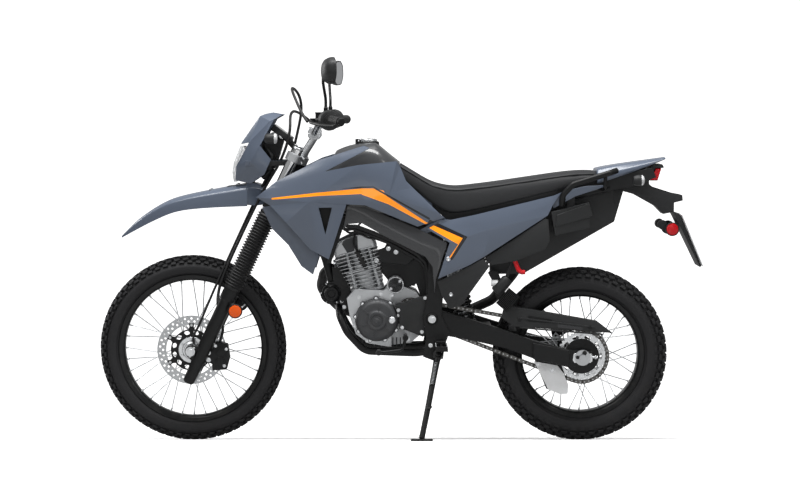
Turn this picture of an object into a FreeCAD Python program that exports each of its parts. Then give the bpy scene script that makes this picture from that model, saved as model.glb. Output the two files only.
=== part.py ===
import FreeCAD, Part

import math
import os

from FreeCAD import Placement, Rotation, Vector

# A dual sport motorcycle, leaning on its side stand.
# Every piece is drawn upright, with +X to the rear, +Y to the machine's right and +Z up, in millimetres,
# and the ground under the upright wheels at height 0. Each piece's Placement then leans the machine to
# its left until the stand's foot is on the floor.

OUT = "parts"
doc = FreeCAD.newDocument("motorcycle")
sheet = doc.addObject("Spreadsheet::Sheet", "sizes")

# Driving dimensions: name, value and what it measures
SIZES = (
    ("lean_angle", 9.0, "lean to the left on the side stand, degrees"),
    ("origin_x", -2.0, "middle of the overall length"),
    ("origin_y", -184.2, "middle of the overall width once it leans"),
    ("front_axle_x", -770.0, "front axle ahead of the middle"),
    ("rear_axle_x", 670.0, "rear axle behind the middle"),
    ("front_tyre_radius", 346.0, "21 inch front tyre, to the tread blocks' tips"),
    ("front_tyre_crown", 45.0, "radius of the front tyre's crown"),
    ("front_bead_radius", 266.7, "21 inch rim's bead seat"),
    ("front_rim_half_width", 27.0, "half the front rim's width"),
    ("rear_tyre_radius", 324.0, "18 inch rear tyre, to the tread blocks' tips"),
    ("rear_tyre_crown", 60.0, "radius of the rear tyre's crown"),
    ("rear_bead_radius", 228.6, "18 inch rim's bead seat"),
    ("rear_rim_half_width", 38.0, "half the rear rim's width"),
    ("tyre_wall", 9.0, "thickness of a tyre's wall"),
    ("rim_depth", 13.5, "from the bead seat to the rim's inner face"),
    ("rim_lip", 8.0, "height of the rim's lip over the bead seat"),
    ("rim_wall", 3.5, "thickness of the rim's lip"),
    ("spoke_count", 36.0, "spokes in each wheel"),
    ("spoke_radius", 2.2, "radius of a spoke"),
    ("front_axle_radius", 8.5, "radius of the front axle"),
    ("rear_axle_radius", 8.5, "radius of the rear axle"),
    ("running_gap", 0.05, "radial clearance of a hub on its axle"),
    ("front_disc_radius", 128.0, "front brake disc"),
    ("rear_disc_radius", 110.0, "rear brake disc"),
    ("disc_thickness", 4.0, "brake disc's thickness"),
    ("front_disc_y", 66.0, "front disc's distance from the middle plane"),
    ("rear_disc_y", 76.0, "rear disc's distance from the middle plane"),
    ("rake_angle", 25.4, "steering axis back from upright, degrees"),
    ("axle_lead", 40.0, "front axle ahead of the fork legs' axis"),
    ("clamp_offset", 28.0, "fork legs' axis ahead of the steering axis"),
    ("fork_half_span", 98.0, "fork leg's distance from the middle plane"),
    ("slider_radius", 25.0, "radius of a fork's lower leg"),
    ("slider_low", -112.0, "lower leg's foot, along the fork from the axle"),
    ("slider_high", 272.0, "lower leg's top, along the fork from the axle"),
    ("gaiter_high", 588.0, "bellows' top, along the fork from the axle"),
    ("gaiter_radius", 35.5, "outer radius of a bellows' fold"),
    ("gaiter_folds", 12.0, "folds in each bellows"),
    ("stanchion_radius", 20.5, "radius of a fork's upper tube"),
    ("stanchion_high", 842.0, "upper tube's top, along the fork from the axle"),
    ("lower_clamp_at", 612.0, "lower clamp's middle, along the steering axis"),
    ("upper_clamp_at", 806.0, "upper clamp's middle, along the steering axis"),
    ("clamp_thickness", 34.0, "thickness of a fork clamp"),
    ("stem_radius", 13.0, "radius of the steering stem"),
    ("head_tube_radius", 27.0, "outer radius of the frame's head tube"),
    ("bar_radius", 11.0, "handlebar's radius on its straight parts"),
    ("bar_half_width", 400.0, "from the middle to the end of a grip"),
    ("grip_radius", 16.5, "radius of a grip"),
    ("grip_length", 118.0, "length of a grip"),
    ("tube_radius", 14.0, "radius of the cradle's tubes"),
    ("backbone_radius", 22.0, "radius of the frame's backbone"),
    ("rail_radius", 11.0, "radius of the seat rails"),
    ("cradle_half_span", 88.0, "cradle tube's distance from the middle plane"),
    ("plate_half_span", 126.0, "pivot plate's inner face from the middle plane"),
    ("plate_thickness", 7.0, "thickness of a pivot plate"),
    ("pivot_x", 117.0, "swingarm pivot behind the middle"),
    ("pivot_z", 469.0, "swingarm pivot's height"),
    ("arm_inner_y", 90.0, "swingarm leg's inner face"),
    ("arm_width", 30.0, "swingarm leg's width"),
    ("crank_x", -85.0, "crankshaft's place"),
    ("crank_z", 462.0, "crankshaft's height"),
    ("barrel_tilt", 15.7, "cylinder's lean to the front, degrees"),
    ("case_half_width", 92.0, "half the crankcase's width"),
    ("gearbox_half_width", 56.0, "gearbox's left face, inside the chain"),
    ("generator_radius", 79.0, "radius of the generator's cover"),
    ("clutch_radius", 92.0, "radius of the clutch's cover"),
    ("cover_depth", 44.0, "how far a cover stands out of the crankcase"),
    ("fin_count", 11.0, "cooling fins on the barrel and head"),
    ("fin_thickness", 3.0, "thickness of a cooling fin"),
    ("chain_y", 75.0, "chain's distance from the middle plane"),
    ("chain_pitch", 15.875, "pitch of the drive chain"),
    ("chain_links", 108.0, "links in the drive chain"),
    ("front_sprocket_x", 37.0, "front sprocket's place"),
    ("front_sprocket_z", 502.0, "front sprocket's height"),
    ("front_teeth", 13.0, "teeth on the front sprocket"),
    ("rear_teeth", 38.0, "teeth on the rear sprocket"),
    ("sprocket_thickness", 6.0, "thickness of a sprocket"),
    ("panel_wall", 3.0, "thickness of the plastic panels"),
    ("exhaust_radius", 19.0, "radius of the exhaust pipe"),
    ("muffler_radius", 52.0, "radius of the muffler"),
    ("stand_pivot_x", 138.0, "side stand's pivot"),
    ("stand_pivot_y", -153.0, "side stand's pivot, to the left"),
    ("stand_pivot_z", 338.0, "side stand's pivot, height"),
    ("stand_foot_x", 78.0, "side stand's foot"),
    ("stand_foot_y", -300.0, "side stand's foot, to the left"),
    ("stand_radius", 11.0, "radius of the side stand's leg"),
    ("peg_y", 262.0, "outer end of a footpeg from the middle plane"),
    ("hose_radius", 4.0, "radius of a brake hose or control cable"),
)

for row, (alias, value, note) in enumerate(SIZES, start=1):
    sheet.set(f"A{row}", alias)
    sheet.set(f"B{row}", str(value))
    sheet.set(f"C{row}", note)
    sheet.setAlias(f"B{row}", alias)
doc.recompute()


def size(alias):
    return float(sheet.get(alias))


LEAN = math.radians(size("lean_angle"))
RAKE = math.radians(size("rake_angle"))
# Axle heights at which both round tyres touch the floor once the machine leans
FRONT_AXLE = Vector(
    size("front_axle_x"), 0,
    size("front_tyre_radius") - size("front_tyre_crown") + size("front_tyre_crown") / math.cos(LEAN))
REAR_AXLE = Vector(
    size("rear_axle_x"), 0,
    size("rear_tyre_radius") - size("rear_tyre_crown") + size("rear_tyre_crown") / math.cos(LEAN))
FORK_UP = Vector(math.sin(RAKE), 0, math.cos(RAKE))
FORK_BACK = Vector(math.cos(RAKE), 0, -math.sin(RAKE))
FORK_FOOT = FRONT_AXLE + FORK_BACK * size("axle_lead")
STEER_FOOT = FORK_FOOT + FORK_BACK * size("clamp_offset")
ACROSS = Vector(0, 1, 0)
STANDING = Placement(
    Vector(-size("origin_x"), -size("origin_y"), 0), Rotation(Vector(1, 0, 0), size("lean_angle")))

parts = []


def place(piece, own=Placement()):
    """Leans a finished piece with the machine, after its own place in the upright machine."""
    piece.Placement = STANDING.multiply(own)
    parts.append(piece)
    return piece


def feature(label, shape):
    """Adds a piece whose form is neither a sketched feature nor a primitive."""
    piece = doc.addObject("Part::Feature", label)
    piece.Label = label
    piece.Shape = shape
    return place(piece, shape.Placement)


def seated(shape, onto, way, gap=0.3):
    """Moves a shape along way until it lies gap from what carries it, and never through it."""
    way = Vector(way).normalize()
    for _ in range(30):
        room = shape.distToShape(onto)[0] - gap
        if abs(room) < 0.01:
            break
        shape.translate(way * room)
    return shape


def both_sides(shape):
    """A shape and its mirror image on the other side of the machine."""
    return Part.makeCompound([shape, mirrored(shape)])


def mirrored(shape):
    return shape.mirror(Vector(0, 0, 0), ACROSS)


def rod(start, end, radius):
    """A round bar between two points."""
    return Part.makeCylinder(radius, (end - start).Length, start, end - start)


def prism(outline, low_y, high_y):
    """A flat outline of (x, z) points, as thick as from low_y to high_y."""
    corners = [Vector(x, low_y, z) for x, z in outline]
    face = Part.Face(Part.makePolygon(corners + corners[:1]))
    return face.extrude(Vector(0, high_y - low_y, 0))


def bent_path(points, bend):
    """Straight runs joined by tangent arcs of radius bend, or as large as the runs allow."""
    edges = []
    start = points[0]
    for before, corner, after in zip(points, points[1:], points[2:]):
        back = (before - corner).normalize()
        ahead = (after - corner).normalize()
        turn = math.pi - back.getAngle(ahead)
        if turn < 0.01:
            continue
        reach = bend * math.tan(turn / 2)
        room = 0.48 * min((before - corner).Length, (after - corner).Length)
        reach = min(reach, room)
        radius = reach / math.tan(turn / 2)
        middle = (back + ahead).normalize()
        centre = corner + middle * (radius / math.cos(turn / 2))
        first = corner + back * reach
        last = corner + ahead * reach
        if (first - start).Length > 0.01:
            edges.append(Part.LineSegment(start, first).toShape())
        edges.append(Part.Arc(first, centre - middle * radius, last).toShape())
        start = last
    edges.append(Part.LineSegment(start, points[-1]).toShape())
    return Part.Wire(edges)


def tube(points, radius, bend):
    """A bar bent along points, as a ring of flats mitred at each step of its arcs."""
    spine = []
    for edge in bent_path([Vector(*p) for p in points], bend).Edges:
        steps = 1
        if edge.Curve.TypeId == "Part::GeomCircle":
            steps = max(2, round(edge.Length / edge.Curve.Radius / math.radians(30)))
        found = edge.discretize(steps + 1)
        if edge.Orientation == "Reversed":
            found = found[::-1]
        spine += found if not spine else found[1:]
    return bar_along(spine, radius, flats(radius))


def bar_along(spine, radius, sides):
    """Flats along a chain of points, each mitred where two runs meet."""
    ahead = (spine[1] - spine[0]).normalize()
    level = Vector(0, 1, 0) if abs(ahead.y) < 0.9 else Vector(1, 0, 0)
    level = (level - ahead * level.dot(ahead)).normalize()
    up = ahead.cross(level)
    turn = math.pi / sides
    ring = [spine[0] + (level * math.cos(turn * (2 * k + 1)) + up * math.sin(turn * (2 * k + 1))) * radius
            for k in range(sides)]
    faces = [ring[::-1]]
    for k in range(1, len(spine)):
        ahead = (spine[k] - spine[k - 1]).normalize()
        after = (spine[k + 1] - spine[k]).normalize() if k + 1 < len(spine) else ahead
        flat = (ahead + after).normalize()
        moved = [p + ahead * ((spine[k] - p).dot(flat) / ahead.dot(flat)) for p in ring]
        faces += [[ring[i - 1], ring[i], moved[i], moved[i - 1]] for i in range(sides)]
        ring = moved
    faces.append(ring)
    return closed(faces)


def closed(faces):
    """A solid from its flat faces' corners."""
    made = [Part.Face(Part.makePolygon([*corners, corners[0]])) for corners in faces]
    solid = Part.Solid(Part.Shell(made))
    if solid.Volume < 0:
        solid.reverse()
    return solid


def bar(start, end, radius, sides=None):
    """A straight bar of flats, for what need not be truly round."""
    return bar_along([start, end], radius, sides or flats(radius))


def room(start, end, radius, gap=0.3):
    """What a bar of flats of that radius fills, larger by gap all round, to seat it in another piece."""
    return bar_along([start, end], radius + gap / math.cos(math.pi / flats(radius)), flats(radius))


def flats(radius):
    """How many flats stand for a round of that radius."""
    return 6 if radius < 10 else 8 if radius < 20 else 12


def turned(outline, sides, closed_up=True):
    """Flats turned about the Y axis from (across, radius) points; a radius of 0 is the axis itself."""
    rings = []
    for y, r in outline:
        count = sides if r else 1
        rings.append([Vector(r * math.sin(2 * math.pi * k / sides), y, r * math.cos(2 * math.pi * k / sides))
                      for k in range(count)])
    if closed_up:
        rings.append(rings[0])
    faces = []
    for one, two in zip(rings, rings[1:]):
        for k in range(sides):
            corners = [one[0]] if len(one) == 1 else [one[k - 1], one[k]]
            corners += [two[0]] if len(two) == 1 else [two[k], two[k - 1]]
            if len(corners) > 2:
                faces.append(corners)
    return closed(faces)


def shell_panel(points, faces, thickness):
    """A panel of flat facets: its outer skin is points and faces, and its inner skin lies thickness under it."""
    outer = [Vector(*p) for p in points]
    normals = [Vector() for _ in outer]
    triangles = []
    for face in faces:
        triangles += [(face[0], face[k], face[k + 1]) for k in range(1, len(face) - 1)]
    for a, b, c in triangles:
        across = (outer[b] - outer[a]).cross(outer[c] - outer[a])
        for k in (a, b, c):
            normals[k] = normals[k] + across
    inner = [p - n.normalize() * thickness for p, n in zip(outer, normals)]
    skins = []
    used = {}
    for a, b, c in triangles:
        skins.append((outer[a], outer[b], outer[c]))
        skins.append((inner[c], inner[b], inner[a]))
        for edge in ((a, b), (b, c), (c, a)):
            if edge[::-1] in used:
                del used[edge[::-1]]
            else:
                used[edge] = True
    for a, b in used:
        skins.append((outer[b], outer[a], inner[a]))
        skins.append((outer[b], inner[a], inner[b]))
    return closed(skins)


def section(x, points):
    """Corners across the machine at x, from (y, z) points."""
    return [Vector(x, y, z) for y, z in points]


def skinned(sections):
    """A solid of flat triangles over successive outlines with the same number of corners."""
    faces = [sections[0], sections[-1][::-1]]
    for one, two in zip(sections, sections[1:]):
        for k in range(len(one)):
            faces.append([one[k - 1], two[k - 1], two[k]])
            faces.append([one[k - 1], two[k], one[k]])
    return closed(faces)


def fused(shapes):
    whole = shapes[0].multiFuse(shapes[1:])
    return whole.removeSplitter()


def new_body(label):
    body = doc.addObject("PartDesign::Body", label)
    body.Label = label
    return body


def new_sketch(body, role, name):
    """A sketch on one of the body's own origin planes."""
    sketch = body.newObject("Sketcher::SketchObject", name)
    plane = next(o for o in body.Origin.OriginFeatures if o.Role == role)
    sketch.AttachmentSupport = (plane, [""])
    sketch.MapMode = "FlatFace"
    return sketch


def draw(sketch, steps):
    """Draws a closed outline: (x, y) is a corner, and (x, y, mx, my) ends an arc that passes through (mx, my)."""
    start = steps[-1][:2]
    for step in steps:
        a = Vector(start[0], start[1], 0)
        b = Vector(step[0], step[1], 0)
        if len(step) == 4:
            sketch.addGeometry(Part.Arc(a, Vector(step[2], step[3], 0), b))
        else:
            sketch.addGeometry(Part.LineSegment(a, b))
        start = step[:2]


def ring_corners(radius, count):
    """Corners of a regular outline round the sketch's origin."""
    step = 2 * math.pi / count
    return [(radius * math.sin(step * k), radius * math.cos(step * k)) for k in range(count)]


def wheel_piece(label, outline, sides, place_at):
    """A turned piece of a wheel or of the engine, at its own place."""
    shape = turned(outline, sides, outline[0][1] > 0)
    shape.translate(place_at)
    return feature(label, shape)


# Wheels


# Flats round a tyre and its rim, and round a hub
ROUND = 48
HUB_ROUND = 12


def tyre_section(radius, crown, bead, half_width):
    """A tyre's wall: feet inside the rim's lips, bulging sides and a crown of three flats, whose corner is what
    stands on the floor once the machine leans."""
    lip = bead + size("rim_lip") + 0.3
    seat = half_width - size("rim_wall") - 0.3
    wall = size("tyre_wall")
    middle = radius - crown
    flat = crown * 0.36
    top = middle + (crown - flat * math.sin(LEAN)) / math.cos(LEAN)
    edge = crown * math.sin(math.radians(52))
    tread = middle + crown * math.cos(math.radians(52))
    half = [
        (flat, top), (edge, tread), (crown, middle - 2), (seat, lip), (seat - 4.2, bead + 0.3),
        (seat - 10, bead + 0.3), (crown - wall, middle - 6), (crown * 0.45, radius - wall - 2),
    ]
    outer, inner = half[:5], half[5:]
    return outer + inner + [(-y, r) for y, r in reversed(inner)] + [(-y, r) for y, r in reversed(outer)]


def rim_section(bead, half_width):
    """A spoked rim: a channel with two lips, whose well the spokes reach."""
    wall = size("rim_wall")
    lip = bead + size("rim_lip")
    inner = bead - size("rim_depth")
    well = inner + wall + 1
    half = [(half_width, lip), (half_width - 9, inner)]
    back = [(half_width - wall - 9, well), (half_width - wall, lip)]
    return half + [(-y, r) for y, r in reversed(half)] + [(-y, r) for y, r in reversed(back)] + back


def hub_with_spokes(label, axle, outline, flange, flange_y, bead):
    """A turned hub from its (across, radius) outline, and the crossed spokes from its flanges to the rim."""
    hub = turned(outline, HUB_ROUND)
    count = int(size("spoke_count"))
    reach = (bead - size("rim_depth")) * math.cos(math.pi / ROUND) - 0.6
    start_r = flange - 4
    spokes = []
    for k in range(count):
        side = -1 if k % 2 else 1
        lean = -1 if (k // 2) % 2 else 1
        rim_angle = 2 * math.pi * k / count
        hub_angle = rim_angle + lean * math.radians(62)
        start = Vector(start_r * math.sin(hub_angle), side * flange_y, start_r * math.cos(hub_angle))
        end = Vector(reach * math.sin(rim_angle), side * 4, reach * math.cos(rim_angle))
        spokes.append(bar(start, end, size("spoke_radius"), 3))
    shape = fused([hub, *spokes])
    shape.translate(axle)
    return feature(label, shape)


def brake_disc(label, radius_alias, bore, arms, place_at):
    """A brake disc and its carrier, with windows patterned between the carrier's arms."""
    body = new_body(label)
    sketch = new_sketch(body, "XZ_Plane", label + "_ring")
    draw(sketch, ring_corners(size(radius_alias), 36))
    draw(sketch, ring_corners(bore, 12))
    pad = body.newObject("PartDesign::Pad", label + "_pad")
    pad.Profile = sketch
    pad.setExpression("Length", "sizes.disc_thickness")
    pad.Midplane = True
    outer = size(radius_alias) - 34
    inner = bore + 16
    wide = math.radians(180 / arms - 12)
    slim = math.radians(180 / arms - 26)
    window = new_sketch(body, "XZ_Plane", label + "_window")
    draw(window, [
        (-inner * math.sin(slim), inner * math.cos(slim)),
        (-outer * math.sin(wide), outer * math.cos(wide)),
        (0, outer),
        (outer * math.sin(wide), outer * math.cos(wide)),
        (inner * math.sin(slim), inner * math.cos(slim)),
    ])
    cut = body.newObject("PartDesign::Pocket", label + "_window_first")
    cut.Profile = window
    cut.Type = 1
    cut.Midplane = True
    doc.recompute()
    ring = body.newObject("PartDesign::PolarPattern", label + "_windows")
    ring.Originals = [cut]
    ring.Axis = (sketch, ["N_Axis"])
    ring.Angle = 360
    ring.Occurrences = arms
    body.Tip = ring
    doc.recompute()
    return place(body, Placement(place_at, Rotation()))


def sprocket_outline(teeth, tip, root):
    """A sprocket's edge, as pointed teeth."""
    corners = []
    step = 2 * math.pi / teeth
    for k in range(teeth):
        for share, radius in ((0.0, root), (0.5, tip)):
            angle = step * (k + share)
            corners.append((radius * math.sin(angle), radius * math.cos(angle)))
    return corners


def pitch_radius(teeth):
    return size("chain_pitch") / (2 * math.sin(math.pi / teeth))


def wheels():
    wheel_piece("front_tyre", tyre_section(size("front_tyre_radius"), size("front_tyre_crown"), size("front_bead_radius"),
                                           size("front_rim_half_width")), ROUND, FRONT_AXLE)
    wheel_piece("rear_tyre", tyre_section(size("rear_tyre_radius"), size("rear_tyre_crown"), size("rear_bead_radius"),
                                          size("rear_rim_half_width")), ROUND, REAR_AXLE)
    wheel_piece("front_rim", rim_section(size("front_bead_radius"), size("front_rim_half_width")), ROUND, FRONT_AXLE)
    wheel_piece("rear_rim", rim_section(size("rear_bead_radius"), size("rear_rim_half_width")), ROUND, REAR_AXLE)
    bore = (size("front_axle_radius") + size("running_gap")) / math.cos(math.pi / HUB_ROUND)
    disc = -size("front_disc_y") + size("disc_thickness") / 2 + 0.3
    hub_with_spokes("front_hub", FRONT_AXLE, (
        (-72, bore), (-72, 20), (disc, 20), (disc, 42), (-58, 42), (-56, 22), (-36, 22), (-34, 38), (-27, 38),
        (-24, 22), (24, 22), (27, 38), (34, 38), (36, 22), (58, 20), (58, bore),
    ), 38, 30.5, size("front_bead_radius"))
    bore = (size("rear_axle_radius") + size("running_gap")) / math.cos(math.pi / HUB_ROUND)
    disc = size("rear_disc_y") - size("disc_thickness") / 2 - 0.3
    toothed = -size("chain_y") + size("sprocket_thickness") / 2 + 0.3
    hub_with_spokes("rear_hub", REAR_AXLE, (
        (-84, bore), (-84, 24), (toothed, 24), (toothed, 60), (-66, 60), (-62, 36), (-44, 36), (-42, 58), (-34, 58),
        (-31, 36), (31, 36), (34, 58), (42, 58), (44, 36), (66, 36), (68, 42), (disc, 42), (disc, 24), (84, 24),
        (84, bore),
    ), 58, 38, size("rear_bead_radius"))
    brake_disc("front_disc", "front_disc_radius", 20.6, 6, FRONT_AXLE - ACROSS * size("front_disc_y"))
    brake_disc("rear_disc", "rear_disc_radius", 24.6, 6, REAR_AXLE + ACROSS * size("rear_disc_y"))
    sprocket()


def sprocket():
    """The rear sprocket. Its teeth stop 1 mm under the chain's rollers, so that the wheel turns freely."""
    teeth = int(size("rear_teeth"))
    tip = pitch_radius(teeth) - 5.2
    body = new_body("rear_sprocket")
    sketch = new_sketch(body, "XZ_Plane", "rear_sprocket_teeth")
    draw(sketch, sprocket_outline(teeth, tip, tip - 6))
    draw(sketch, ring_corners(24.8, 16))
    pad = body.newObject("PartDesign::Pad", "rear_sprocket_pad")
    pad.Profile = sketch
    pad.setExpression("Length", "sizes.sprocket_thickness")
    pad.Midplane = True
    window = new_sketch(body, "XZ_Plane", "rear_sprocket_window")
    draw(window, [(-18, 66), (-21, 79), (0, 82), (21, 79), (18, 66)])
    cut = body.newObject("PartDesign::Pocket", "rear_sprocket_window_first")
    cut.Profile = window
    cut.Type = 1
    cut.Midplane = True
    doc.recompute()
    ring = body.newObject("PartDesign::PolarPattern", "rear_sprocket_windows")
    ring.Originals = [cut]
    ring.Axis = (sketch, ["N_Axis"])
    ring.Angle = 360
    ring.Occurrences = 8
    body.Tip = ring
    doc.recompute()
    place(body, Placement(REAR_AXLE - ACROSS * size("chain_y"), Rotation()))


# Fork and steering


def on_fork(along, across=0.0, back=0.0):
    return FORK_FOOT + FORK_UP * along + FORK_BACK * back + Vector(0, across, 0)


def on_steering(along, across=0.0, back=0.0):
    return STEER_FOOT + FORK_UP * along + FORK_BACK * back + Vector(0, across, 0)


def clamp_plate(along, others):
    """A fork clamp: a plate across both legs, round at the legs and swept back to the steering stem."""
    span = size("fork_half_span")
    thick = size("clamp_thickness")
    grip = size("stanchion_radius") + 9
    low = along - thick / 2
    rear = 22 + size("clamp_offset")
    corners = [on_fork(low, y, back) for y, back in (
        (-span, -grip * 0.7), (span, -grip * 0.7), (span, grip * 0.6), (34, rear), (-34, rear), (-span, grip * 0.6))]
    plate = Part.Face(Part.makePolygon(corners + corners[:1])).extrude(FORK_UP * thick)
    rings = [bar(on_fork(low, y), on_fork(low + thick, y), grip) for y in (-span, span)]
    return [plate, *rings, *others]


def bellows_ring(along, across, radius, sides=10):
    """Corners of a ring round a fork leg."""
    step = 2 * math.pi / sides
    return [on_fork(along, across + radius * math.cos(step * k), radius * math.sin(step * k)) for k in range(sides)]


def fork():
    """Lower legs with the axle, bellows, and the upper tubes in their two clamps with the bar's clamps."""
    span = size("fork_half_span")
    slider = size("slider_radius")
    tube_r = size("stanchion_radius")
    axle_r = size("front_axle_radius")
    legs = [rod(FRONT_AXLE - ACROSS * (span + 22), FRONT_AXLE + ACROSS * (span + 22), axle_r),
            bar(FRONT_AXLE - ACROSS * (span - 20), FRONT_AXLE - ACROSS * 72.4, 14),
            bar(FRONT_AXLE + ACROSS * 58.4, FRONT_AXLE + ACROSS * (span - 20), 14)]
    for side in (-span, span):
        outward = math.copysign(1, side)
        leg = bar(on_fork(size("slider_low"), side), on_fork(size("slider_high") - 0.3, side), slider)
        seat = bar(on_fork(size("slider_high") - 40, side), on_fork(size("slider_high") - 0.3, side), slider + 4)
        lug = bar(FRONT_AXLE + ACROSS * (side - 21), FRONT_AXLE + ACROSS * (side + 21), 21)
        nut = bar(FRONT_AXLE + ACROSS * (side + 20 * outward), FRONT_AXLE + ACROSS * (side + 30 * outward), 14)
        web = Part.makeBox(size("axle_lead"), 34, 36, Vector(-size("axle_lead"), -17, -18))
        web.Placement = Placement(on_fork(0, side), Rotation(ACROSS, size("rake_angle")))
        bore = room(on_fork(150, side), on_fork(size("slider_high") + 10, side), tube_r)
        legs.append(leg.multiFuse([seat, lug, nut, web]).cut(bore))
    feature("fork_sliders", fused(legs))

    folds = int(size("gaiter_folds"))
    low = size("slider_high")
    pitch = (size("gaiter_high") - low) / folds
    ring = size("gaiter_radius")
    gaiters = []
    for side in (-span, span):
        rings = [bellows_ring(low, side, tube_r + 1.4)]
        for k in range(folds):
            taper = 1 - 0.05 * k / folds
            rings.append(bellows_ring(low + pitch * k, side, (ring - 7) * taper))
            rings.append(bellows_ring(low + pitch * (k + 0.5), side, ring * taper))
        rings.append(bellows_ring(size("gaiter_high"), side, (ring - 7) * 0.95))
        rings.append(bellows_ring(size("gaiter_high"), side, tube_r + 1.4))
        rings.append(rings[0])
        faces = []
        for one, two in zip(rings, rings[1:]):
            faces += [[one[i - 1], one[i], two[i], two[i - 1]] for i in range(len(one))]
        gaiters.append(closed(faces))
    feature("fork_gaiters", Part.makeCompound(gaiters))

    lower = size("lower_clamp_at")
    upper = size("upper_clamp_at")
    stem = rod(on_steering(lower), on_steering(upper), size("stem_radius"))
    tubes = [bar(on_fork(160, side), on_fork(size("stanchion_high"), side), tube_r) for side in (-span, span)]
    hole = rod(BAR_MIDDLE - ACROSS * 80, BAR_MIDDLE + ACROSS * 80, size("bar_radius") + 0.3)
    risers = []
    for side in (-38, 38):
        foot = on_steering(upper, side, -4)
        top = BAR_MIDDLE + ACROSS * side
        risers += [bar(foot, top - Vector(0, 0, 12), 13), bar(top - ACROSS * 13, top + ACROSS * 13, 23)]
    pieces = clamp_plate(lower, [stem]) + clamp_plate(upper, [])
    feature("fork_clamps", fused([*tubes, *pieces, *risers]).cut(hole))


BAR_MIDDLE = Vector(-315, 0, 1146)


def handlebar():
    """A wide bar that rises and sweeps back to the grips, held in two clamps over the upper fork clamp."""
    turn = Vector(-284, 172, 1198)
    end = Vector(-208, size("bar_half_width"), 1192)
    half = [BAR_MIDDLE + ACROSS * 72, turn, end]
    points = [Vector(p.x, -p.y, p.z) for p in reversed(half)] + half
    middle = rod(BAR_MIDDLE - ACROSS * 24.5, BAR_MIDDLE + ACROSS * 24.5, size("bar_radius"))
    feature("handlebar", fused([tube(points, size("bar_radius"), 60), middle]))
    along = (end - turn).normalize()
    grip_start = end - along * size("grip_length")
    grip = bar(grip_start, end + along * 3, size("grip_radius"))
    flange = bar(grip_start - along * 1, grip_start + along * 6, size("grip_radius") + 8)
    cap = bar(end + along * 1, end + along * 14, size("grip_radius") - 3)
    bore = room(grip_start - along * 5, end + along * 0.3, size("bar_radius"))
    feature("grips", both_sides(grip.multiFuse([flange, cap]).cut(bore)))
    hand_controls(along, grip_start)


def hand_controls(along, grip_start):
    """Switch housings, lever perches and levers beside both grips."""
    inner = grip_start - along * 1.5
    housing = bar(inner - along * 46, inner, 24)
    front = bar(inner - along * 42 + Vector(-22, 0, -8), inner - along * 4 + Vector(-22, 0, -8), 14)
    perch = bar(inner - along * 76, inner - along * 44, 18)
    hinge = inner - along * 62 + Vector(-46, 4, -4)
    arm = bar(inner - along * 62, hinge, 9)
    knuckle = bar(hinge - Vector(0, 0, 10), hinge + Vector(0, 0, 10), 11)
    mirror_boss = bar(inner - along * 62, inner - along * 62 + Vector(0, 0, 34), 9)
    tip = hinge + along * 205 + Vector(20, 0, -10)
    lever = tube([hinge, hinge + Vector(-10, 34, -4), hinge + along * 120 + Vector(-8, 0, -10), tip], 5.5, 30)
    bore = room(inner - along * 90, inner + along * 4, size("bar_radius"))
    solid = housing.multiFuse([front, perch, arm, knuckle, mirror_boss]).cut(bore)
    feature("hand_controls", both_sides(fused([solid, lever, bar(tip - along * 6, tip + along * 6, 8)])))
    mirrors(inner - along * 62 + Vector(0, 0, 34.3))


def mirrors(base):
    """Two mirrors: a bent stem and a rounded six-sided head that faces back and a little inwards."""
    head = Vector(-254, 338, 1372)
    stem = tube([base, base + Vector(0, 0, 40), head + Vector(-18, -34, -44), head + Vector(-16, -6, -8)], 5.5, 30)
    outline = [(-62, -34), (-30, -50), (34, -46), (62, -14), (56, 30), (22, 48), (-40, 44), (-64, 8)]
    back = [Vector(-16, y * 0.55, z * 0.6) for y, z in outline]
    front = [Vector(12, y, z) for y, z in outline]
    rear = [Vector(20, y, z) for y, z in outline]
    shell = skinned([back, front, rear])
    shell.Placement = Placement(head, Rotation(Vector(0, 0, 1), -14))
    feature("mirrors", both_sides(shell.fuse(stem)))


def front_fender():
    """A high fender: an open trough whose roof is creased, narrow at its tip, on an arm from the lower clamp."""
    wall = size("panel_wall")
    stations = (
        # x, half width, top, crease, side
        (-1032, 12, 768, 764, 758),
        (-950, 36, 846, 834, 803),
        (-870, 54, 897, 882, 842),
        (-810, 63, 918, 902, 864),
        (-700, 70, 940, 922, 873),
        (-616, 76, 956, 936, 877),
        (-560, 80, 966, 944, 879),
    )
    wires = []
    for x, half, top, crease, side in stations:
        outer = [(-half, side), (-half * 0.94, crease), (-half * 0.5, top - 4), (half * 0.5, top - 4),
                 (half * 0.94, crease), (half, side)]
        inner = [(half - wall, side), (half * 0.94 - wall, crease - wall * 0.6), (half * 0.5 - 1, top - 4 - wall),
                 (-half * 0.5 + 1, top - 4 - wall), (-half * 0.94 + wall, crease - wall * 0.6), (-half + wall, side)]
        wires.append(section(x, outer + inner))
    front_face = -(size("stanchion_radius") + 9) * 0.7 - 0.3
    root = [on_fork(size("lower_clamp_at") + rise, 0, front_face) for rise in (10, -10)]
    arm = prism([(-640, 950), (-562, 961), (root[0].x, root[0].z), (root[1].x, root[1].z), (-566, 944), (-640, 938)],
                -36, 36)
    feature("front_fender", fused([skinned(wires), arm]))


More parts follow.
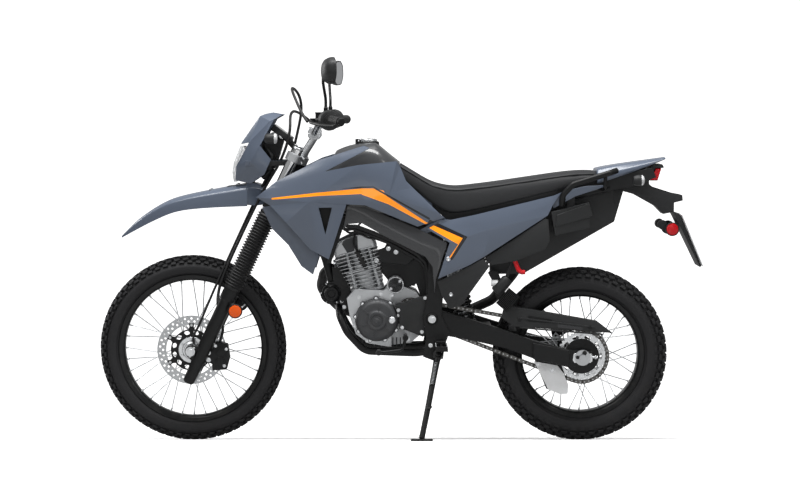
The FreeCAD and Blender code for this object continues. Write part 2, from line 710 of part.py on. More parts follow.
def headlight():
    """The cowl is a faceted screen with swept cheeks; the lamp's bucket and lens sit in its mouth."""
    points = (
        (-586, 0, 1106), (-516, 0, 1206), (-497, 0, 1214),
        (-582, 44, 1106), (-512, 48, 1206), (-470, 52, 1219),
        (-551, 80, 1112), (-474, 84, 1190), (-430, 78, 1212),
        (-541, 92, 1051), (-511, 94, 1101), (-458, 92, 1196),
        (-600, 68, 1024), (-471, 98, 1051), (-496, 92, 996),
        (-546, 82, 962), (-603, 64, 974),
    )
    faces = (
        (0, 3, 4, 1), (1, 4, 5, 2), (3, 6, 7, 4), (4, 7, 8, 5), (6, 10, 11, 7), (7, 11, 8),
        (6, 9, 10), (6, 12, 9), (12, 16, 15, 9), (9, 15, 14), (9, 14, 13), (9, 13, 10),
    )
    merged = list(points) + [(x, -y, z) for x, y, z in points[3:]]
    shift = len(points) - 3
    twin = [tuple(k if k < 3 else k + shift for k in face)[::-1] for face in faces]
    cowl = shell_panel(merged, list(faces) + twin, size("panel_wall"))
    arm = Part.makeBox(150, 12, 18, Vector(-550, 82, 1028))
    lug = Part.makeBox(20, 90 - 58.3, 18, Vector(-566, 58.3, 1028))
    span = size("fork_half_span")
    tube_room = room(on_fork(600, span), on_fork(900, span), size("stanchion_radius"))
    behind = Part.makeBox(80, 60, 60, on_fork(770, 60, 0) - Vector(0, 0, 30))
    arm = arm.fuse(lug).cut(tube_room).cut(behind)
    feature("headlight_cowl", fused([cowl, arm, mirrored(arm)]))

    lens = [(-588, 1098), (-613, 1036), (-618, 1001), (-613, 968), (-606, 968), (-610, 1001), (-605, 1036),
            (-580, 1098)]
    body = [(-579.6, 1095), (-604.6, 1036), (-609.6, 1001), (-605.7, 970), (-550, 985), (-520, 1010), (-520, 1060),
            (-545, 1086)]
    feature("headlight_lens", prism(lens, -60, 60))
    feature("headlight_unit", prism(body, -58, 58))
    top = size("upper_clamp_at") + size("clamp_thickness") / 2 + 0.3
    front, rear = on_fork(top, 0, -10), on_fork(top, 0, 8)
    bracket = prism([(front.x, front.z), (-440, 1134), (-400, 1126), (rear.x, rear.z)], -18, 18)
    panel = prism([(-462, 1178), (-395, 1128), (-402, 1112), (-475, 1158)], -62, 62)
    feature("instrument", fused([panel, bracket]))
    stalk = bar(Vector(-461, 105, 1128), Vector(-461, 140, 1128), 8)
    pod = bar(Vector(-490, 150, 1128), Vector(-444, 150, 1128), 20)
    lamp = seated(fused([stalk, pod]), cowl, -ACROSS)
    reflector = bar(Vector(-603, 126, 497), Vector(-603, 134, 497), 27)
    left_leg = room(on_fork(0, span), on_fork(270, span), size("slider_radius"), 0)
    reflector = seated(reflector, left_leg, -ACROSS)
    feature("front_indicators", Part.makeCompound([lamp, mirrored(lamp), reflector, mirrored(reflector)]))


def front_caliper():
    """The caliper astride the disc, on an ear that reaches the left leg."""
    y = -size("front_disc_y")
    outline = [(-692, 272), (-640, 276), (-628, 322), (-636, 370), (-678, 380), (-696, 342)]
    body = prism(outline, y - 22, y + 18)
    ear = prism([(-740, 300), (-680, 300), (-680, 350), (-724, 350)], y - 22, y - 10)
    leg = room(on_fork(-200, -size("fork_half_span")), on_fork(300, -size("fork_half_span")), size("slider_radius"))
    slot = room(FRONT_AXLE + ACROSS * (y - size("disc_thickness") / 2 - 1.5),
                FRONT_AXLE + ACROSS * (y + size("disc_thickness") / 2 + 1.5), (size("front_disc_radius") + 4) / math.cos(math.pi / 12))
    whole = body.fuse(ear).cut(leg).cut(slot)
    feature("front_caliper", max(whole.Solids, key=lambda solid: solid.Volume))


# Frame and running gear


BACKBONE = ((-395, 0, 968), (-180, 0, 858), (110, 0, 782))


def frame():
    """Head tube, backbone, down tube, cradle, pivot plates and seat rails, with the swingarm's bolt."""
    radius = size("tube_radius")
    half = size("cradle_half_span")
    plate_y = size("plate_half_span")
    thick = size("plate_thickness")
    rail = size("rail_radius")
    low = on_steering(size("lower_clamp_at") + size("clamp_thickness") / 2 + 0.5)
    high = on_steering(size("upper_clamp_at") - size("clamp_thickness") / 2 - 0.5)
    shapes = [
        bar(low, high, size("head_tube_radius")),
        tube(BACKBONE, size("backbone_radius"), 90),
        tube([(-415, 0, 915), (-278, 0, 690), (-226, 0, 496)], radius + 3, 120),
        bar(Vector(110, -118, 782), Vector(110, 118, 782), 15),
        bar(Vector(196, -76, 660), Vector(196, 76, 660), 11),
        bar(Vector(128, -plate_y, 352), Vector(128, plate_y, 352), 13),
        bar(Vector(770, -66, 944), Vector(770, 66, 944), rail),
    ]
    outline = [(104, 700), (150, 700), (158, 560), (152, 480), (182, 420), (164, 372), (158, 322), (120, 316),
               (84, 330), (96, 400), (84, 470), (100, 560)]
    pivot = Vector(size("pivot_x"), 0, size("pivot_z"))
    for side in (-1, 1):
        shapes.append(tube([(-229, 0, 506), (-222, side * half * 0.7, 470), (-196, side * half, 416),
                            (-130, side * half, 345), (60, side * half, 338), (120, side * (plate_y - 8), 352)],
                           radius, 60))
        shapes.append(tube([(110, side * 106, 782), (118, side * (plate_y - 2), 720), (124, side * plate_y, 640)],
                           radius, 40))
        shapes.append(tube([(110, side * 64, 782), (190, side * 76, 804), (560, side * 80, 896), (770, side * 66, 944)],
                           rail, 60))
        shapes.append(tube([(122, side * (plate_y - 2), 650), (300, side * 96, 752), (520, side * 80, 886)], rail, 60))
        shapes.append(tube([(128, side * (plate_y - 4), 640), (160, side * 100, 656), (200, side * 70, 660)], 9, 30))
        low_y, high_y = sorted((side * plate_y, side * (plate_y + thick)))
        shapes.append(prism(outline, low_y, high_y))
        shapes.append(bar(pivot + ACROSS * (side * plate_y), pivot + ACROSS * (side * (plate_y + 16)), 15))
    shapes.append(bar(pivot - ACROSS * (plate_y + 3), pivot + ACROSS * (plate_y + 3), 10))
    for side in (-1, 1):
        low_y, high_y = sorted((side * 8, side * 15))
        shapes.append(prism([(-240, 540), (-196.35, 540), (-187.8, 490), (-226, 490)], low_y, high_y))
    hinge, axis = stand_hinge()
    shapes.append(bar(hinge - axis * 26, hinge - axis * 12.4, 12))
    shapes.append(rod(hinge - axis * 26, hinge + axis * 19, 6.5))
    shapes.append(bar(hinge + axis * 12.4, hinge + axis * 19, 11))
    whole = fused(shapes)
    bore = rod(on_steering(size("lower_clamp_at")), on_steering(size("upper_clamp_at")), size("stem_radius") + 0.05)
    feature("frame", whole.cut(bore))


def swingarm():
    """Two tapered legs joined by a cross-member, with a collar on the pivot bolt, and the rear axle through them."""
    inner = size("arm_inner_y")
    outer = inner + size("arm_width")
    pivot = Vector(size("pivot_x"), 0, size("pivot_z"))
    outline = [(104, 488), (140, 500), (231, 474), (372, 430), (484, 389), (622, 352), (706, 346), (706, 304),
               (621, 288), (487, 322), (391, 359), (260, 389), (171, 405), (108, 446)]
    leg = prism(outline, inner, outer)
    collar = bar(pivot + ACROSS * (inner - 2), pivot + ACROSS * (outer + 3), 22)
    leg = leg.fuse(collar)
    cross = Part.makeBox(38, 2 * inner + 4, 52, Vector(300, -inner - 2, 384))
    lugs = [Part.makeBox(60, 10, 28, Vector(244, y, 386)) for y in (-36, 26)]
    bolt = bar(Vector(256, -36, 400), Vector(256, 36, 400), 7)
    whole = fused([leg, mirrored(leg), cross, *lugs, bolt])
    wide = size("rear_axle_radius") + 0.3
    axle_hole = turned([(-200, 0), (-200, wide), (200, wide), (200, 0)], HUB_ROUND, False)
    axle_hole.translate(REAR_AXLE)
    pivot_hole = room(pivot - ACROSS * 200, pivot + ACROSS * 200, 10)
    feature("swingarm", whole.cut(axle_hole).cut(pivot_hole))
    r = size("rear_axle_radius")
    steps = [(84.4, r - 2), (84.4, 15), (inner - 0.3, 15), (inner - 0.3, r), (outer + 0.3, r), (outer + 0.3, 30),
             (outer + 6, 30), (outer + 6, 14), (outer + 18, 14), (outer + 18, 0)]
    axle = turned([(-y, r) for y, r in reversed(steps)] + steps, HUB_ROUND, False)
    axle = axle.fuse(rod(-ACROSS * 86, ACROSS * 86, r))
    axle.translate(REAR_AXLE)
    feature("rear_axle", axle)
    top = Vector(196, 0, 660)
    foot = Vector(256, 0, 400)
    along = (foot - top).normalize()
    length = (foot - top).Length
    outline = [(0, 4), (14, 4), (14, 26), (23, 30), (23, 98), (40, 98), (40, 106)]
    for k in range(6):
        outline += [(30, 109 + 20 * k), (39, 119 + 20 * k)]
    outline.append((30, 229))
    outline += [(40, length - 34), (40, length - 28), (12, length - 26), (12, length - 4), (0, length - 4)]
    body = turned([(z, r) for r, z in outline], HUB_ROUND, False)
    body.Placement = Placement(top, Rotation(ACROSS, along))
    ends = [bar(top - ACROSS * 15, top + ACROSS * 15, 20), bar(foot - ACROSS * 15, foot + ACROSS * 15, 14)]
    eye_room = room(foot - ACROSS * 50, foot + ACROSS * 50, 7)
    top_room = room(top - ACROSS * 90, top + ACROSS * 90, 11)
    feature("rear_shock", fused([body, *ends]).cut(eye_room).cut(top_room))
    caliper()


def caliper():
    """The rear caliper over its disc, on an ear that lies on the right leg's inner side."""
    y = size("rear_disc_y")
    outline = [(600, 384), (560, 420), (584, 448), (640, 436), (648, 402)]
    body = prism(outline, y - 18, y + 13.7)
    slot = room(REAR_AXLE + ACROSS * (y - size("disc_thickness") / 2 - 1.5),
                REAR_AXLE + ACROSS * (y + size("disc_thickness") / 2 + 1.5), (size("rear_disc_radius") + 4) / math.cos(math.pi / 12))
    ear = prism([(566, 420), (600, 420), (606, 358), (578, 358)], y + 8, y + 13.7)
    feature("rear_caliper", body.fuse(ear).cut(slot))


def chain_line():
    """Points of the chain's loop, one pitch apart: round both sprockets and straight between them."""
    small = Vector(size("front_sprocket_x"), 0, size("front_sprocket_z"))
    big = REAR_AXLE
    r_small = pitch_radius(int(size("front_teeth")))
    r_big = pitch_radius(int(size("rear_teeth")))
    apart = big - small
    span = apart.Length
    base = math.atan2(apart.z, apart.x)
    tilt = math.asin((r_big - r_small) / span)
    straight = span * math.cos(tilt)
    top = base + math.pi / 2 + tilt
    low = base - math.pi / 2 - tilt
    arc_small = (math.pi - 2 * tilt) * r_small
    arc_big = (math.pi + 2 * tilt) * r_big
    total = 2 * straight + arc_small + arc_big
    count = int(size("chain_links"))
    points = []

    def spot(centre, radius, angle):
        return Vector(centre.x + radius * math.cos(angle), 0, centre.z + radius * math.sin(angle))

    for k in range(count):
        along = total * k / count
        if along < straight:
            a, b = spot(small, r_small, top), spot(big, r_big, top)
            points.append(a + (b - a) * (along / straight))
            continue
        along -= straight
        if along < arc_big:
            points.append(spot(big, r_big, top - along / r_big))
            continue
        along -= arc_big
        if along < straight:
            a, b = spot(big, r_big, low), spot(small, r_small, low)
            points.append(a + (b - a) * (along / straight))
            continue
        along -= straight
        points.append(spot(small, r_small, low - along / r_small))
    return points


def chain():
    """The drive chain as one fixed loop: two waisted side plates round the whole loop, joined by their pins."""
    points = chain_line()
    count = len(points)
    walls = []
    for sign in (1, -1):
        edge = []
        for k, here in enumerate(points):
            forward = (points[(k + 1) % count] - points[k - 1]).normalize()
            edge.append(here + Vector(-forward.z, 0, forward.x) * (sign * (7.2 if k % 2 else 4.8)))
        walls.append(Part.Face(Part.makePolygon(edge + edge[:1])))
    big, small = sorted(walls, key=lambda face: -face.Area)
    ring = big.cut(small).extrude(Vector(0, 3.2, 0))
    centre = size("chain_y")
    plates = []
    for y in (-centre - 8.2, -centre + 5.0):
        plates.append(ring.copy())
        plates[-1].translate(Vector(0, y, 0))
    pins = [bar(p + Vector(0, -centre - 6, 0), p + Vector(0, -centre + 6, 0), 3.4, 6) for p in points[1::8]]
    feature("chain", plates[0].multiFuse([plates[1], *pins]))


def chain_guards():
    """The black guard over the chain's upper run, and the pale plate that guides it into the sprocket."""
    inner = size("arm_inner_y")
    guard = [(383, 516), (446, 506), (725, 456), (781, 413), (707, 418), (600, 424), (417, 437), (372, 470)]
    outer = prism(guard, -inner - 6, -inner - 2)
    roof = [(383, 516), (446, 506), (725, 456), (781, 413), (777, 410), (722, 452), (446, 502), (384, 512)]
    flat = prism(roof, -inner - 6, -62)
    window = prism([(470, 478), (560, 462), (560, 450), (470, 455)], -inner - 10, -inner)
    foot = prism([(400, 445), (424, 438), (430, 420), (400, 420)], -inner - 6, -inner - 2)
    guard = fused([outer, flat, foot]).cut(window)
    plate = prism([(489, 330), (592, 305), (621, 218), (618, 188), (590, 186), (539, 206)],
                  -inner - 4, -inner + 2)
    room = prism([(400, 400), (640, 340), (640, 283), (487, 321.7), (391, 358)], -inner - 40, -inner + 40)
    plate = plate.cut(room)
    feature("chain_guards", Part.makeCompound([guard, plate]))


def engine():
    x, z = size("crank_x"), size("crank_z")
    half = size("case_half_width")
    box = size("gearbox_half_width")
    outline = [(-196, 540), (-184, 470), (-162, 408), (-115, 374), (-45, 362), (40, 372), (84, 410), (88, 520),
               (60, 560), (-30, 600), (-60, 570), (-165, 575)]
    front = [(-196, 540), (-184, 470), (-162, 408), (-115, 374), (-45, 362), (-32, 362), (-32, 585), (-60, 570),
             (-165, 575)]
    case = prism(outline, -box, half).fuse(prism(front, -half, -box + 1))
    bolt_face = size("pivot_x") - 10 * math.cos(math.pi / 8) - 0.3
    lug = Part.makeBox(bolt_face - 80, 60, 22, Vector(80, -30, size("pivot_z") - 11))
    starter = bar(Vector(-17, -box + 4, 591), Vector(-17, -half - 14, 591), 31)
    shaft = Vector(size("front_sprocket_x"), 0, size("front_sprocket_z"))
    boss = bar(shaft - ACROSS * (box - 2), shaft - ACROSS * (size("chain_y") + 6), 11)
    wheel = bar(shaft - ACROSS * (size("chain_y") - 3), shaft - ACROSS * (size("chain_y") + 3),
                pitch_radius(int(size("front_teeth"))) - 3.7)
    feature("engine_case", fused([case, lug, starter, boss, wheel]))

    count = int(size("fin_count"))
    low, high = 112.0, 262.0
    pitch = (high - low) / count
    core = bar(Vector(0, 0, low - 2), Vector(0, 0, high + 2), 52, 8)
    port = bar(Vector(-50, 36, 215), Vector(-100, 36, 215), 24)
    pieces = [core, port, Part.makeBox(84, 60, 70, Vector(-52, -30, high - 70))]
    for k in range(count):
        share = k / (count - 1)
        front = -62 - 30 * share
        rear = 56 + 16 * min(1, share * 1.6)
        side = 66 + 10 * share
        slab = Part.makeBox(rear - front, 2 * side, size("fin_thickness"), Vector(front, -side, low + pitch * k))
        pieces.append(slab.makeChamfer(14, [e for e in slab.Edges if abs(e.Vertexes[0].Z - e.Vertexes[1].Z) > 1]))
    cover = prism([(-88, 258), (-84, 292), (-58, 314), (10, 322), (56, 312), (72, 258)], -58, 58)
    cover = cover.makeChamfer(9, [e for e in cover.Edges if e.Length > 100 and e.CenterOfMass.z > 263])
    barrel = fused([*pieces, cover])
    barrel.Placement = Placement(Vector(x, 0, z), Rotation(ACROSS, -size("barrel_tilt")))
    room = engine_room()
    feature("cylinder", max(barrel.cut(room).Solids, key=lambda solid: solid.Volume))


def engine_room():
    """What the crankcase fills, a little larger, so that the barrel seats on it."""
    outline = [(-196.3, 540), (-184, 470), (-60, 400), (60.3, 560), (-29.8, 600.3), (-59.8, 570.3), (-165, 575.3)]
    block = prism(outline, -93, 93)
    starter = room(Vector(-17, -110, 591), Vector(-17, 0, 591), 31)
    return block.fuse(starter)


def engine_covers():
    """Round cast covers on both ends of the crankshaft, turned, with a raised ring and a cap."""
    r = size("generator_radius")
    half = size("case_half_width")
    deep = size("cover_depth")
    steps = [(-half - 0.3, 0), (-half - 0.3, r), (-half - deep * 0.55, r), (-half - deep * 0.8, r - 12),
             (-half - deep * 0.86, 34), (-half - deep, 33), (-half - deep, 24), (-half - deep + 4, 22),
             (-half - deep + 2, 0)]
    wheel_piece("generator_cover", steps, 24, Vector(size("crank_x"), 0, size("crank_z")))
    c = size("clutch_radius")
    steps = [(half + deep, 0), (half + deep, c - 34), (half + deep * 0.8, c - 14), (half + deep * 0.5, c),
             (half + 0.3, c), (half + 0.3, 0)]
    wheel_piece("clutch_cover", steps, 20, Vector(-40, 0, size("crank_z") - 6))
    outline = [(-20, 516), (126, 564), (126, 530), (91, 482), (89, 436), (105, 412), (83, 402), (17, 428), (-3, 430),
               (-2, 480)]
    inner = -size("chain_y") - 14
    shell = prism(outline, -size("plate_half_span") + 6, inner)
    feet = [bar(Vector(x, inner - 1, z), Vector(x, -size("gearbox_half_width") - 0.3, z), 6)
            for x, z in ((0, 500 - 50), (80, 552 - 60 + 5))]
    feature("sprocket_cover", fused([shell, *feet]))


def exhaust():
    """The pipe from the head round the right side, and the muffler beside the rear wheel."""
    r = size("exhaust_radius")
    pipe = tube([(-239.8, 36, 641.8), (-282, 36, 629.9), (-300, 104, 560), (-236, 152, 486), (-110, 172, 424), (80, 176, 424),
                 (230, 178, 452), (352, 186, 506), (436, 190, 610), (462, 190, 668)], r, 70)
    a = Vector(452, 190, 664)
    b = Vector(790, 184, 866)
    along = (b - a).normalize()
    can = bar(a, b, size("muffler_radius"))
    cone = bar(a - along * 26, a + along * 2, size("muffler_radius") * 0.7, 12)
    tip = bar(b - along * 2, b + along * 18, 22)
    hanger = tube([(700, 140, 812), (700, 110, 840), (690, 84, 900)], 7, 20)
    rail = room(Vector(560, 80, 896), Vector(770, 66, 944), size("rail_radius"))
    feature("exhaust", fused([pipe, can, cone, tip, hanger]).cut(rail))


def fittings():
    """Intake, oil cooler and horn."""
    throat = tube([(-73, 0, 690), (40, 0, 716), (190, 0, 738)], 26, 60)
    box = prism([(172, 690), (172, 785), (330, 820), (392, 780), (322, 686)], -52, 52)
    top_mount = room(Vector(196, -90, 660), Vector(196, 90, 660), 20)
    feature("intake", throat.fuse(box).cut(top_mount))
    forward = Vector(-0.854, 0, -0.520)
    top = Vector(-345, 0, 800)
    low = Vector(-290, 0, 710)
    flat = (size("tube_radius") + 3) * math.cos(math.pi / 8)
    near, far = flat + 0.3, 43
    core = [top + forward * near, top + forward * far, low + forward * far, low + forward * near]
    feature("oil_cooler", prism([(p.x, p.z) for p in core], -92, 92))
    feature("horn", bar(Vector(-254, -flat - 0.3, 553), Vector(-254, -flat - 34, 553), 42))


def stand_points():
    """The stand's pivot, and its foot down and folded, each in the upright machine."""
    pivot = Vector(size("stand_pivot_x"), size("stand_pivot_y"), size("stand_pivot_z"))
    y = size("stand_foot_y")
    down = Vector(size("stand_foot_x"), y, -y * math.tan(LEAN))
    reach = (down - pivot).Length
    folded = pivot + Vector(0.9985, -0.05, 0.05).normalize() * reach
    return pivot, down, folded


def stand_hinge():
    """The stand's pivot and the axis that carries it from its foot down to folded, turning positive."""
    pivot, down, folded = stand_points()
    axis = (down - pivot).normalize().cross((folded - pivot).normalize()).normalize()
    return pivot, axis


def side_stand():
    """The stand's leg, the foot that lies flat on the floor, and the eye on its bolt."""
    pivot, foot, _ = stand_points()
    axis = stand_hinge()[1]
    down = Vector(0, -math.sin(LEAN), -math.cos(LEAN))
    leg = bar(pivot, foot - down * 9, size("stand_radius"))
    pad = Part.makeBox(80, 52, 8, Vector(-40, -26, 0))
    pad.Placement = Placement(foot, Rotation(Vector(1, 0, 0), -size("lean_angle")))
    eye = bar(pivot - axis * 12, pivot + axis * 12, 17)
    tang = bar((foot - pivot) * 0.62 + pivot, (foot - pivot) * 0.62 + pivot + Vector(10, -46, 12), 4.5)
    bore = rod(pivot - axis * 30, pivot + axis * 30, 6.5 + size("running_gap"))
    return feature("side_stand", fused([leg, pad, eye, tang]).cut(bore))


# Bodywork


def tank():
    """The tank astride the backbone, and its filler cap."""
    stations = (
        # x, bottom, top, half width
        (-296, 908, 972, 66),
        (-268, 880, 1016, 90),
        (-235, 868, 1082, 104),
        (-170, 856, 1108, 112),
        (-90, 846, 1112, 112),
        (-30, 842, 1062, 98),
        (-0.5, 840, 1040, 84),
    )
    wires = []
    for x, low, top, half in stations:
        waist = low + (top - low) * 0.45
        wires.append(section(x, [(-half * 0.7, low), (-half, waist), (-half * 0.86, top - 32), (-half * 0.4, top),
                                 (half * 0.4, top), (half * 0.86, top - 32), (half, waist), (half * 0.7, low)]))
    lift = size("backbone_radius") * math.cos(math.pi / 12) / math.cos(math.atan2(76, 290)) + 0.3
    steep = size("backbone_radius") / math.cos(math.atan2(110, 215)) + 1
    tunnel = [(-395, 968 + steep), (-182, 859 + steep), (110, 782 + lift), (110, 700), (-395, 700)]
    hinge = CAP_HINGE
    neck = bar(Vector(-118, 0, 1090), Vector(-118, 0, 1115), 38)
    pin = rod(hinge - ACROSS * 15, hinge + ACROSS * 15, 2)
    lugs = [Part.makeBox(10, 5, 16, Vector(hinge.x - 5, y, hinge.z - 12)) for y in (-15, 10)]
    feature("fuel_tank", fused([skinned(wires).cut(prism(tunnel, -26, 26)), neck, pin, *lugs]))
    lid = bar(Vector(-118, 0, 1115.3), Vector(-118, 0, 1124), 34)
    strap = Part.makeBox(16, 18, 6, Vector(hinge.x, -9, hinge.z - 1))
    ear = bar(hinge - ACROSS * 9, hinge + ACROSS * 9, 4.5)
    bore = rod(hinge - ACROSS * 20, hinge + ACROSS * 20, 2 + size("running_gap"))
    feature("fuel_cap", fused([lid, strap, ear]).cut(bore))


CAP_HINGE = Vector(-160, 0, 1120)


def shrouds():
    wall = size("panel_wall")
    points = (
        (-519, 190, 918), (-448, 174, 974), (-294, 152, 1051), (-131, 120, 1102), (-110, 122, 1093),
        (-272, 168, 1010), (-149, 154, 1033), (-12, 138, 1046), (1, 134, 1025), (22, 138, 974),
        (144, 134, 855), (163, 132, 840), (64, 140, 808), (-126, 162, 887), (-194, 174, 891),
        (-258, 186, 692), (-324, 196, 729), (-411, 202, 827), (-470, 190, 888),
        (-330, 200, 900), (-40, 156, 920),
    )
    faces = (
        (0, 1, 5), (1, 2, 5), (2, 3, 4), (2, 4, 5),
        (0, 5, 19), (5, 6, 19), (6, 13, 19), (6, 20, 13), (6, 7, 20), (7, 8, 20), (8, 9, 20), (9, 10, 20),
        (10, 12, 20), (10, 11, 12), (12, 13, 20), (13, 14, 19), (0, 19, 18), (18, 19, 17), (19, 16, 17),
        (19, 14, 16), (14, 15, 16),
    )
    panel = shell_panel(points, faces, wall)
    vent = prism([(-294, 880), (-246, 880), (-270, 782)], 100, 260)
    duct_points = (
        (-500, 160, 880), (-465, 158, 802), (-406, 154, 742), (-359, 146, 664), (-317, 138, 632), (-296, 142, 700),
        (-330, 152, 800), (-420, 160, 890),
    )
    duct_faces = ((0, 7, 1), (1, 7, 6), (1, 6, 2), (2, 6, 5), (2, 5, 3), (3, 5, 4))
    duct = shell_panel(duct_points, duct_faces, wall)
    posts = [bar(Vector(-420, 157, 850), Vector(-420, 197, 850), 8),
             bar(Vector(-330, 148, 760), Vector(-330, 196, 760), 8)]
    posts.append(bar(Vector(-130, 112.3, 967), Vector(-130, 155.5, 967), 8))
    whole = fused([panel.cut(vent), duct, *posts])
    feature("tank_shrouds", both_sides(whole))


def trims():
    """The black trims at the knees, the side covers behind them and the black panels under those."""
    wall = size("panel_wall")
    points = (
        (-190, 160, 884), (-126, 148, 880), (64, 130, 800), (172, 142, 748), (131, 146, 618), (126, 142, 566),
        (119, 144, 660), (93, 144, 698), (-37, 146, 764), (-141, 150, 822), (-190, 156, 818), (-206, 160, 800),
    )
    faces = ((0, 1, 9), (0, 9, 10), (0, 10, 11), (1, 2, 8), (1, 8, 9), (2, 3, 7), (2, 7, 8), (3, 6, 7), (3, 4, 6),
             (4, 5, 6))
    post = bar(Vector(125, size("plate_half_span") + size("plate_thickness") + 0.3, 628), Vector(125, 143, 628), 5)
    feature("side_trims", both_sides(shell_panel(points, faces, wall).fuse(post)))
    cover = (
        (186, 124, 832), (281, 126, 852), (562, 112, 920), (590, 108, 932), (558, 118, 886), (539, 126, 848),
        (304, 140, 696), (250, 144, 666), (139, 150, 618), (181, 146, 750), (100, 138, 800), (164, 128, 834),
        (330, 134, 800),
    )
    faces = (
        (11, 0, 10), (0, 9, 10), (0, 12, 9), (0, 1, 12), (1, 2, 12), (2, 3, 4), (2, 4, 12), (4, 5, 12), (5, 6, 12),
        (6, 7, 12), (7, 9, 12), (7, 8, 9),
    )
    post = bar(Vector(210, 121.5, 700.4), Vector(210, 143, 700.4), 6)
    feature("side_covers", both_sides(shell_panel(cover, faces, wall).fuse(post)))
    lower = prism([(136, 606), (250, 662), (304, 690), (327, 664), (223, 519), (182, 508), (152, 556)], 137, 141)
    rear = prism([(306, 688), (530, 836), (541, 832), (546, 757), (532, 726), (424, 681), (334, 666)], 124, 128)
    posts = [bar(Vector(151, 133.3, 588), Vector(151, 138, 588), 6),
             bar(Vector(318, 125, 676), Vector(318, 140, 676), 6)]
    feature("side_panels", both_sides(fused([lower, rear, *posts])))


def seat():
    stations = (
        # x, bottom, top, half width
        (0, 972, 1036, 56),
        (74, 922, 991, 66),
        (119, 884, 965, 74),
        (175, 850, 952, 88),
        (260, 862, 956, 106),
        (475, 914, 985, 116),
        (640, 954, 1008, 108),
        (722, 974, 1007, 84),
    )
    wires = []
    for x, low, top, half in stations:
        wires.append(section(x, [(-half * 0.96, low), (-half, low + 12), (-half * 0.9, top - 16), (-half * 0.6, top),
                                 (half * 0.6, top), (half * 0.9, top - 16), (half, low + 12), (half * 0.96, low)]))
    feature("seat", skinned(wires))


def tail():
    stations = (
        # x, low, top, half width
        (722.3, 962, 1016, 96),
        (800, 986, 1032, 90),
        (900, 1020, 1046, 72),
        (978, 1050, 1058, 44),
    )
    wires = [section(x, [(-h, low), (-h * 0.7, top), (h * 0.7, top), (h, low)]) for x, low, top, h in stations]
    feature("tail_cowl", skinned(wires))
    tail_end = prism([(779, 956), (944, 1024), (938, 1010), (918, 973), (918, 959), (928, 950), (1009, 924), (1041, 918),
                      (1043, 898), (1011, 890), (1011, 856), (971, 848), (944, 876), (863, 921), (819, 933)], -42, 42)
    inner = prism([(335, 660), (335, 627), (455, 628), (789, 821), (822, 936), (782, 958), (560, 880), (430, 790)],
                  -54.5, 54.5)
    crossbar = room(Vector(770, -66, 944), Vector(770, 66, 944), size("rail_radius"))
    plate = prism([(1004, 860), (1029, 850), (1112, 657), (1106, 653)], -60, 60)
    feature("rear_fender", fused([tail_end, inner, plate]).cut(crossbar))
    rail = tube([(591, 112, 885), (591, 134, 921), (629, 140, 962), (763, 134, 1003), (790, 98, 1010)], 11, 30)
    front = bar(Vector(598, 88.9, 906), Vector(598, 122, 906), 7)
    rear = tube([(745, 70, 940), (745, 134, 948), (748, 134, 1000)], 7, 12)
    seat_rail = room(Vector(560, 80, 896), Vector(770, 66, 944), size("rail_radius"))
    rear = max(rear.cut(seat_rail).Solids, key=lambda solid: solid.Volume)
    feature("grab_rails", both_sides(fused([rail, front, rear])))
    stalk = bar(Vector(868, 42.3, 976), Vector(868, 112, 976), 8)
    pod = bar(Vector(850, 128, 976), Vector(890, 128, 976), 20)
    lamp = fused([stalk, bar(Vector(868, 108, 976), Vector(868, 128, 976), 9), pod])
    tail_lamp = prism([(921.5, 971), (949, 971), (963, 1017), (941.5, 1017)], -48, 48)
    feature("rear_lights", Part.makeCompound([lamp, mirrored(lamp), tail_lamp]))
    box = prism([(551, 860), (690, 895), (690, 802), (566, 775)], -128, -84)
    hook = prism([(612, 867), (640, 870), (640, 914), (612, 908)], -96, -84)
    rail = room(Vector(560, -80, 896), Vector(770, -66, 944), size("rail_radius"))
    feature("tool_box", box.fuse(hook).cut(rail))


def pegs():
    """Footpegs on brackets at the pivot plates, the gear lever on the left and the brake pedal on the right."""
    y = size("plate_half_span") + size("plate_thickness")
    bracket = Part.makeBox(36, 34, 26, Vector(132, y + 0.3, 364))
    peg = Part.makeBox(44, size("peg_y") - y - 34, 20, Vector(128, y + 34, 366))
    step = bracket.fuse(peg)
    shaft = bar(Vector(20, -size("gearbox_half_width") - 0.3, 400), Vector(20, -147, 400), 7)
    lever = tube([(20, -142, 400), (10, -146, 356), (-60, -150, 348), (-78, -150, 350)], 6, 20)
    toe = bar(Vector(-78, -145, 350), Vector(-78, -182, 350), 9)
    pin = bar(Vector(102, y + 0.3, 346), Vector(102, 164, 346), 12)
    pedal = tube([(102, 156, 346), (-20, 158, 342), (-96, 164, 350)], 7, 30)
    pad = Part.makeBox(40, 34, 8, Vector(-112, 150, 352))
    feature("foot_controls", Part.makeCompound([step, mirrored(step), fused([shaft, lever, toe]),
                                                fused([pedal, pad, pin])]))


def build():
    wheels()
    fork()
    handlebar()
    front_fender()
    headlight()
    front_caliper()
    frame()
    swingarm()
    chain()
    chain_guards()
    engine()
    engine_covers()
    exhaust()
    fittings()
    side_stand()
    tank()
    shrouds()
    trims()
    seat()
    tail()
    pegs()


def write():
    doc.recompute()
    os.makedirs(OUT, exist_ok=True)
    failed = [o.Name for o in doc.Objects if "Invalid" in o.State or "Error" in o.State]
    if failed:
        raise RuntimeError(f"features failed: {failed}")
    failed = [p.Label for p in parts if p.Shape.isNull() or not p.Shape.isValid() or p.Shape.Volume <= 0]
    if failed:
        raise RuntimeError(f"pieces with no valid solid: {failed}")
    for piece in parts:
        piece.Shape.exportStep(os.path.join(OUT, piece.Label + ".step"))


build()
write()
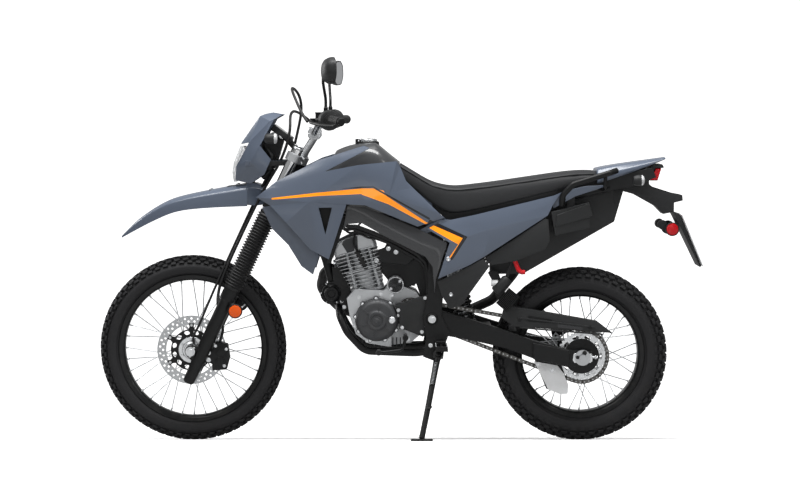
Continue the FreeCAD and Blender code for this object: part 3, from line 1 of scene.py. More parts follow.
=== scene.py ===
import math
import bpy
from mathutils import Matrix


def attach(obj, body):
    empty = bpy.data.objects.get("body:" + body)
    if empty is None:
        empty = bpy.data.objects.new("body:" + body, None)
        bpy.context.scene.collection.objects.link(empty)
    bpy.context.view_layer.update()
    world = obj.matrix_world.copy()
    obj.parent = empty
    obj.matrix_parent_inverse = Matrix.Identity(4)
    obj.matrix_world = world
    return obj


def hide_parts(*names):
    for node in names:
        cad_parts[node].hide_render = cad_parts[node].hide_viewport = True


bl_info = {
    "name": "Dual sport motorcycle",
    "version": (1, 0, 0),
    "blender": (4, 5, 0),
    "location": "View3D > Sidebar > Motorcycle",
    "description": "Dresses the motorcycle's solid model piece by piece, and sets its studio and camera",
    "category": "Object",
}

import bmesh
import bpy
from mathutils import Matrix, Vector
from mathutils.bvhtree import BVHTree

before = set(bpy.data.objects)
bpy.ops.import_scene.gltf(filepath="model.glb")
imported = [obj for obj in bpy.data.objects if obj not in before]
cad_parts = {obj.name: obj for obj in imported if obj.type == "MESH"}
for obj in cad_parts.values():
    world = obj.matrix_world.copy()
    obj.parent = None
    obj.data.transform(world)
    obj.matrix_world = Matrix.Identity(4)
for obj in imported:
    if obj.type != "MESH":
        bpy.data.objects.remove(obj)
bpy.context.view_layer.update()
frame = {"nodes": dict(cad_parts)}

# Everything is drawn upright, in millimetres, with +X to the rear, +Y to the machine's right and the floor
# at height 0, and then leans onto its side stand.
LEAN = math.radians(9.0)
STAND = Matrix.Translation((0.002, 0.1842, 0)) @ Matrix.Rotation(LEAN, 4, "X") @ Matrix.Scale(0.001, 4)
UPRIGHT = STAND.inverted()

RAKE = math.radians(25.4)
FRONT_AXLE = Vector((-770, 0, 301 + 45 / math.cos(LEAN)))
REAR_AXLE = Vector((670, 0, 264 + 60 / math.cos(LEAN)))
UP = Vector((math.sin(RAKE), 0, math.cos(RAKE)))
BACK = Vector((math.cos(RAKE), 0, -math.sin(RAKE)))
FORK_FOOT = FRONT_AXLE + BACK * 40
STEER_FOOT = FORK_FOOT + BACK * 28
ACROSS = Vector((0, 1, 0))
ORIGIN = Vector((0, 0, 0))
VERTICAL = Vector((0, 0, 1))
REARWARD = Vector((1, 0, 0))

CRANK = Vector((-85, 0, 462))
# From the middle to each fork leg
SPAN = 98.0

# Radius over the tread, radius of the crown, and the rim's bead radius and half width
FRONT_RADIUS, FRONT_CROWN, FRONT_BEAD, FRONT_HALF = 346, 45, 266.7, 27
REAR_RADIUS, REAR_CROWN, REAR_BEAD, REAR_HALF = 324, 60, 228.6, 38
TREAD_DEPTH = 9
RIM_DEPTH = 13.5
SPOKES = 36

# The chain: its two sprockets, its links and its place to the left of the middle
FRONT_SPROCKET = Vector((37, 0, 502))
FRONT_TEETH, REAR_TEETH = 13, 38
LINKS, PITCH = 108, 15.875
CHAIN_Y = 75.0


def on_fork(along, across=0.0, back=0.0):
    """A point by its distance up the fork, to the right and behind the legs."""
    return FORK_FOOT + UP * along + BACK * back + Vector((0, across, 0))


def on_steering(along, across=0.0, back=0.0):
    """A point by its distance up the steering axis, to the right and behind it."""
    return STEER_FOOT + UP * along + BACK * back + Vector((0, across, 0))


def outward(angle):
    """The way from a wheel's axle to its rim, at an angle from the top."""
    return Vector((math.sin(angle), 0, math.cos(angle)))


def onward(angle):
    """The way along a wheel's rim there."""
    return Vector((math.cos(angle), 0, -math.sin(angle)))


# Meshes


# Degrees of a bend for each of its straight runs, and runs in a slab's round corner
ARC_STEP = 12.0
CORNER_STEPS = 5


def new_object(name, mesh):
    """An object of the scene that holds a mesh."""
    obj = bpy.data.objects.new(name, mesh)
    bpy.context.scene.collection.objects.link(obj)
    return obj


def settle(bm, name, material, body, nodes=(), bevel=0.0, crease=30.0, subdivide=0, segments=2):
    """Stands an upright mesh on its stand as a finished piece of the object."""
    bmesh.ops.remove_doubles(bm, verts=bm.verts, dist=0.02)
    bmesh.ops.recalc_face_normals(bm, faces=bm.faces)
    bm.transform(STAND)
    mesh = bpy.data.meshes.new(name)
    bm.to_mesh(mesh)
    bm.free()
    mesh.materials.append(bpy.data.materials[material])
    mesh.shade_smooth()
    if bevel == 0 and subdivide == 0:
        mesh.set_sharp_from_angle(angle=math.radians(crease))
    obj = new_object(name, mesh)
    if bevel:
        mod = obj.modifiers.new("edges", "BEVEL")
        mod.width = bevel * 0.001
        mod.segments = segments
        mod.limit_method = "ANGLE"
        mod.angle_limit = math.radians(crease)
        mod.harden_normals = True
        mod.use_clamp_overlap = True
    if subdivide:
        mod = obj.modifiers.new("smooth", "SUBSURF")
        mod.levels = subdivide
        mod.render_levels = subdivide
    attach(obj, body)
    if nodes:
        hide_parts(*nodes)
    return obj


def ring_mesh(rings, loop=False):
    """Quads over successive rings of points with the same count."""
    bm = bmesh.new()
    made = [[bm.verts.new(p) for p in ring] for ring in rings]
    if loop:
        made.append(made[0])
    for one, two in zip(made, made[1:]):
        for k in range(len(one)):
            corners = [one[k - 1], one[k], two[k], two[k - 1]]
            if len(set(corners)) == 4:
                bm.faces.new(corners)
    if not loop:
        bm.faces.new(made[0][::-1])
        bm.faces.new(made[-1])
    return bm


def frame_of(axis):
    """Two directions square to an axis."""
    axis = axis.normalized()
    level = ACROSS if abs(axis.y) < 0.9 else REARWARD
    level = (level - axis * level.dot(axis)).normalized()
    return level, axis.cross(level)


def turned(profile, foot, axis, sides=48, loop=False):
    """A surface turned about an axis from (along, radius) points. A radius of 0 closes an end."""
    axis = axis.normalized()
    level, up = frame_of(axis)
    rings = []
    for along, radius in profile:
        radius = max(radius, 0.01)
        rings.append([foot + axis * along + (level * math.cos(2 * math.pi * k / sides)
                                             + up * math.sin(2 * math.pi * k / sides)) * radius
                      for k in range(sides)])
    return ring_mesh(rings, loop=loop)


def joined(*meshes):
    """One mesh from several."""
    whole = meshes[0]
    for other in meshes[1:]:
        mesh = bpy.data.meshes.new("part")
        other.to_mesh(mesh)
        other.free()
        whole.from_mesh(mesh)
        bpy.data.meshes.remove(mesh)
    return whole


def mirrored(bm):
    """A mesh with its mirror image on the other side."""
    twin = bm.copy()
    bmesh.ops.scale(twin, vec=(1, -1, 1), verts=twin.verts)
    bmesh.ops.reverse_faces(twin, faces=twin.faces)
    return joined(bm, twin)


def prism(outline, low_y, high_y, at=ORIGIN):
    """A flat outline of (x, z) points about a point, as thick as from low_y to high_y."""
    return ring_mesh([[at + Vector((x, y, z)) for x, z in outline] for y in (low_y, high_y)])


def pillar(outline, low_z, high_z):
    """A flat outline of (x, y) points, as high as from low_z to high_z."""
    return ring_mesh([[Vector((x, y, z)) for x, y in outline] for z in (low_z, high_z)])


def wheel_prism(at, angle, outline, half):
    """A prism across a wheel from (radius, along the rim) points, as thick as half to each side."""
    out, wise = outward(angle), onward(angle)
    return ring_mesh([[at + out * r + wise * w + ACROSS * y for r, w in outline] for y in (-half, half)])


def block(low, high):
    """A box between two corners."""
    corners = [(low[0], low[2]), (high[0], low[2]), (high[0], high[2]), (low[0], high[2])]
    return prism(corners, low[1], high[1])


def rounded_path(points, bend):
    """Straight runs joined by arcs, as a chain of points."""
    points = [Vector(p) for p in points]
    line = [points[0]]
    for before, corner, after in zip(points, points[1:], points[2:]):
        back = (before - corner).normalized()
        ahead = (after - corner).normalized()
        turn = math.pi - back.angle(ahead)
        if turn < 0.03:
            continue
        reach = min(bend * math.tan(turn / 2), 0.48 * (before - corner).length,
                    0.48 * (after - corner).length)
        radius = reach / math.tan(turn / 2)
        middle = (back + ahead).normalized()
        centre = corner + middle * (radius / math.cos(turn / 2))
        first, last = corner + back * reach - centre, corner + ahead * reach - centre
        count = max(2, math.ceil(math.degrees(turn) / ARC_STEP))
        for k in range(count + 1):
            share = k / count
            blend = first * math.sin((1 - share) * turn) + last * math.sin(share * turn)
            line.append(centre + blend / math.sin(turn))
    line.append(points[-1])
    return line


def swept(line, radius, sides=16):
    """A round tube along a chain of points. radius is a number, or one for each point."""
    ahead = (line[1] - line[0]).normalized()
    level, up = frame_of(ahead)
    angles = [2 * math.pi * i / sides for i in range(sides)]
    rings = []
    for k, here in enumerate(line):
        before = (here - line[k - 1]).normalized() if k else ahead
        after = (line[k + 1] - here).normalized() if k + 1 < len(line) else before
        along = (before + after).normalized()
        turn = ahead.rotation_difference(along)
        level, up, ahead = turn @ level, turn @ up, along
        r = radius if isinstance(radius, (int, float)) else radius[k]
        rings.append([here + (level * math.cos(a) + up * math.sin(a)) * r for a in angles])
    return ring_mesh(rings)


def pipe(points, radius, bend, sides=16):
    """A round tube through points, with its bends rounded."""
    return swept(rounded_path(points, bend), radius, sides)


def bar(start, end, radius, sides=24):
    """A round bar with softly broken ends."""
    start, end = Vector(start), Vector(end)
    length = (end - start).length
    edge = min(1.2, radius * 0.3, length * 0.3)
    return turned([(0, 0), (0, radius - edge), (edge, radius), (length - edge, radius),
                   (length, radius - edge), (length, 0)], start, end - start, sides)


def hexagon(radius, height):
    """A hexagon head with a washer under it."""
    head = turned([(0, 0), (0, radius), (height * 0.85, radius), (height, radius * 0.86), (height, 0)],
                  VERTICAL * 1.2, VERTICAL, 6)
    washer = turned([(0, 0), (0, radius * 1.35), (1.4, radius * 1.35), (1.4, 0)], ORIGIN, VERTICAL, 20)
    return joined(head, washer)


def cad_copy(node):
    """A CAD node's mesh, upright and merged, so that a finer piece can be made from it."""
    bm = bmesh.new()
    bm.from_mesh(frame["nodes"][node].data)
    bm.transform(frame["nodes"][node].matrix_world)
    bm.transform(UPRIGHT)
    bmesh.ops.remove_doubles(bm, verts=bm.verts, dist=0.1)
    bmesh.ops.dissolve_limit(bm, angle_limit=math.radians(1.0), verts=bm.verts, edges=bm.edges)
    return bm


# Repeats


def repeat_tree(name, material):
    """A tree that sets a unit at every point, turned and stretched as the point's attributes say."""
    tree = bpy.data.node_groups.new(name, "GeometryNodeTree")
    face = tree.interface
    face.new_socket("Geometry", in_out="INPUT", socket_type="NodeSocketGeometry")
    face.new_socket("Unit", in_out="INPUT", socket_type="NodeSocketObject")
    scale_in = face.new_socket("Size", in_out="INPUT", socket_type="NodeSocketFloat")
    scale_in.default_value = 1.0
    finish_in = face.new_socket("Finish", in_out="INPUT", socket_type="NodeSocketMaterial")
    finish_in.default_value = bpy.data.materials[material]
    face.new_socket("Geometry", in_out="OUTPUT", socket_type="NodeSocketGeometry")
    nodes, links = tree.nodes, tree.links
    start = nodes.new("NodeGroupInput")
    end = nodes.new("NodeGroupOutput")
    info = nodes.new("GeometryNodeObjectInfo")
    turn = nodes.new("GeometryNodeInputNamedAttribute")
    turn.data_type = "QUATERNION"
    turn.inputs["Name"].default_value = "turn"
    stretch = nodes.new("GeometryNodeInputNamedAttribute")
    stretch.data_type = "FLOAT_VECTOR"
    stretch.inputs["Name"].default_value = "stretch"
    sized = nodes.new("ShaderNodeVectorMath")
    sized.operation = "SCALE"
    place = nodes.new("GeometryNodeInstanceOnPoints")
    real = nodes.new("GeometryNodeRealizeInstances")
    paint = nodes.new("GeometryNodeSetMaterial")
    links.new(start.outputs["Unit"], info.inputs["Object"])
    links.new(start.outputs["Geometry"], place.inputs["Points"])
    links.new(info.outputs["Geometry"], place.inputs["Instance"])
    links.new(turn.outputs["Attribute"], place.inputs["Rotation"])
    links.new(stretch.outputs["Attribute"], sized.inputs[0])
    links.new(start.outputs["Size"], sized.inputs["Scale"])
    links.new(sized.outputs["Vector"], place.inputs["Scale"])
    links.new(place.outputs["Instances"], real.inputs["Geometry"])
    links.new(real.outputs["Geometry"], paint.inputs["Geometry"])
    links.new(start.outputs["Finish"], paint.inputs["Material"])
    links.new(paint.outputs["Geometry"], end.inputs["Geometry"])
    return tree


def plain_mesh(obj):
    """The mesh of an object with its modifiers worked out."""
    graph = bpy.context.evaluated_depsgraph_get()
    graph.update()
    return bpy.data.meshes.new_from_object(obj.evaluated_get(graph))


def repeated(name, unit, spots, material, body, nodes=(), crease=35.0):
    """The unit mesh, set at each (point, z direction, x direction, stretch) of spots by Geometry Nodes."""
    unit_mesh = bpy.data.meshes.new(name + "_unit")
    bmesh.ops.recalc_face_normals(unit, faces=unit.faces)
    unit.to_mesh(unit_mesh)
    unit.free()
    unit_mesh.shade_smooth()
    unit_mesh.set_sharp_from_angle(angle=math.radians(crease))
    holder = new_object(name + "_unit", unit_mesh)
    points = bpy.data.meshes.new(name)
    points.from_pydata([Vector(spot[0]) for spot in spots], [], [])
    points.attributes.new("turn", "QUATERNION", "POINT")
    points.attributes.new("stretch", "FLOAT_VECTOR", "POINT")
    turn, stretch = points.attributes["turn"], points.attributes["stretch"]
    for k, (_, z_dir, x_dir, size) in enumerate(spots):
        z = Vector(z_dir).normalized()
        x = Vector(x_dir) - z * Vector(x_dir).dot(z)
        x = x.normalized() if x.length > 1e-6 else frame_of(z)[0]
        y = z.cross(x)
        turn.data[k].value = Matrix((x, y, z)).transposed().to_quaternion()
        stretch.data[k].vector = size if hasattr(size, "__len__") else (size, size, size)
    obj = new_object(name, points)
    tree = repeat_tree(name, material)
    mod = obj.modifiers.new("repeat", "NODES")
    mod.node_group = tree
    for item in tree.interface.items_tree:
        if item.in_out == "INPUT" and item.name == "Unit":
            mod[item.identifier] = holder
        if item.in_out == "INPUT" and item.name == "Finish":
            mod[item.identifier] = bpy.data.materials[material]
    mesh = plain_mesh(obj)
    obj.modifiers.remove(mod)
    mesh.transform(STAND)
    mesh.name = name
    if not mesh.materials:
        mesh.materials.append(bpy.data.materials[material])
    old = obj.data
    obj.data = mesh
    bpy.data.meshes.remove(old)
    bpy.data.objects.remove(holder)
    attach(obj, body)
    if nodes:
        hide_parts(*nodes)
    return obj


# Finishes


def group_of(name, inputs, outputs):
    """An empty shader group with its sockets."""
    tree = bpy.data.node_groups.new(name, "ShaderNodeTree")
    kinds = {"color": "NodeSocketColor", "value": "NodeSocketFloat", "vector": "NodeSocketVector"}
    for label, kind, default in inputs:
        socket = tree.interface.new_socket(label, in_out="INPUT", socket_type=kinds[kind])
        if default is not None:
            socket.default_value = default
    for label, kind in outputs:
        tree.interface.new_socket(label, in_out="OUTPUT", socket_type=kinds[kind])
    return tree, tree.nodes.new("NodeGroupInput"), tree.nodes.new("NodeGroupOutput")


def noise(tree, place, scale, detail=3.0):
    """A noise node on a place socket, at a scale number or socket."""
    node = tree.nodes.new("ShaderNodeTexNoise")
    node.inputs["Detail"].default_value = detail
    tree.links.new(place, node.inputs["Vector"])
    if isinstance(scale, (int, float)):
        node.inputs["Scale"].default_value = scale
    else:
        tree.links.new(scale, node.inputs["Scale"])
    return node.outputs["Fac"]


def spread(tree, value, low, high, to_low=0.0, to_high=1.0):
    """A value stretched from low..high to to_low..to_high."""
    node = tree.nodes.new("ShaderNodeMapRange")
    for label, number in (("From Min", low), ("From Max", high), ("To Min", to_low), ("To Max", to_high)):
        if isinstance(number, (int, float)):
            node.inputs[label].default_value = number
        else:
            tree.links.new(number, node.inputs[label])
    tree.links.new(value, node.inputs["Value"])
    return node.outputs["Result"]


def sums(tree, operation, one, two):
    """Arithmetic on two numbers or sockets."""
    node = tree.nodes.new("ShaderNodeMath")
    node.operation = operation
    for socket, number in zip(node.inputs, (one, two)):
        if isinstance(number, (int, float)):
            socket.default_value = number
        else:
            tree.links.new(number, socket)
    return node.outputs[0]


def mixed(tree, factor, one, two):
    """Two colours mixed by a factor, each a value or a socket."""
    node = tree.nodes.new("ShaderNodeMix")
    node.data_type = "RGBA"
    for label, value in (("Factor", factor), ("A", one), ("B", two)):
        kind = "VALUE" if label == "Factor" else "RGBA"
        socket = next(s for s in node.inputs if s.name == label and s.type == kind)
        if isinstance(value, (int, float, tuple)):
            socket.default_value = value
        else:
            tree.links.new(value, socket)
    return next(s for s in node.outputs if s.type == "RGBA")


def surface_group():
    """Slow changes of colour and gloss over a surface, a fine grain, and dust low down."""
    tree, start, end = group_of("surface", (
        ("Place", "vector", None), ("Color", "color", (0.5, 0.5, 0.5, 1)), ("Mottle", "value", 0.08),
        ("Patch Scale", "value", 9.0), ("Grain Scale", "value", 600.0), ("Roughness", "value", 0.4),
        ("Roughness Spread", "value", 0.08), ("Dust", "value", 0.1)),
        (("Color", "color"), ("Roughness", "value"), ("Height", "value")))
    place = start.outputs["Place"]
    patch = noise(tree, place, start.outputs["Patch Scale"], 4.0)
    fine = noise(tree, place, start.outputs["Grain Scale"], 2.0)
    both = sums(tree, "ADD", sums(tree, "MULTIPLY", patch, 0.7), sums(tree, "MULTIPLY", fine, 0.3))
    swing = sums(tree, "MULTIPLY", sums(tree, "SUBTRACT", both, 0.5), start.outputs["Mottle"])
    bright = sums(tree, "ADD", sums(tree, "MULTIPLY", swing, 2.0), 1.0)
    tint = tree.nodes.new("ShaderNodeVectorMath")
    tint.operation = "SCALE"
    tree.links.new(start.outputs["Color"], tint.inputs[0])
    tree.links.new(bright, tint.inputs["Scale"])
    split = tree.nodes.new("ShaderNodeSeparateXYZ")
    tree.links.new(place, split.inputs[0])
    low = spread(tree, split.outputs["Z"], 0.62, 0.02)
    clouds = spread(tree, noise(tree, place, 30.0, 5.0), 0.42, 0.72)
    dust = sums(tree, "MULTIPLY", sums(tree, "MULTIPLY", low, clouds), start.outputs["Dust"])
    tree.links.new(mixed(tree, dust, tint.outputs[0], (0.30, 0.27, 0.23, 1)), end.inputs["Color"])
    gloss = sums(tree, "MULTIPLY", sums(tree, "SUBTRACT", patch, 0.5), start.outputs["Roughness Spread"])
    rough = sums(tree, "ADD", sums(tree, "MULTIPLY", gloss, 2.0), start.outputs["Roughness"])
    tree.links.new(sums(tree, "ADD", rough, sums(tree, "MULTIPLY", dust, 0.4)), end.inputs["Roughness"])
    tree.links.new(fine, end.inputs["Height"])
    return tree


def wear_group():
    """A mask for scuffs: short scratches gathered in patches."""
    tree, start, end = group_of("scuffs", (("Place", "vector", None), ("Amount", "value", 0.3)),
                                (("Mask", "value"),))
    place = start.outputs["Place"]
    lines = tree.nodes.new("ShaderNodeTexVoronoi")
    lines.feature = "DISTANCE_TO_EDGE"
    lines.inputs["Scale"].default_value = 55.0
    tree.links.new(place, lines.inputs["Vector"])
    thin = spread(tree, lines.outputs["Distance"], 0.02, 0.0)
    patch = spread(tree, noise(tree, place, 7.0, 3.0), 0.5, 0.75)
    broken = spread(tree, noise(tree, place, 90.0, 2.0), 0.5, 0.6)
    mask = sums(tree, "MULTIPLY", sums(tree, "MULTIPLY", thin, patch), broken)
    tree.links.new(sums(tree, "MULTIPLY", mask, start.outputs["Amount"]), end.inputs["Mask"])
    return tree


def weave_group():
    """The small pebbles of vinyl, as a height, and a mask of the hollows between them, where shade is
    painted.
    """
    tree, start, end = group_of("pebbles", (("Place", "vector", None), ("Scale", "value", 420.0)),
                                (("Height", "value"), ("Hollow Shade", "value")))
    cells = tree.nodes.new("ShaderNodeTexVoronoi")
    cells.feature = "DISTANCE_TO_EDGE"
    tree.links.new(start.outputs["Place"], cells.inputs["Vector"])
    tree.links.new(start.outputs["Scale"], cells.inputs["Scale"])
    tree.links.new(spread(tree, cells.outputs["Distance"], 0.0, 0.35), end.inputs["Height"])
    tree.links.new(spread(tree, cells.outputs["Distance"], 0.12, 0.0), end.inputs["Hollow Shade"])
    return tree


GROUPS = {}


def finish_of(name, color, rough=0.45, metallic=0.0, mottle=0.08, patch=9.0, grain=600.0, bump=0.04,
              depth=0.0006, dust=0.12, scuffs=0.0, scuff_color=(0.5, 0.5, 0.5, 1), coat=0.0,
              pebbles=0.0, coat_rough=0.08, specular=0.34, glow=0.0):
    """A material whose colour, gloss and grain come from the shared groups."""
    material = bpy.data.materials.new(name)
    material.use_nodes = True
    material.diffuse_color = (*color, 1)
    tree = material.node_tree
    tree.nodes.clear()
    out = tree.nodes.new("ShaderNodeOutputMaterial")
    shader = tree.nodes.new("ShaderNodeBsdfPrincipled")
    place = tree.nodes.new("ShaderNodeTexCoord").outputs["Object"]
    surface = tree.nodes.new("ShaderNodeGroup")
    surface.node_tree = GROUPS["surface"]
    for label, value in (("Color", (*color, 1)), ("Mottle", mottle), ("Patch Scale", patch),
                         ("Grain Scale", grain), ("Roughness", rough), ("Roughness Spread", 0.06),
                         ("Dust", dust)):
        surface.inputs[label].default_value = value
    tree.links.new(place, surface.inputs["Place"])
    paint = surface.outputs["Color"]
    height = surface.outputs["Height"]
    if scuffs:
        marks = tree.nodes.new("ShaderNodeGroup")
        marks.node_tree = GROUPS["scuffs"]
        marks.inputs["Amount"].default_value = scuffs
        tree.links.new(place, marks.inputs["Place"])
        paint = mixed(tree, marks.outputs["Mask"], paint, scuff_color)
    if pebbles:
        cells = tree.nodes.new("ShaderNodeGroup")
        cells.node_tree = GROUPS["pebbles"]
        cells.inputs["Scale"].default_value = pebbles
        tree.links.new(place, cells.inputs["Place"])
        # Painted shade: the hollows between the vinyl's pebbles are darkened towards black.
        paint = mixed(tree, sums(tree, "MULTIPLY", cells.outputs["Hollow Shade"], 0.35), paint,
                      (0.004, 0.004, 0.004, 1))
        height = cells.outputs["Height"]
    relief = tree.nodes.new("ShaderNodeBump")
    relief.inputs["Strength"].default_value = min(1.0, bump * 8)
    relief.inputs["Distance"].default_value = depth
    tree.links.new(height, relief.inputs["Height"])
    tree.links.new(paint, shader.inputs["Base Color"])
    tree.links.new(surface.outputs["Roughness"], shader.inputs["Roughness"])
    tree.links.new(relief.outputs["Normal"], shader.inputs["Normal"])
    shader.inputs["Metallic"].default_value = metallic
    shader.inputs["Specular IOR Level"].default_value = specular
    shader.inputs["Coat Weight"].default_value = coat
    shader.inputs["Coat Roughness"].default_value = coat_rough
    shader.inputs["Emission Color"].default_value = (*color, 1)
    shader.inputs["Emission Strength"].default_value = glow
    tree.links.new(shader.outputs[0], out.inputs[0])
    return material


def glass_of(name, color, rough, tint_through=1.0):
    """A clear or coloured lens with a faint moulded pattern."""
    material = finish_of(name, color, rough, mottle=0.02, dust=0.0, bump=0.02)
    shader = next(n for n in material.node_tree.nodes if n.type == "BSDF_PRINCIPLED")
    shader.inputs["Transmission Weight"].default_value = tint_through
    shader.inputs["IOR"].default_value = 1.49
    return material


def linear(hexes):
    """A linear colour from the sRGB numbers a maker would write."""
    out = []
    for k in (0, 2, 4):
        c = int(hexes[k:k + 2], 16) / 255
        out.append(c / 12.92 if c <= 0.04045 else ((c + 0.055) / 1.055) ** 2.4)
    return tuple(out)


PAINT = "slate_paint"
GRAPHITE = "graphite_gloss"
TANK = "tank_graphite"
TEXTURED = "moulded_black"
DARK_PLASTIC = "under_black"
ORANGE_SELF_LIT = "stripe_orange"
STRIPE = "stripe_black"
TYRE = "tyre_rubber"
RUBBER = "soft_rubber"
POWDER = "powder_black"
RIM_BLACK = "rim_black"
BRIGHT = "bright_aluminium"
CHROME = "hard_chrome"
CAST = "cast_aluminium"
ENGINE_BLACK = "engine_charcoal"
STEEL = "brushed_steel"
SPOKE = "spoke_steel"
CHAIN_STEEL = "roller_steel"
CHAIN_PLATE = "chain_plates"
BOLT = "zinc_bolt"
VINYL = "seat_vinyl"
RED_PLASTIC = "red_cap"
ORANGE_LENS = "orange_lens"
RED_LENS = "red_lens"
CLEAR_LENS = "clear_lens"
MIRROR = "mirror_glass"
REFLECTOR = "lamp_bowl"
PALE_PLATE = "pale_guide"
EXHAUST = "exhaust_black"
DIAL = "dial_glass"


def make_finishes(look):
    """Makes every material. The main colours come from the panel."""
    GROUPS.update(surface=surface_group(), scuffs=wear_group(), pebbles=weave_group())
    finish_of(PAINT, look.body, 0.34, mottle=0.05, patch=5.0, grain=1800.0, bump=0.008, coat=0.5,
              coat_rough=0.16, dust=0.05, scuffs=0.05, scuff_color=(0.25, 0.27, 0.30, 1))
    finish_of(GRAPHITE, look.trim, 0.3, mottle=0.05, bump=0.01, coat=0.3, dust=0.02)
    finish_of(TANK, linear("38393b"), 0.3, mottle=0.05, bump=0.01, coat=0.6, dust=0.02)
    finish_of(TEXTURED, look.moulded, 0.52, mottle=0.10, grain=1500.0, bump=0.05, depth=0.0004,
              dust=0.04, scuffs=0.16, scuff_color=(0.10, 0.10, 0.10, 1))
    finish_of(DARK_PLASTIC, linear("121314"), 0.58, mottle=0.10, bump=0.04, dust=0.02)
    # The stripe's orange glows a little: painted light, brighter than the lamps alone make it.
    finish_of(ORANGE_SELF_LIT, look.stripe, 0.33, glow=0.35, mottle=0.03, bump=0.006, coat=0.5, dust=0.02)
    finish_of(STRIPE, look.stripe_edge, 0.3, mottle=0.04, bump=0.006, coat=0.5, dust=0.02)
    finish_of(TYRE, look.tyre, 0.66, mottle=0.10, patch=14.0, grain=900.0, bump=0.05, dust=0.015)
    finish_of(RUBBER, linear("141415"), 0.55, mottle=0.12, grain=1200.0, bump=0.05, dust=0.015)
    finish_of(POWDER, look.frame, 0.42, mottle=0.08, grain=1600.0, bump=0.05, depth=0.0003,
              dust=0.01, scuffs=0.05, scuff_color=(0.12, 0.12, 0.12, 1), specular=0.25)
    finish_of(RIM_BLACK, look.rim, 0.3, 0.25, mottle=0.08, bump=0.02, dust=0.05)
    finish_of(BRIGHT, linear("c9cbcd"), 0.27, 1.0, mottle=0.06, grain=1400.0, bump=0.03, dust=0.06)
    finish_of(CHROME, linear("d9dadb"), 0.12, 1.0, mottle=0.03, bump=0.008, dust=0.02)
    finish_of(CAST, look.cylinder, 0.42, 0.85, mottle=0.14, patch=24.0, grain=900.0, bump=0.09,
              depth=0.0008, dust=0.1)
    finish_of(ENGINE_BLACK, look.engine, 0.46, 0.35, mottle=0.12, patch=20.0, grain=1000.0,
              bump=0.08, depth=0.0006, dust=0.12)
    finish_of(STEEL, linear("a9abad"), 0.3, 1.0, mottle=0.12, patch=30.0, grain=1200.0, bump=0.04,
              dust=0.08)
    finish_of(SPOKE, linear("d8dadc"), 0.3, 0.9, mottle=0.06, bump=0.01, dust=0.05)
    finish_of(CHAIN_STEEL, linear("2c2a28"), 0.45, 0.6, mottle=0.1, patch=60.0, bump=0.05, dust=0.0)
    finish_of(CHAIN_PLATE, linear("5d5c5a"), 0.42, 0.85, mottle=0.1, patch=60.0, bump=0.05, dust=0.0)
    finish_of(BOLT, linear("c4c6c8"), 0.3, 1.0, mottle=0.08, patch=40.0, bump=0.02, dust=0.05)
    finish_of(VINYL, look.seat, 0.55, mottle=0.06, bump=0.07, depth=0.0003, dust=0.03,
              pebbles=620.0)
    finish_of(RED_PLASTIC, linear("d81420"), 0.35, mottle=0.05, bump=0.02, dust=0.03)
    glass_of(ORANGE_LENS, linear("ff6200"), 0.14, 0.12)
    glass_of(RED_LENS, linear("d00716"), 0.14, 0.15)
    glass_of(CLEAR_LENS, (0.95, 0.96, 0.97), 0.04, 0.4)
    finish_of(MIRROR, (0.62, 0.64, 0.66), 0.03, 1.0, mottle=0.01, bump=0.0, dust=0.0)
    finish_of(REFLECTOR, (0.90, 0.90, 0.92), 0.14, 1.0, mottle=0.02, bump=0.01, dust=0.0)
    finish_of(PALE_PLATE, linear("f2f3f4"), 0.4, mottle=0.05, bump=0.03, dust=0.12)
    finish_of(EXHAUST, linear("1b1b1c"), 0.5, 0.3, mottle=0.14, patch=18.0, bump=0.06, dust=0.12)
    finish_of(DIAL, linear("0b0d10"), 0.1, mottle=0.03, bump=0.0, coat=1.0, dust=0.0)


def finish_list(obj, *materials):
    """Gives a piece further finishes, for faces that name them."""
    for material in materials:
        obj.data.materials.append(bpy.data.materials[material])


def screws(name, radius, height, spots, body, finish=BOLT):
    """Hexagon screws at the spots."""
    repeated(name, hexagon(radius, height), spots, finish, body)


# Wheels


def round_profile(points, steps=5):
    """A profile with its corners eased by a curve through the middles of its sides."""
    out = [points[0]]
    for a, b, c in zip(points, points[1:], points[2:]):
        a, b, c = Vector(a), Vector(b), Vector(c)
        first, last = b.lerp(a, 0.5), b.lerp(c, 0.5)
        for k in range(steps + 1):
            t = k / steps
            p = first.lerp(b, t).lerp(b.lerp(last, t), t)
            out.append((p.x, p.y))
    out.append(points[-1])
    return out


def tyre_carcass(radius, crown, bead, half_width):
    """(across, radius) points round a tyre's wall, with the tread's floor under its blocks."""
    floor = radius - TREAD_DEPTH
    middle = radius - crown
    lip = bead + 8.3
    seat = half_width - 3.8
    out = []
    for degrees in range(0, 62, 6):
        turn = math.radians(degrees)
        out.append(((crown - TREAD_DEPTH) * math.sin(turn), middle + (crown - TREAD_DEPTH) * math.cos(turn)))
    out += [(crown - 4.5, middle + 10), (crown - 2.6, middle + 2), (crown - 3.4, middle - 8),
            (crown - 6.0, middle - 17), (crown - 10.0, lip + 14), (seat + 4.5, lip + 7.5),
            (seat + 3.6, lip + 5), (seat + 1.2, lip + 3.4), (seat - 0.2, lip + 0.4), (seat - 0.6, lip - 3),
            (seat - 4.4, bead + 0.4), (seat - 9, bead + 0.4)]
    half = out + [(crown - 13, middle - 6), (crown * 0.5, floor - 8), (0, floor - 6)]
    return half + [(-y, r) for y, r in reversed(half[1:-1])]


def tread_block(long, wide, high):
    """One block of tread: its foot is sunk in the carcass, and its top edges are broken."""
    foot = [(-long, -wide), (long, -wide), (long, wide), (-long, wide)]
    return ring_mesh([
        [Vector((x, y, -3.5)) for x, y in foot],
        [Vector((x * 0.94, y * 0.95, high - 1.2)) for x, y in foot],
        [Vector((x * 0.82, y * 0.86, high)) for x, y in foot],
    ])


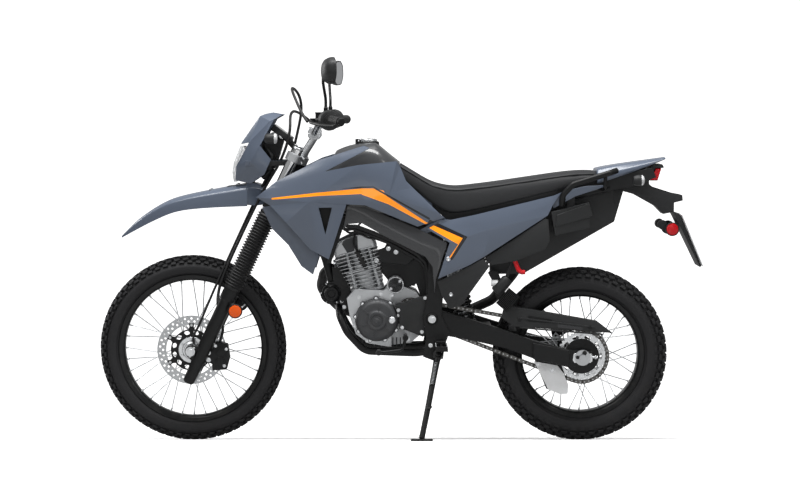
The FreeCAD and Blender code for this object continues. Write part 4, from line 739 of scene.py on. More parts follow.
def tyre(name, axle, radius, crown, bead, half_width, count, body):
    """A tyre with its tread: four rows of blocks, and short ribs below the outer row."""
    carcass = turned(tyre_carcass(radius, crown, bead, half_width), axle, ACROSS, 144, loop=True)
    settle(carcass, name + "_carcass", TYRE, body, [name], crease=50)
    spots = []
    middle = radius - crown
    step = 2 * math.pi / count
    rows = (
        # degrees round the crown, half length, half width, turn of the block, shift along the row, height
        (0.0, 1.0, 1.0, 0.0, 0.0, 0.0),
        (20.0, 0.95, 0.85, 14.0, 0.5, 0.0),
        (38.0, 1.0, 0.9, -10.0, 0.0, 0.0),
        (56.0, 0.85, 0.7, 6.0, 0.5, -0.8),
    )
    for degrees, long, wide, twist, shift, lift in rows:
        for side in ((1,) if degrees == 0 else (1, -1)):
            tilt = math.radians(degrees * side)
            for k in range(count):
                angle = step * (k + shift + (0.25 if side < 0 else 0))
                out, ahead = outward(angle), onward(angle)
                normal = out * math.cos(tilt) + ACROSS * math.sin(tilt)
                at = axle + out * middle + normal * (crown - TREAD_DEPTH + lift)
                turn = math.radians(twist * side)
                wise = ahead * math.cos(turn) + normal.cross(ahead) * math.sin(turn)
                spots.append((at, normal, wise, (long, wide, 1.0)))
    pitch = step * radius
    unit = tread_block(pitch * 0.35, crown * 0.15, 9.4)
    repeated(name + "_blocks", unit, spots, TYRE, body)
    # Short ribs that carry the tread's outer row down the wall
    ribs = []
    for side in (1, -1):
        for k in range(count):
            angle = step * (k + 0.5 + (0.25 if side < 0 else 0))
            out = outward(angle)
            tilt = math.radians(78 * side)
            normal = out * math.cos(tilt) + ACROSS * math.sin(tilt)
            ribs.append((axle + out * middle + normal * (crown - 7.4), normal, onward(angle), (1, 1, 1)))
    outline = [(x * pitch * 0.3, y * crown * 0.13) for x, y in ((-1, -1), (1, -1), (0.8, 1), (-0.8, 1))]
    rib = pillar(outline, -3, 3.6)
    repeated(name + "_ribs", rib, ribs, TYRE, body)


def rim(name, axle, bead, half_width, body):
    """A rim with its two lips and its well, and the spokes' nipples."""
    lip = bead + 8
    inner = bead - RIM_DEPTH
    half = [(0, inner + 0.2), (6, inner), (half_width - 12, inner + 0.6), (half_width - 6.5, inner + 4.5),
            (half_width - 3.6, bead - 3), (half_width - 2.2, bead + 3), (half_width - 0.4, lip - 2.4),
            (half_width - 0.2, lip - 0.8), (half_width - 1.4, lip), (half_width - 2.8, lip - 0.6),
            (half_width - 3.7, lip - 3), (half_width - 4.4, bead - 1), (half_width - 12, bead - 8.6)]
    profile = half + [(-y, r) for y, r in reversed(half[1:])]
    settle(turned(profile, axle, ACROSS, 144, loop=True), name + "_hoop", RIM_BLACK, body, [name], crease=40)
    # Spoke nipples stand on dimples of the rim's inner face
    spots = []
    for k in range(SPOKES):
        out = outward(2 * math.pi * k / SPOKES)
        side = -1 if k % 2 else 1
        spots.append((axle + out * (inner + 0.8) + ACROSS * (4 * side), -out, ACROSS, 1.0))
    nipple = turned([(0, 0), (0, 5.4), (1.4, 4.2), (2.2, 3.3), (11, 3.0), (12, 2.4), (12, 0)], ORIGIN,
                    VERTICAL, 10)
    repeated(name + "_nipples", nipple, spots, STEEL, body)


def spokes(name, axle, flange, flange_y, bead, body):
    """Crossed spokes, each with its bend at the flange."""
    reach = bead - RIM_DEPTH - 9
    bend = flange - 4
    spots, heads = [], []
    for k in range(SPOKES):
        side = -1 if k % 2 else 1
        lean = -1 if (k // 2) % 2 else 1
        rim_angle = 2 * math.pi * k / SPOKES
        hub_angle = rim_angle + lean * math.radians(62)
        start = axle + Vector((bend * math.sin(hub_angle), side * (flange_y + 3.2),
                               bend * math.cos(hub_angle)))
        end = axle + Vector((reach * math.sin(rim_angle), side * 4, reach * math.cos(rim_angle)))
        spots.append((start, end - start, ACROSS, (1, 1, (end - start).length)))
        heads.append((start + ACROSS * (side * 1.0), ACROSS * side, end - start, 1.0))
    wire = turned([(0, 0), (0, 2.1), (1, 2.1), (1, 0)], ORIGIN, VERTICAL, 8)
    repeated(name + "_spokes", wire, spots, SPOKE, body)
    head = turned([(-5, 0), (-5, 1.9), (0, 1.9), (0, 3.6), (1.6, 3.2), (2.2, 0)], ORIGIN, VERTICAL, 10)
    repeated(name + "_spoke_heads", head, heads, SPOKE, body)


def drilled_disc(name, at, outer, inner, thick, holes, body, bore, arms, rivet):
    """A brake ring with rows of holes on a black carrier."""
    ring = turned([(-thick / 2, inner), (-thick / 2, outer), (thick / 2, outer), (thick / 2, inner)], at,
                  ACROSS, 120, loop=True)
    cutters = []
    for radius, shift, count in holes:
        for k in range(count):
            angle = 2 * math.pi * (k + shift) / count
            here = at + outward(angle) * radius
            cutters.append(turned([(-thick, 0), (-thick, 4.2), (thick, 4.2), (thick, 0)], here, ACROSS, 14))
    cut(ring, joined(*cutters))
    settle(ring, name + "_ring", STEEL, body, [name], bevel=0.4, crease=50, segments=1)
    band = inner - 17
    carrier = turned([(-3, band - 28), (-3, band), (3, band), (3, band - 28)], at, ACROSS, 72, loop=True)
    outline = [(band - 12 + r, w) for r, w in ((-7, -5), (2, -11), (7, -5), (7, 5), (-2, 11), (-7, 5))]
    slots = [wheel_prism(at, 2 * math.pi * (k + 0.5) / (2 * arms), outline, 6) for k in range(2 * arms)]
    cut(carrier, joined(*slots))
    face = turned([(-3.4, bore), (-3.4, bore + 5), (-1.6, bore + 8), (-1.6, bore + 12), (-3.4, bore + 14),
                   (-3.4, band - 29), (-1, band - 27), (3.2, band - 27), (3.2, bore)], at, ACROSS, 64,
                  loop=True)
    settle(face, name + "_hub_face", BRIGHT, body, crease=30)
    outline = [(band - 4, -13), (inner - 8, -8), (inner + 5, -10), (inner + 5, 10), (inner - 8, 8),
               (band - 4, 13)]
    spider = [wheel_prism(at, 2 * math.pi * k / arms, outline, 2.6) for k in range(arms)]
    settle(joined(carrier, *spider), name + "_carrier", POWDER, body, bevel=0.8, crease=40)
    spots = []
    # The rear caliper leaves no room for large buttons
    size = 1.0 if inner > 90 else 0.4
    for k in range(arms):
        out = outward(2 * math.pi * k / arms)
        for way in (1, -1):
            spots.append((at + out * (inner - 2) + ACROSS * (2.2 * way), ACROSS * way, out, size))
            spots.append((at + out * rivet + ACROSS * (3.2 * way), ACROSS * way, out, 1.0))
    button = turned([(-0.5, 0), (-0.5, 5.4), (1.6, 5.0), (2.4, 3.4), (2.4, 1.8), (1.2, 1.6), (1.2, 0)],
                    ORIGIN, VERTICAL, 16)
    repeated(name + "_buttons", button, spots, BOLT, body)


def cut(bm, tool):
    """Takes a tool's volume out of a mesh."""
    meshes = []
    for part in (bm, tool):
        bmesh.ops.recalc_face_normals(part, faces=part.faces)
        mesh = bpy.data.meshes.new("cut")
        part.to_mesh(mesh)
        meshes.append(mesh)
    tool.free()
    body, cutter = new_object("cut_body", meshes[0]), new_object("cut_tool", meshes[1])
    mod = body.modifiers.new("cut", "BOOLEAN")
    mod.operation = "DIFFERENCE"
    mod.solver = "EXACT"
    mod.object = cutter
    result = plain_mesh(body)
    bm.clear()
    bm.from_mesh(result)
    for obj in (body, cutter):
        bpy.data.objects.remove(obj)
    for mesh in (*meshes, result):
        bpy.data.meshes.remove(mesh)


def hubs():
    """Both hubs with their spokes and brake discs."""
    front = turned(round_profile([(-71.5, 8.6), (-71.5, 20), (-65, 20), (-64.6, 42), (-58.4, 42), (-54, 23),
                                  (-38, 21), (-34.5, 38), (-27, 38), (-22, 23), (-12, 19), (12, 19),
                                  (22, 23), (27, 38), (34.5, 38), (38, 22), (57.5, 20), (57.5, 8.6)], 2),
                   FRONT_AXLE, ACROSS, 64, loop=True)
    settle(front, "front_hub_shell", POWDER, "front_wheel", ["front_hub"], crease=32)
    rear = turned(round_profile([(-83.5, 8.6), (-83.5, 24), (-73, 24), (-72.4, 58), (-66, 60), (-61, 38),
                                 (-46, 36), (-42, 58), (-34, 58), (-29, 38), (-14, 31), (14, 31), (29, 38),
                                 (34, 58), (42, 58), (46, 36), (64, 37), (67, 42), (72.6, 42), (74, 24),
                                 (83.5, 24), (83.5, 8.6)], 2), REAR_AXLE, ACROSS, 64, loop=True)
    settle(rear, "rear_hub_shell", POWDER, "rear_wheel", ["rear_hub"], crease=32)
    spokes("front", FRONT_AXLE, 38, 30.5, FRONT_BEAD, "front_wheel")
    spokes("rear", REAR_AXLE, 58, 38, REAR_BEAD, "rear_wheel")
    drilled_disc("front_disc", FRONT_AXLE - ACROSS * 66, 127.5, 94, 4.0,
                 ((117, 0, 30), (106, 0.5, 30)), "front_wheel", 21, 6, 40)
    drilled_disc("rear_disc", REAR_AXLE + ACROSS * 76, 109.5, 80, 4.0,
                 ((101, 0, 26), (90, 0.5, 26)), "rear_wheel", 25, 6, 31)


def rear_sprocket():
    """The toothed sprocket with its slots, its nuts and the dark hub behind it."""
    at = REAR_AXLE - ACROSS * CHAIN_Y
    rolling = PITCH / (2 * math.sin(math.pi / REAR_TEETH))
    tip, root = rolling - 5.2, rolling - 11.2
    outline = []
    for k in range(REAR_TEETH * 8):
        share = (k % 8) / 8
        wave = 0.5 - 0.5 * math.cos(2 * math.pi * share)
        radius = root + (tip - root) * min(1.0, wave * 1.35)
        angle = 2 * math.pi * k / (REAR_TEETH * 8)
        outline.append((radius * math.sin(angle), radius * math.cos(angle)))
    plate = prism(outline, -2.9, 2.9, at)
    tools = [turned([(-9, 0), (-9, 25), (9, 25), (9, 0)], at, ACROSS, 48)]
    slot = [(69 + r, w) for r, w in ((-4, -10), (3, -13), (7, -9), (8, 0), (7, 9), (3, 13), (-4, 10),
                                     (-5, 0))]
    tools += [wheel_prism(at, 2 * math.pi * (k + 0.5) / 10, slot, 9) for k in range(10)]
    cut(plate, joined(*tools))
    settle(plate, "rear_sprocket_plate", BRIGHT, "rear_wheel", ["rear_sprocket"], bevel=0.5, crease=50,
           segments=1)
    spots = [(at - ACROSS * 2.9 + outward(2 * math.pi * k / 5) * 74, -ACROSS, REARWARD, 0.8)
             for k in range(5)]
    shade = turned([(-5.4, 26), (-5.4, 62), (-4, 65), (-3.1, 65), (-3.1, 26)], at, ACROSS, 64, loop=True)
    settle(shade, "rear_hub_shade", POWDER, "rear_wheel", crease=35)
    screws("rear_sprocket_nuts", 8, 6.5, spots, "rear_wheel")


# Fork and steering


def fork_legs():
    """Lower legs, each cast with its axle boot, and the axle between them."""
    legs = []
    for side in (-SPAN, SPAN):
        foot = on_fork(-112, side)
        legs.append(turned([(0, 0), (0, 15), (4, 19), (12, 21), (60, 22.5), (96, 25), (330, 25), (336, 26),
                            (340, 29), (368, 29), (374, 28.4), (383.6, 28.4), (383.6, 0)], foot, UP, 48))
        web = ring_mesh([[on_fork(a, side + y, b)
                          for a, b in ((-22, -46), (-26, -30), (-46, 2), (44, 2), (26, -30), (22, -46))]
                         for y in (-15, 15)])
        bmesh.ops.recalc_face_normals(web, faces=web.faces)
        legs.append(web)
        legs.append(turned([(-20, 0), (-20, 18), (-17, 21), (17, 21), (20, 18), (20, 0)],
                           FRONT_AXLE + ACROSS * side, ACROSS, 36))
    settle(joined(*legs), "fork_lower_legs", POWDER, "steering", ["fork_sliders"], bevel=1.6, crease=35)
    axle = joined(bar(FRONT_AXLE - ACROSS * 119, FRONT_AXLE + ACROSS * 119, 8.2, 24),
                  turned([(0, 8), (0, 13.6), (20, 13.6), (20, 8)], FRONT_AXLE - ACROSS * 92.4, ACROSS, 32,
                         loop=True), turned([(0, 8), (0, 13.6), (34, 13.6), (34, 8)],
                                            FRONT_AXLE + ACROSS * 58.6, ACROSS, 32, loop=True))
    settle(axle, "front_axle_bar", STEEL, "steering", crease=40)
    nuts = [(FRONT_AXLE + ACROSS * (s * 119.5), ACROSS * s, UP, 1.0) for s in (-1, 1)]
    screws("front_axle_nuts", 13, 8, nuts, "steering")
    spots = []
    for side in (-SPAN, SPAN):
        for along in (-16, 16):
            spots.append((on_fork(along, side + math.copysign(18.5, side) * 0.9, -34),
                          ACROSS * math.copysign(1, side), UP, 0.55))
    screws("axle_pinch_bolts", 7, 6, spots, "steering")


def bellows(folds):
    """Rubber gaiters with deep, evenly spaced folds."""
    made = []
    for side in (-SPAN, SPAN):
        low, high = 272.0, 588.0
        pitch = (high - low - 22) / folds
        profile = [(0, 21.4), (0, 29.5), (3, 30.6), (9, 30.6), (11, 29)]
        for k in range(folds):
            taper = 1 - 0.05 * k / folds
            base = 11 + pitch * k
            profile += [(base + pitch * 0.16, 28.6 * taper), (base + pitch * 0.40, 34.6 * taper),
                        (base + pitch * 0.52, 35.4 * taper), (base + pitch * 0.64, 34.6 * taper),
                        (base + pitch * 0.88, 28.6 * taper)]
        top = high - low
        profile += [(top - 10, 27.0), (top - 8, 28.6), (top - 1, 28.6), (top, 27.6), (top, 21.4)]
        made.append(turned(profile, on_fork(low, side), UP, 48, loop=True))
    settle(joined(*made), "fork_bellows", RUBBER, "steering", ["fork_gaiters"], crease=60)


def clamp_outline():
    """A fork clamp's plate seen along the fork: round at both legs, waisted, and swept back to the stem."""
    grip = 29.5
    out = []
    for k in range(9):
        a = math.radians(100 + 22 * k)
        out.append((-SPAN + grip * math.cos(a), grip * math.sin(a)))
    out += [(-60, -22), (-30, -16), (30, -16), (60, -22)]
    for k in range(9):
        a = math.radians(-96 + 22 * k)
        out.append((SPAN + grip * math.cos(a), grip * math.sin(a)))
    return out + [(58, 26), (34, 46), (20, 50), (-20, 50), (-34, 46), (-58, 26)]


def clamps():
    """Chromed upper tubes, the two fork clamps and the bar's clamps."""
    tubes = joined(*[bar(on_fork(300, side), on_fork(842, side), 20.2, 48) for side in (-SPAN, SPAN)])
    settle(tubes, "fork_upper_tubes", CHROME, "steering", ["fork_clamps"], crease=40)
    caps = []
    for side in (-SPAN, SPAN):
        caps.append(turned([(0, 0), (0, 21.6), (5, 21.6), (7, 20), (7, 12), (5, 10), (5, 0)],
                           on_fork(838, side), UP, 36))
    settle(joined(*caps), "fork_caps", STEEL, "steering", crease=40)
    for name, along, finish in (("lower_clamp", 612, POWDER), ("upper_clamp", 806, CAST)):
        plate = ring_mesh([[on_fork(along - 15 + h, x, b) for x, b in clamp_outline()] for h in (0, 30)])
        pieces = [plate]
        for side in (-1, 1):
            # A split clamp's two ears and its bolts' bosses
            for h in (-9, 9):
                pieces.append(bar(on_fork(along + h, side * (SPAN - 34), 18),
                                  on_fork(along + h, side * (SPAN - 34), 32), 7, 20))
        settle(joined(*pieces), name, finish, "steering", bevel=2.2, crease=35)
    spots = []
    for along in (612, 806):
        for side in (-1, 1):
            for h in (-9, 9):
                spots.append((on_fork(along + h, side * (SPAN - 34), 32), BACK, UP, 0.62))
    spots.append((on_steering(823.5), UP, ACROSS, 1.9))
    screws("clamp_bolts", 7, 6, spots, "steering")
    middle = Vector((-315, 0, 1146))
    risers, tops = [], []
    for side in (-38, 38):
        foot = on_steering(821, side, -4)
        at = middle + ACROSS * side
        risers.append(bar(foot, at - Vector((0, 0, 14)), 13, 32))
        risers.append(prism([(-24, -2), (-24, -12), (-14, -24), (14, -24), (24, -12), (24, -0.4),
                             (10.8, -0.4), (8, -8), (0, -11.3), (-8, -8), (-10.8, -0.4)], -12.6, 12.6, at))
        tops.append(prism([(-24, 0.4), (-24, 8), (-15, 20), (15, 20), (24, 8), (24, 0.4), (10.8, 0.4), (8, 8),
                           (0, 11.3), (-8, 8), (-10.8, 0.4)], -12.6, 12.6, at))
    settle(joined(*risers), "bar_risers", CAST, "steering", bevel=1.2, crease=40)
    settle(joined(*tops), "bar_clamp_caps", CAST, "steering", bevel=1.2, crease=40)
    spots = [(middle + Vector((x, side, 18)), VERTICAL, REARWARD, 0.7) for side in (-38, 38)
             for x in (-17, 17)]
    screws("bar_clamp_bolts", 6.4, 5, spots, "steering")


BAR_LINE = [Vector((-208, -400, 1192)), Vector((-284, -172, 1198)), Vector((-315, -72, 1146)),
            Vector((-315, 72, 1146)), Vector((-284, 172, 1198)), Vector((-208, 400, 1192))]


def bars():
    """The bar with its ribbed grips and weights, and everything the hands work."""
    settle(pipe(BAR_LINE, 10.9, 60, 32), "handlebar_tube", BRIGHT, "steering", ["handlebar"], crease=40)
    end = BAR_LINE[-1]
    along = (end - BAR_LINE[-2]).normalized()
    start = end - along * 118
    ribs = []
    for side in (1, -1):
        profile = [(1, 11.5), (1, 24), (3, 24.4), (5, 24), (6, 18)]
        for k in range(18):
            base = 8 + 5.6 * k
            profile += [(base, 15.2), (base + 0.9, 16.4), (base + 3.7, 16.4), (base + 4.6, 15.2)]
        profile += [(110, 15.4), (112, 17.2), (118, 17.0), (119.5, 14), (119.5, 9), (120.4, 9), (120.4, 0)]
        ribs.append(turned(profile, Vector((start.x, start.y * side, start.z)),
                           Vector((along.x, along.y * side, along.z)), 40))
    settle(joined(*ribs), "handlebar_grips", RUBBER, "steering", ["grips"], crease=35)
    weights = [bar(Vector((p.x, p.y * s, p.z)), Vector((q.x, q.y * s, q.z)), 12.6, 32)
               for s in (1, -1) for p, q in ((end + along * 2.6, end + along * 13.6),)]
    settle(joined(*weights), "bar_end_weights", POWDER, "steering", crease=40)
    inner = start - along * 1.5
    housings, perches, levers = [], [], []
    for side in (1, -1):
        def at(p):
            return Vector((p.x, p.y * side, p.z))
        way = Vector((along.x, along.y * side, along.z))
        housings.append(turned([(-46, 11.2), (-46, 20), (-43, 23), (-24, 24.2), (-3, 23), (0, 20),
                                (0, 11.2)], at(inner), way, 40, loop=True))
        housings.append(turned([(-42, 0), (-42, 12), (-38, 14), (-8, 14), (-4, 12), (-4, 0)],
                               at(inner + Vector((-22, 0, -8))), way, 32))
        housings.append(turned([(-44, 30), (-42, 35), (-20, 37), (-8, 36), (-6, 33), (-6, 12), (-44, 12)],
                               at(inner), way, 48, loop=True))
        perches.append(turned([(-76, 11.2), (-76, 16), (-74, 18), (-46, 18), (-44, 16), (-44, 11.2)],
                              at(inner), way, 36, loop=True))
        hinge = inner - along * 62 + Vector((-46, 4, -4))
        perches.append(bar(at(inner - along * 62), at(hinge), 9, 24))
        perches.append(bar(at(hinge - Vector((0, 0, 10))), at(hinge + Vector((0, 0, 10))), 11, 28))
        perches.append(bar(at(inner - along * 62), at(inner - along * 62 + Vector((0, 0, 34))), 9, 24))
        tip = hinge + along * 205 + Vector((20, 0, -10))
        line = rounded_path([at(p) for p in (hinge, hinge + Vector((-10, 34, -4)), hinge + along * 120
                                             + Vector((-8, 0, -10)), tip)], 60)
        count = len(line)
        levers.append(swept(line, [6.4 - 1.6 * k / count for k in range(count)], 20))
        levers.append(turned([(-6, 0), (-6, 5), (-3, 7.4), (2, 7.9), (5, 6.4), (6.5, 0)], at(tip),
                             at(tip) - at(hinge + along * 120), 24))
    settle(joined(*housings), "switch_housings", TEXTURED, "steering", ["hand_controls"], bevel=0.8,
           crease=40)
    settle(joined(*perches), "lever_perches", POWDER, "steering", crease=40)
    settle(joined(*levers), "hand_levers", POWDER, "steering", crease=50)
    # The stop switch on the right and the small switches on the left
    base = inner - along * 22 + Vector((14, 0, 16))
    switch = ring_mesh([[base + Vector((x, y, z)) for x, y in ((-9, -8), (9, -8), (9, 8), (-9, 8))]
                        for z in (0, 9)])
    settle(switch, "stop_switch", RED_PLASTIC, "steering", bevel=1.6)
    spots = [(Vector((inner.x + dx, -(inner.y - dy), inner.z + dz)), (0.6, 0, 0.8), (0, 1, 0), s)
             for dx, dy, dz, s in ((14, 12, 17, 1.0), (16, 24, 15, 0.9), (19, 36, 11, 0.8))]
    button = turned([(-3, 0), (-3, 6), (3, 6), (4.6, 4.6), (5, 0)], ORIGIN, VERTICAL, 20)
    repeated("switch_buttons", button, spots, DARK_PLASTIC, "steering")
    mirror_heads(inner - along * 62 + Vector((0, 0, 34)))


def mirror_heads(base):
    """Both mirrors: bent stems, domed shells and their glass."""
    head = Vector((-254, 338, 1372))
    line = rounded_path([base, base + Vector((0, 0, 40)), head + Vector((-18, -34, -44)),
                         head + Vector((-16, -6, -8))], 30)
    stems = mirrored(swept(line, 5.4, 20))
    settle(stems, "mirror_stems", POWDER, "steering", ["mirrors"], crease=50)
    nuts = mirrored(turned([(-2, 0), (-2, 9), (10, 9), (12, 7), (16, 6.2), (16, 0)], base, VERTICAL, 6))
    settle(nuts, "mirror_nuts", POWDER, "steering", crease=30)
    outline = [(-62, -34), (-30, -50), (34, -46), (62, -14), (56, 30), (22, 48), (-40, 44), (-64, 8)]
    smooth = []
    for k, (y, z) in enumerate(outline):
        before, after = outline[k - 1], outline[(k + 1) % len(outline)]
        a = Vector((y, z)).lerp(Vector(before), 0.3)
        b = Vector((y, z)).lerp(Vector(after), 0.3)
        c = Vector((y, z))
        for t in (0.0, 0.33, 0.67, 1.0):
            p = a.lerp(c, t).lerp(c.lerp(b, t), t)
            smooth.append((p.x, p.y))
    turn = Matrix.Translation(head) @ Matrix.Rotation(math.radians(-14), 4, "Z")
    rings = [[Vector((x, y * s, z * s)) for y, z in smooth]
             for x, s in ((-21, 0.30), (-17, 0.55), (-8, 0.82), (4, 0.96), (13, 1.0), (19.5, 0.99),
                          (20, 0.97), (20, 0.93), (17.5, 0.92))]
    shell = ring_mesh(rings)
    shell.transform(turn)
    settle(mirrored(shell), "mirror_shells", TEXTURED, "steering", crease=40)
    glass = ring_mesh([[Vector((x, y * 0.915, z * 0.915)) for y, z in smooth] for x in (17.6, 19.0)])
    glass.transform(turn)
    settle(mirrored(glass), "mirror_glasses", MIRROR, "steering", crease=30)


def fender():
    """A high fender: a creased trough that narrows to its tip."""
    stations = ((-1032, 12, 768, 764, 758), (-990, 26, 812, 803, 781), (-950, 36, 846, 834, 803),
                (-870, 54, 897, 882, 842), (-810, 63, 918, 902, 864), (-700, 70, 940, 922, 873),
                (-616, 76, 956, 936, 877), (-560, 80, 966, 944, 879))
    rings = []
    for x, half, top, crease, side in stations:
        skin = [(-half, side), (-half * 0.985, (side + crease) / 2), (-half * 0.94, crease),
                (-half * 0.74, crease + (top - 4 - crease) * 0.62), (-half * 0.5, top - 4),
                (-half * 0.2, top - 2.6), (0, top - 2), (half * 0.2, top - 2.6), (half * 0.5, top - 4),
                (half * 0.74, crease + (top - 4 - crease) * 0.62), (half * 0.94, crease),
                (half * 0.985, (side + crease) / 2), (half, side)]
        rings.append([Vector((x, y, z)) for y, z in skin])
    bm = bmesh.new()
    made = [[bm.verts.new(p) for p in ring] for ring in rings]
    for one, two in zip(made, made[1:]):
        for k in range(1, len(one)):
            bm.faces.new([one[k - 1], one[k], two[k], two[k - 1]])
    bmesh.ops.solidify(bm, geom=bm.faces, thickness=-2.6)
    obj = settle(bm, "front_fender_skin", PAINT, "steering", ["front_fender"],
                 subdivide=2)
    crease_lines(obj, 40)
    arm = prism([(-640, 950), (-562, 961), (-541, 968), (-532, 950), (-566, 944), (-640, 938)], -34, 34)
    settle(arm, "fender_arm", DARK_PLASTIC, "steering", bevel=2)
    spots = [(Vector((x, y, z)), VERTICAL, REARWARD, 0.8) for x, y, z in (
        (-700, -30, 936.5), (-700, 30, 936.5), (-600, -32, 956), (-600, 32, 956))]
    screws("fender_bolts", 6, 4, spots, "steering")


def crease_lines(obj, degrees, weight=0.7):
    """Keeps the sharp folds of a subdivided piece."""
    limit = math.radians(degrees)
    bm = bmesh.new()
    bm.from_mesh(obj.data)
    layer = bm.edges.layers.float.get("crease_edge") or bm.edges.layers.float.new("crease_edge")
    for edge in bm.edges:
        if edge.is_boundary or (len(edge.link_faces) == 2 and edge.calc_face_angle(0) > limit):
            edge[layer] = weight
    bm.to_mesh(obj.data)
    bm.free()


def headlamp():
    """The cowl round the lamp, its clear lens and reflector, the instrument and the front indicators."""
    cowl = dressed("headlight_cowl", "headlight_shroud", PAINT, "steering", 3.0,
                   crease=14)
    finish_list(cowl, DARK_PLASTIC)
    for face in cowl.data.polygons:
        if face.center.x > -0.497 and face.center.z < 1.08:
            face.material_index = 1
    lens = [(-588, 1098), (-602, 1066), (-613, 1036), (-618, 1001), (-613, 968), (-606, 968), (-610, 1001),
            (-605, 1036), (-595, 1066), (-580, 1098)]
    # A pale shell close behind the lens, as the lamp looks from outside: its pale colour is a painted
    # reflection of the reflector behind the glass.
    pale = prism([(x + 4, z) for x, z in lens[5:]] + [(-574, 1096), (-590, 1060), (-600, 1001), (-598, 972)],
                 -58, 58)
    settle(pale, "headlight_shell", PALE_PLATE, "steering", bevel=0.8)
    rings = []
    for y, narrow in ((-60, 10), (-56, 3), (-40, 0), (0, -1.5), (40, 0), (56, 3), (60, 10)):
        rings.append([Vector((x + narrow, y, z)) for x, z in lens])
    settle(ring_mesh(rings), "headlight_glass", CLEAR_LENS, "steering", ["headlight_lens"],
           bevel=1.0)
    bowl = [(-579.6, 1094), (-604.6, 1036), (-609.0, 1001), (-605.7, 971), (-550, 985), (-520, 1010),
            (-520, 1060), (-545, 1086)]
    settle(prism(bowl, -57.5, 57.5), "headlight_bowl", REFLECTOR, "steering", ["headlight_unit"], bevel=4,
           segments=3)
    bulbs = []
    for z, r in ((1062, 22), (1008, 26)):
        bulbs.append(turned([(0, 0), (0, r), (-3, r + 2), (-5, r), (-5, r - 3), (-2, 4), (-8, 0)],
                            Vector((-604 if z < 1030 else -596, 0, z)),
                            Vector((1, 0, -0.35 if z > 1030 else 0.02)), 40))
    settle(joined(*bulbs), "headlight_rings", CHROME, "steering", crease=40)
    rings = []
    for x, low, high, half in ((-552, 972, 1092, 56), (-520, 980, 1092, 54), (-490, 1000, 1084, 40),
                               (-478, 1010, 1074, 30)):
        rings.append([Vector((x, y * half, z))
                      for y, z in ((-0.8, low), (-1, low + 12), (-1, high - 12), (-0.8, high), (0.8, high),
                                   (1, high - 12), (1, low + 12), (0.8, low))])
    settle(ring_mesh(rings), "headlight_back", DARK_PLASTIC, "steering", bevel=2.0, crease=30)
    wiring = joined(prism([(-508, 1112), (-480, 1134), (-428, 1122), (-440, 1080), (-456, 1040),
                           (-474, 1000), (-508, 996)], -40, 40), block((-520, -58, 1012), (-470, 58, 1052)),
                    pipe([(-500, -34, 1100), (-470, -52, 1060), (-476, -50, 1010), (-506, -34, 980)], 7, 20,
                         14), pipe([(-480, 30, 1120), (-446, 44, 1080), (-470, 46, 1020), (-520, 30, 985)],
                                   7, 20, 14))
    settle(wiring, "headlight_wiring", DARK_PLASTIC, "steering", bevel=2.0, crease=40)
    root = []
    for x, half, top, side in ((-566, 76, 962, 884), (-530, 66, 962, 880), (-500, 56, 952, 884)):
        root.append([Vector((x, y * half, z))
                     for y, z in ((-1, side), (-1, top - 16), (-0.7, top), (0.7, top), (1, top - 16),
                                  (1, side))])
    settle(ring_mesh(root), "fender_root", PAINT, "steering", bevel=2.0, crease=30)
    dressed("instrument", "instrument_case", TEXTURED, "steering", 2.0)
    dial = ring_mesh([[Vector((x + n, y, z + n)) for x, z, y in ((-459, 1173, -52), (-402, 1130.6, -52),
                                                                   (-402, 1130.6, 52), (-459, 1173, 52))]
                      for n in (1.2, 2.4)])
    settle(dial, "instrument_dial", DIAL, "steering", bevel=0.6)
    stalks = mirrored(turned([(0, 0), (0, 8), (4, 8), (6, 7), (30, 7), (34, 9), (38, 9), (38, 0)],
                             Vector((-461, 104, 1128)), ACROSS, 24))
    settle(stalks, "front_indicator_stalks", RUBBER, "steering", ["front_indicators"], crease=40)
    shells = mirrored(turned([(0, 0), (0, 13), (6, 17.5), (20, 19.8), (32, 19.8), (34, 18), (34, 0)],
                             Vector((-490, 150, 1128)), REARWARD, 36))
    settle(shells, "front_indicator_shells", TEXTURED, "steering", crease=40)
    lenses = mirrored(turned([(34.3, 0), (34.3, 18.6), (40, 18.2), (44, 14.5), (45.8, 8), (46, 0)],
                             Vector((-490, 150, 1128)), REARWARD, 36))
    settle(lenses, "front_indicator_lenses", CLEAR_LENS, "steering", crease=40)
    cups, faces = [], []
    for side in (-1, 1):
        at = Vector((-603, side * 123.4, 497))
        cups.append(turned([(0, 0), (0, 22), (3, 26.6), (8.4, 26.6), (9.6, 25.4), (9.6, 23.2), (8.4, 22.6),
                            (8.4, 0)], at, ACROSS * side, 48))
        faces.append(turned([(8.5, 0), (8.5, 22.4), (9.4, 22.4), (10.0, 20), (10.3, 0)], at, ACROSS * side,
                            48))
    settle(joined(*cups), "side_reflector_cups", DARK_PLASTIC, "steering", crease=40)
    settle(joined(*faces), "side_reflectors", ORANGE_LENS, "steering", crease=40)


def front_brake():
    """The front caliper with its bolts and piston caps."""
    dressed("front_caliper", "front_caliper_body", POWDER, "steering", 3.0)
    spots = [(Vector((-706, -88.5, z)), -ACROSS, UP, 0.9) for z in (312, 338)]
    spots += [(Vector((x, -88.5, z)), -ACROSS, UP, 0.6) for x, z in ((-680, 364), (-640, 352), (-648, 290))]
    screws("front_caliper_bolts", 7, 5, spots, "steering")
    pistons = joined(*[turned([(0, 0), (0, 16), (3, 16), (4.5, 13), (4.5, 0)], Vector((x, -87.8, z)),
                              -ACROSS, 32) for x, z in ((-664, 306), (-660, 342))])
    settle(pistons, "front_caliper_caps", POWDER, "steering", crease=40)


def dressed(node, name, material, body, bevel=1.5, crease=25.0, segments=2):
    """A CAD piece's own form with eased edges."""
    return settle(cad_copy(node), name, material, body, [node], bevel=bevel, crease=crease,
                  segments=segments)


# Engine


BARREL = Matrix.Translation(CRANK) @ Matrix.Rotation(math.radians(-15.7), 4, "Y")


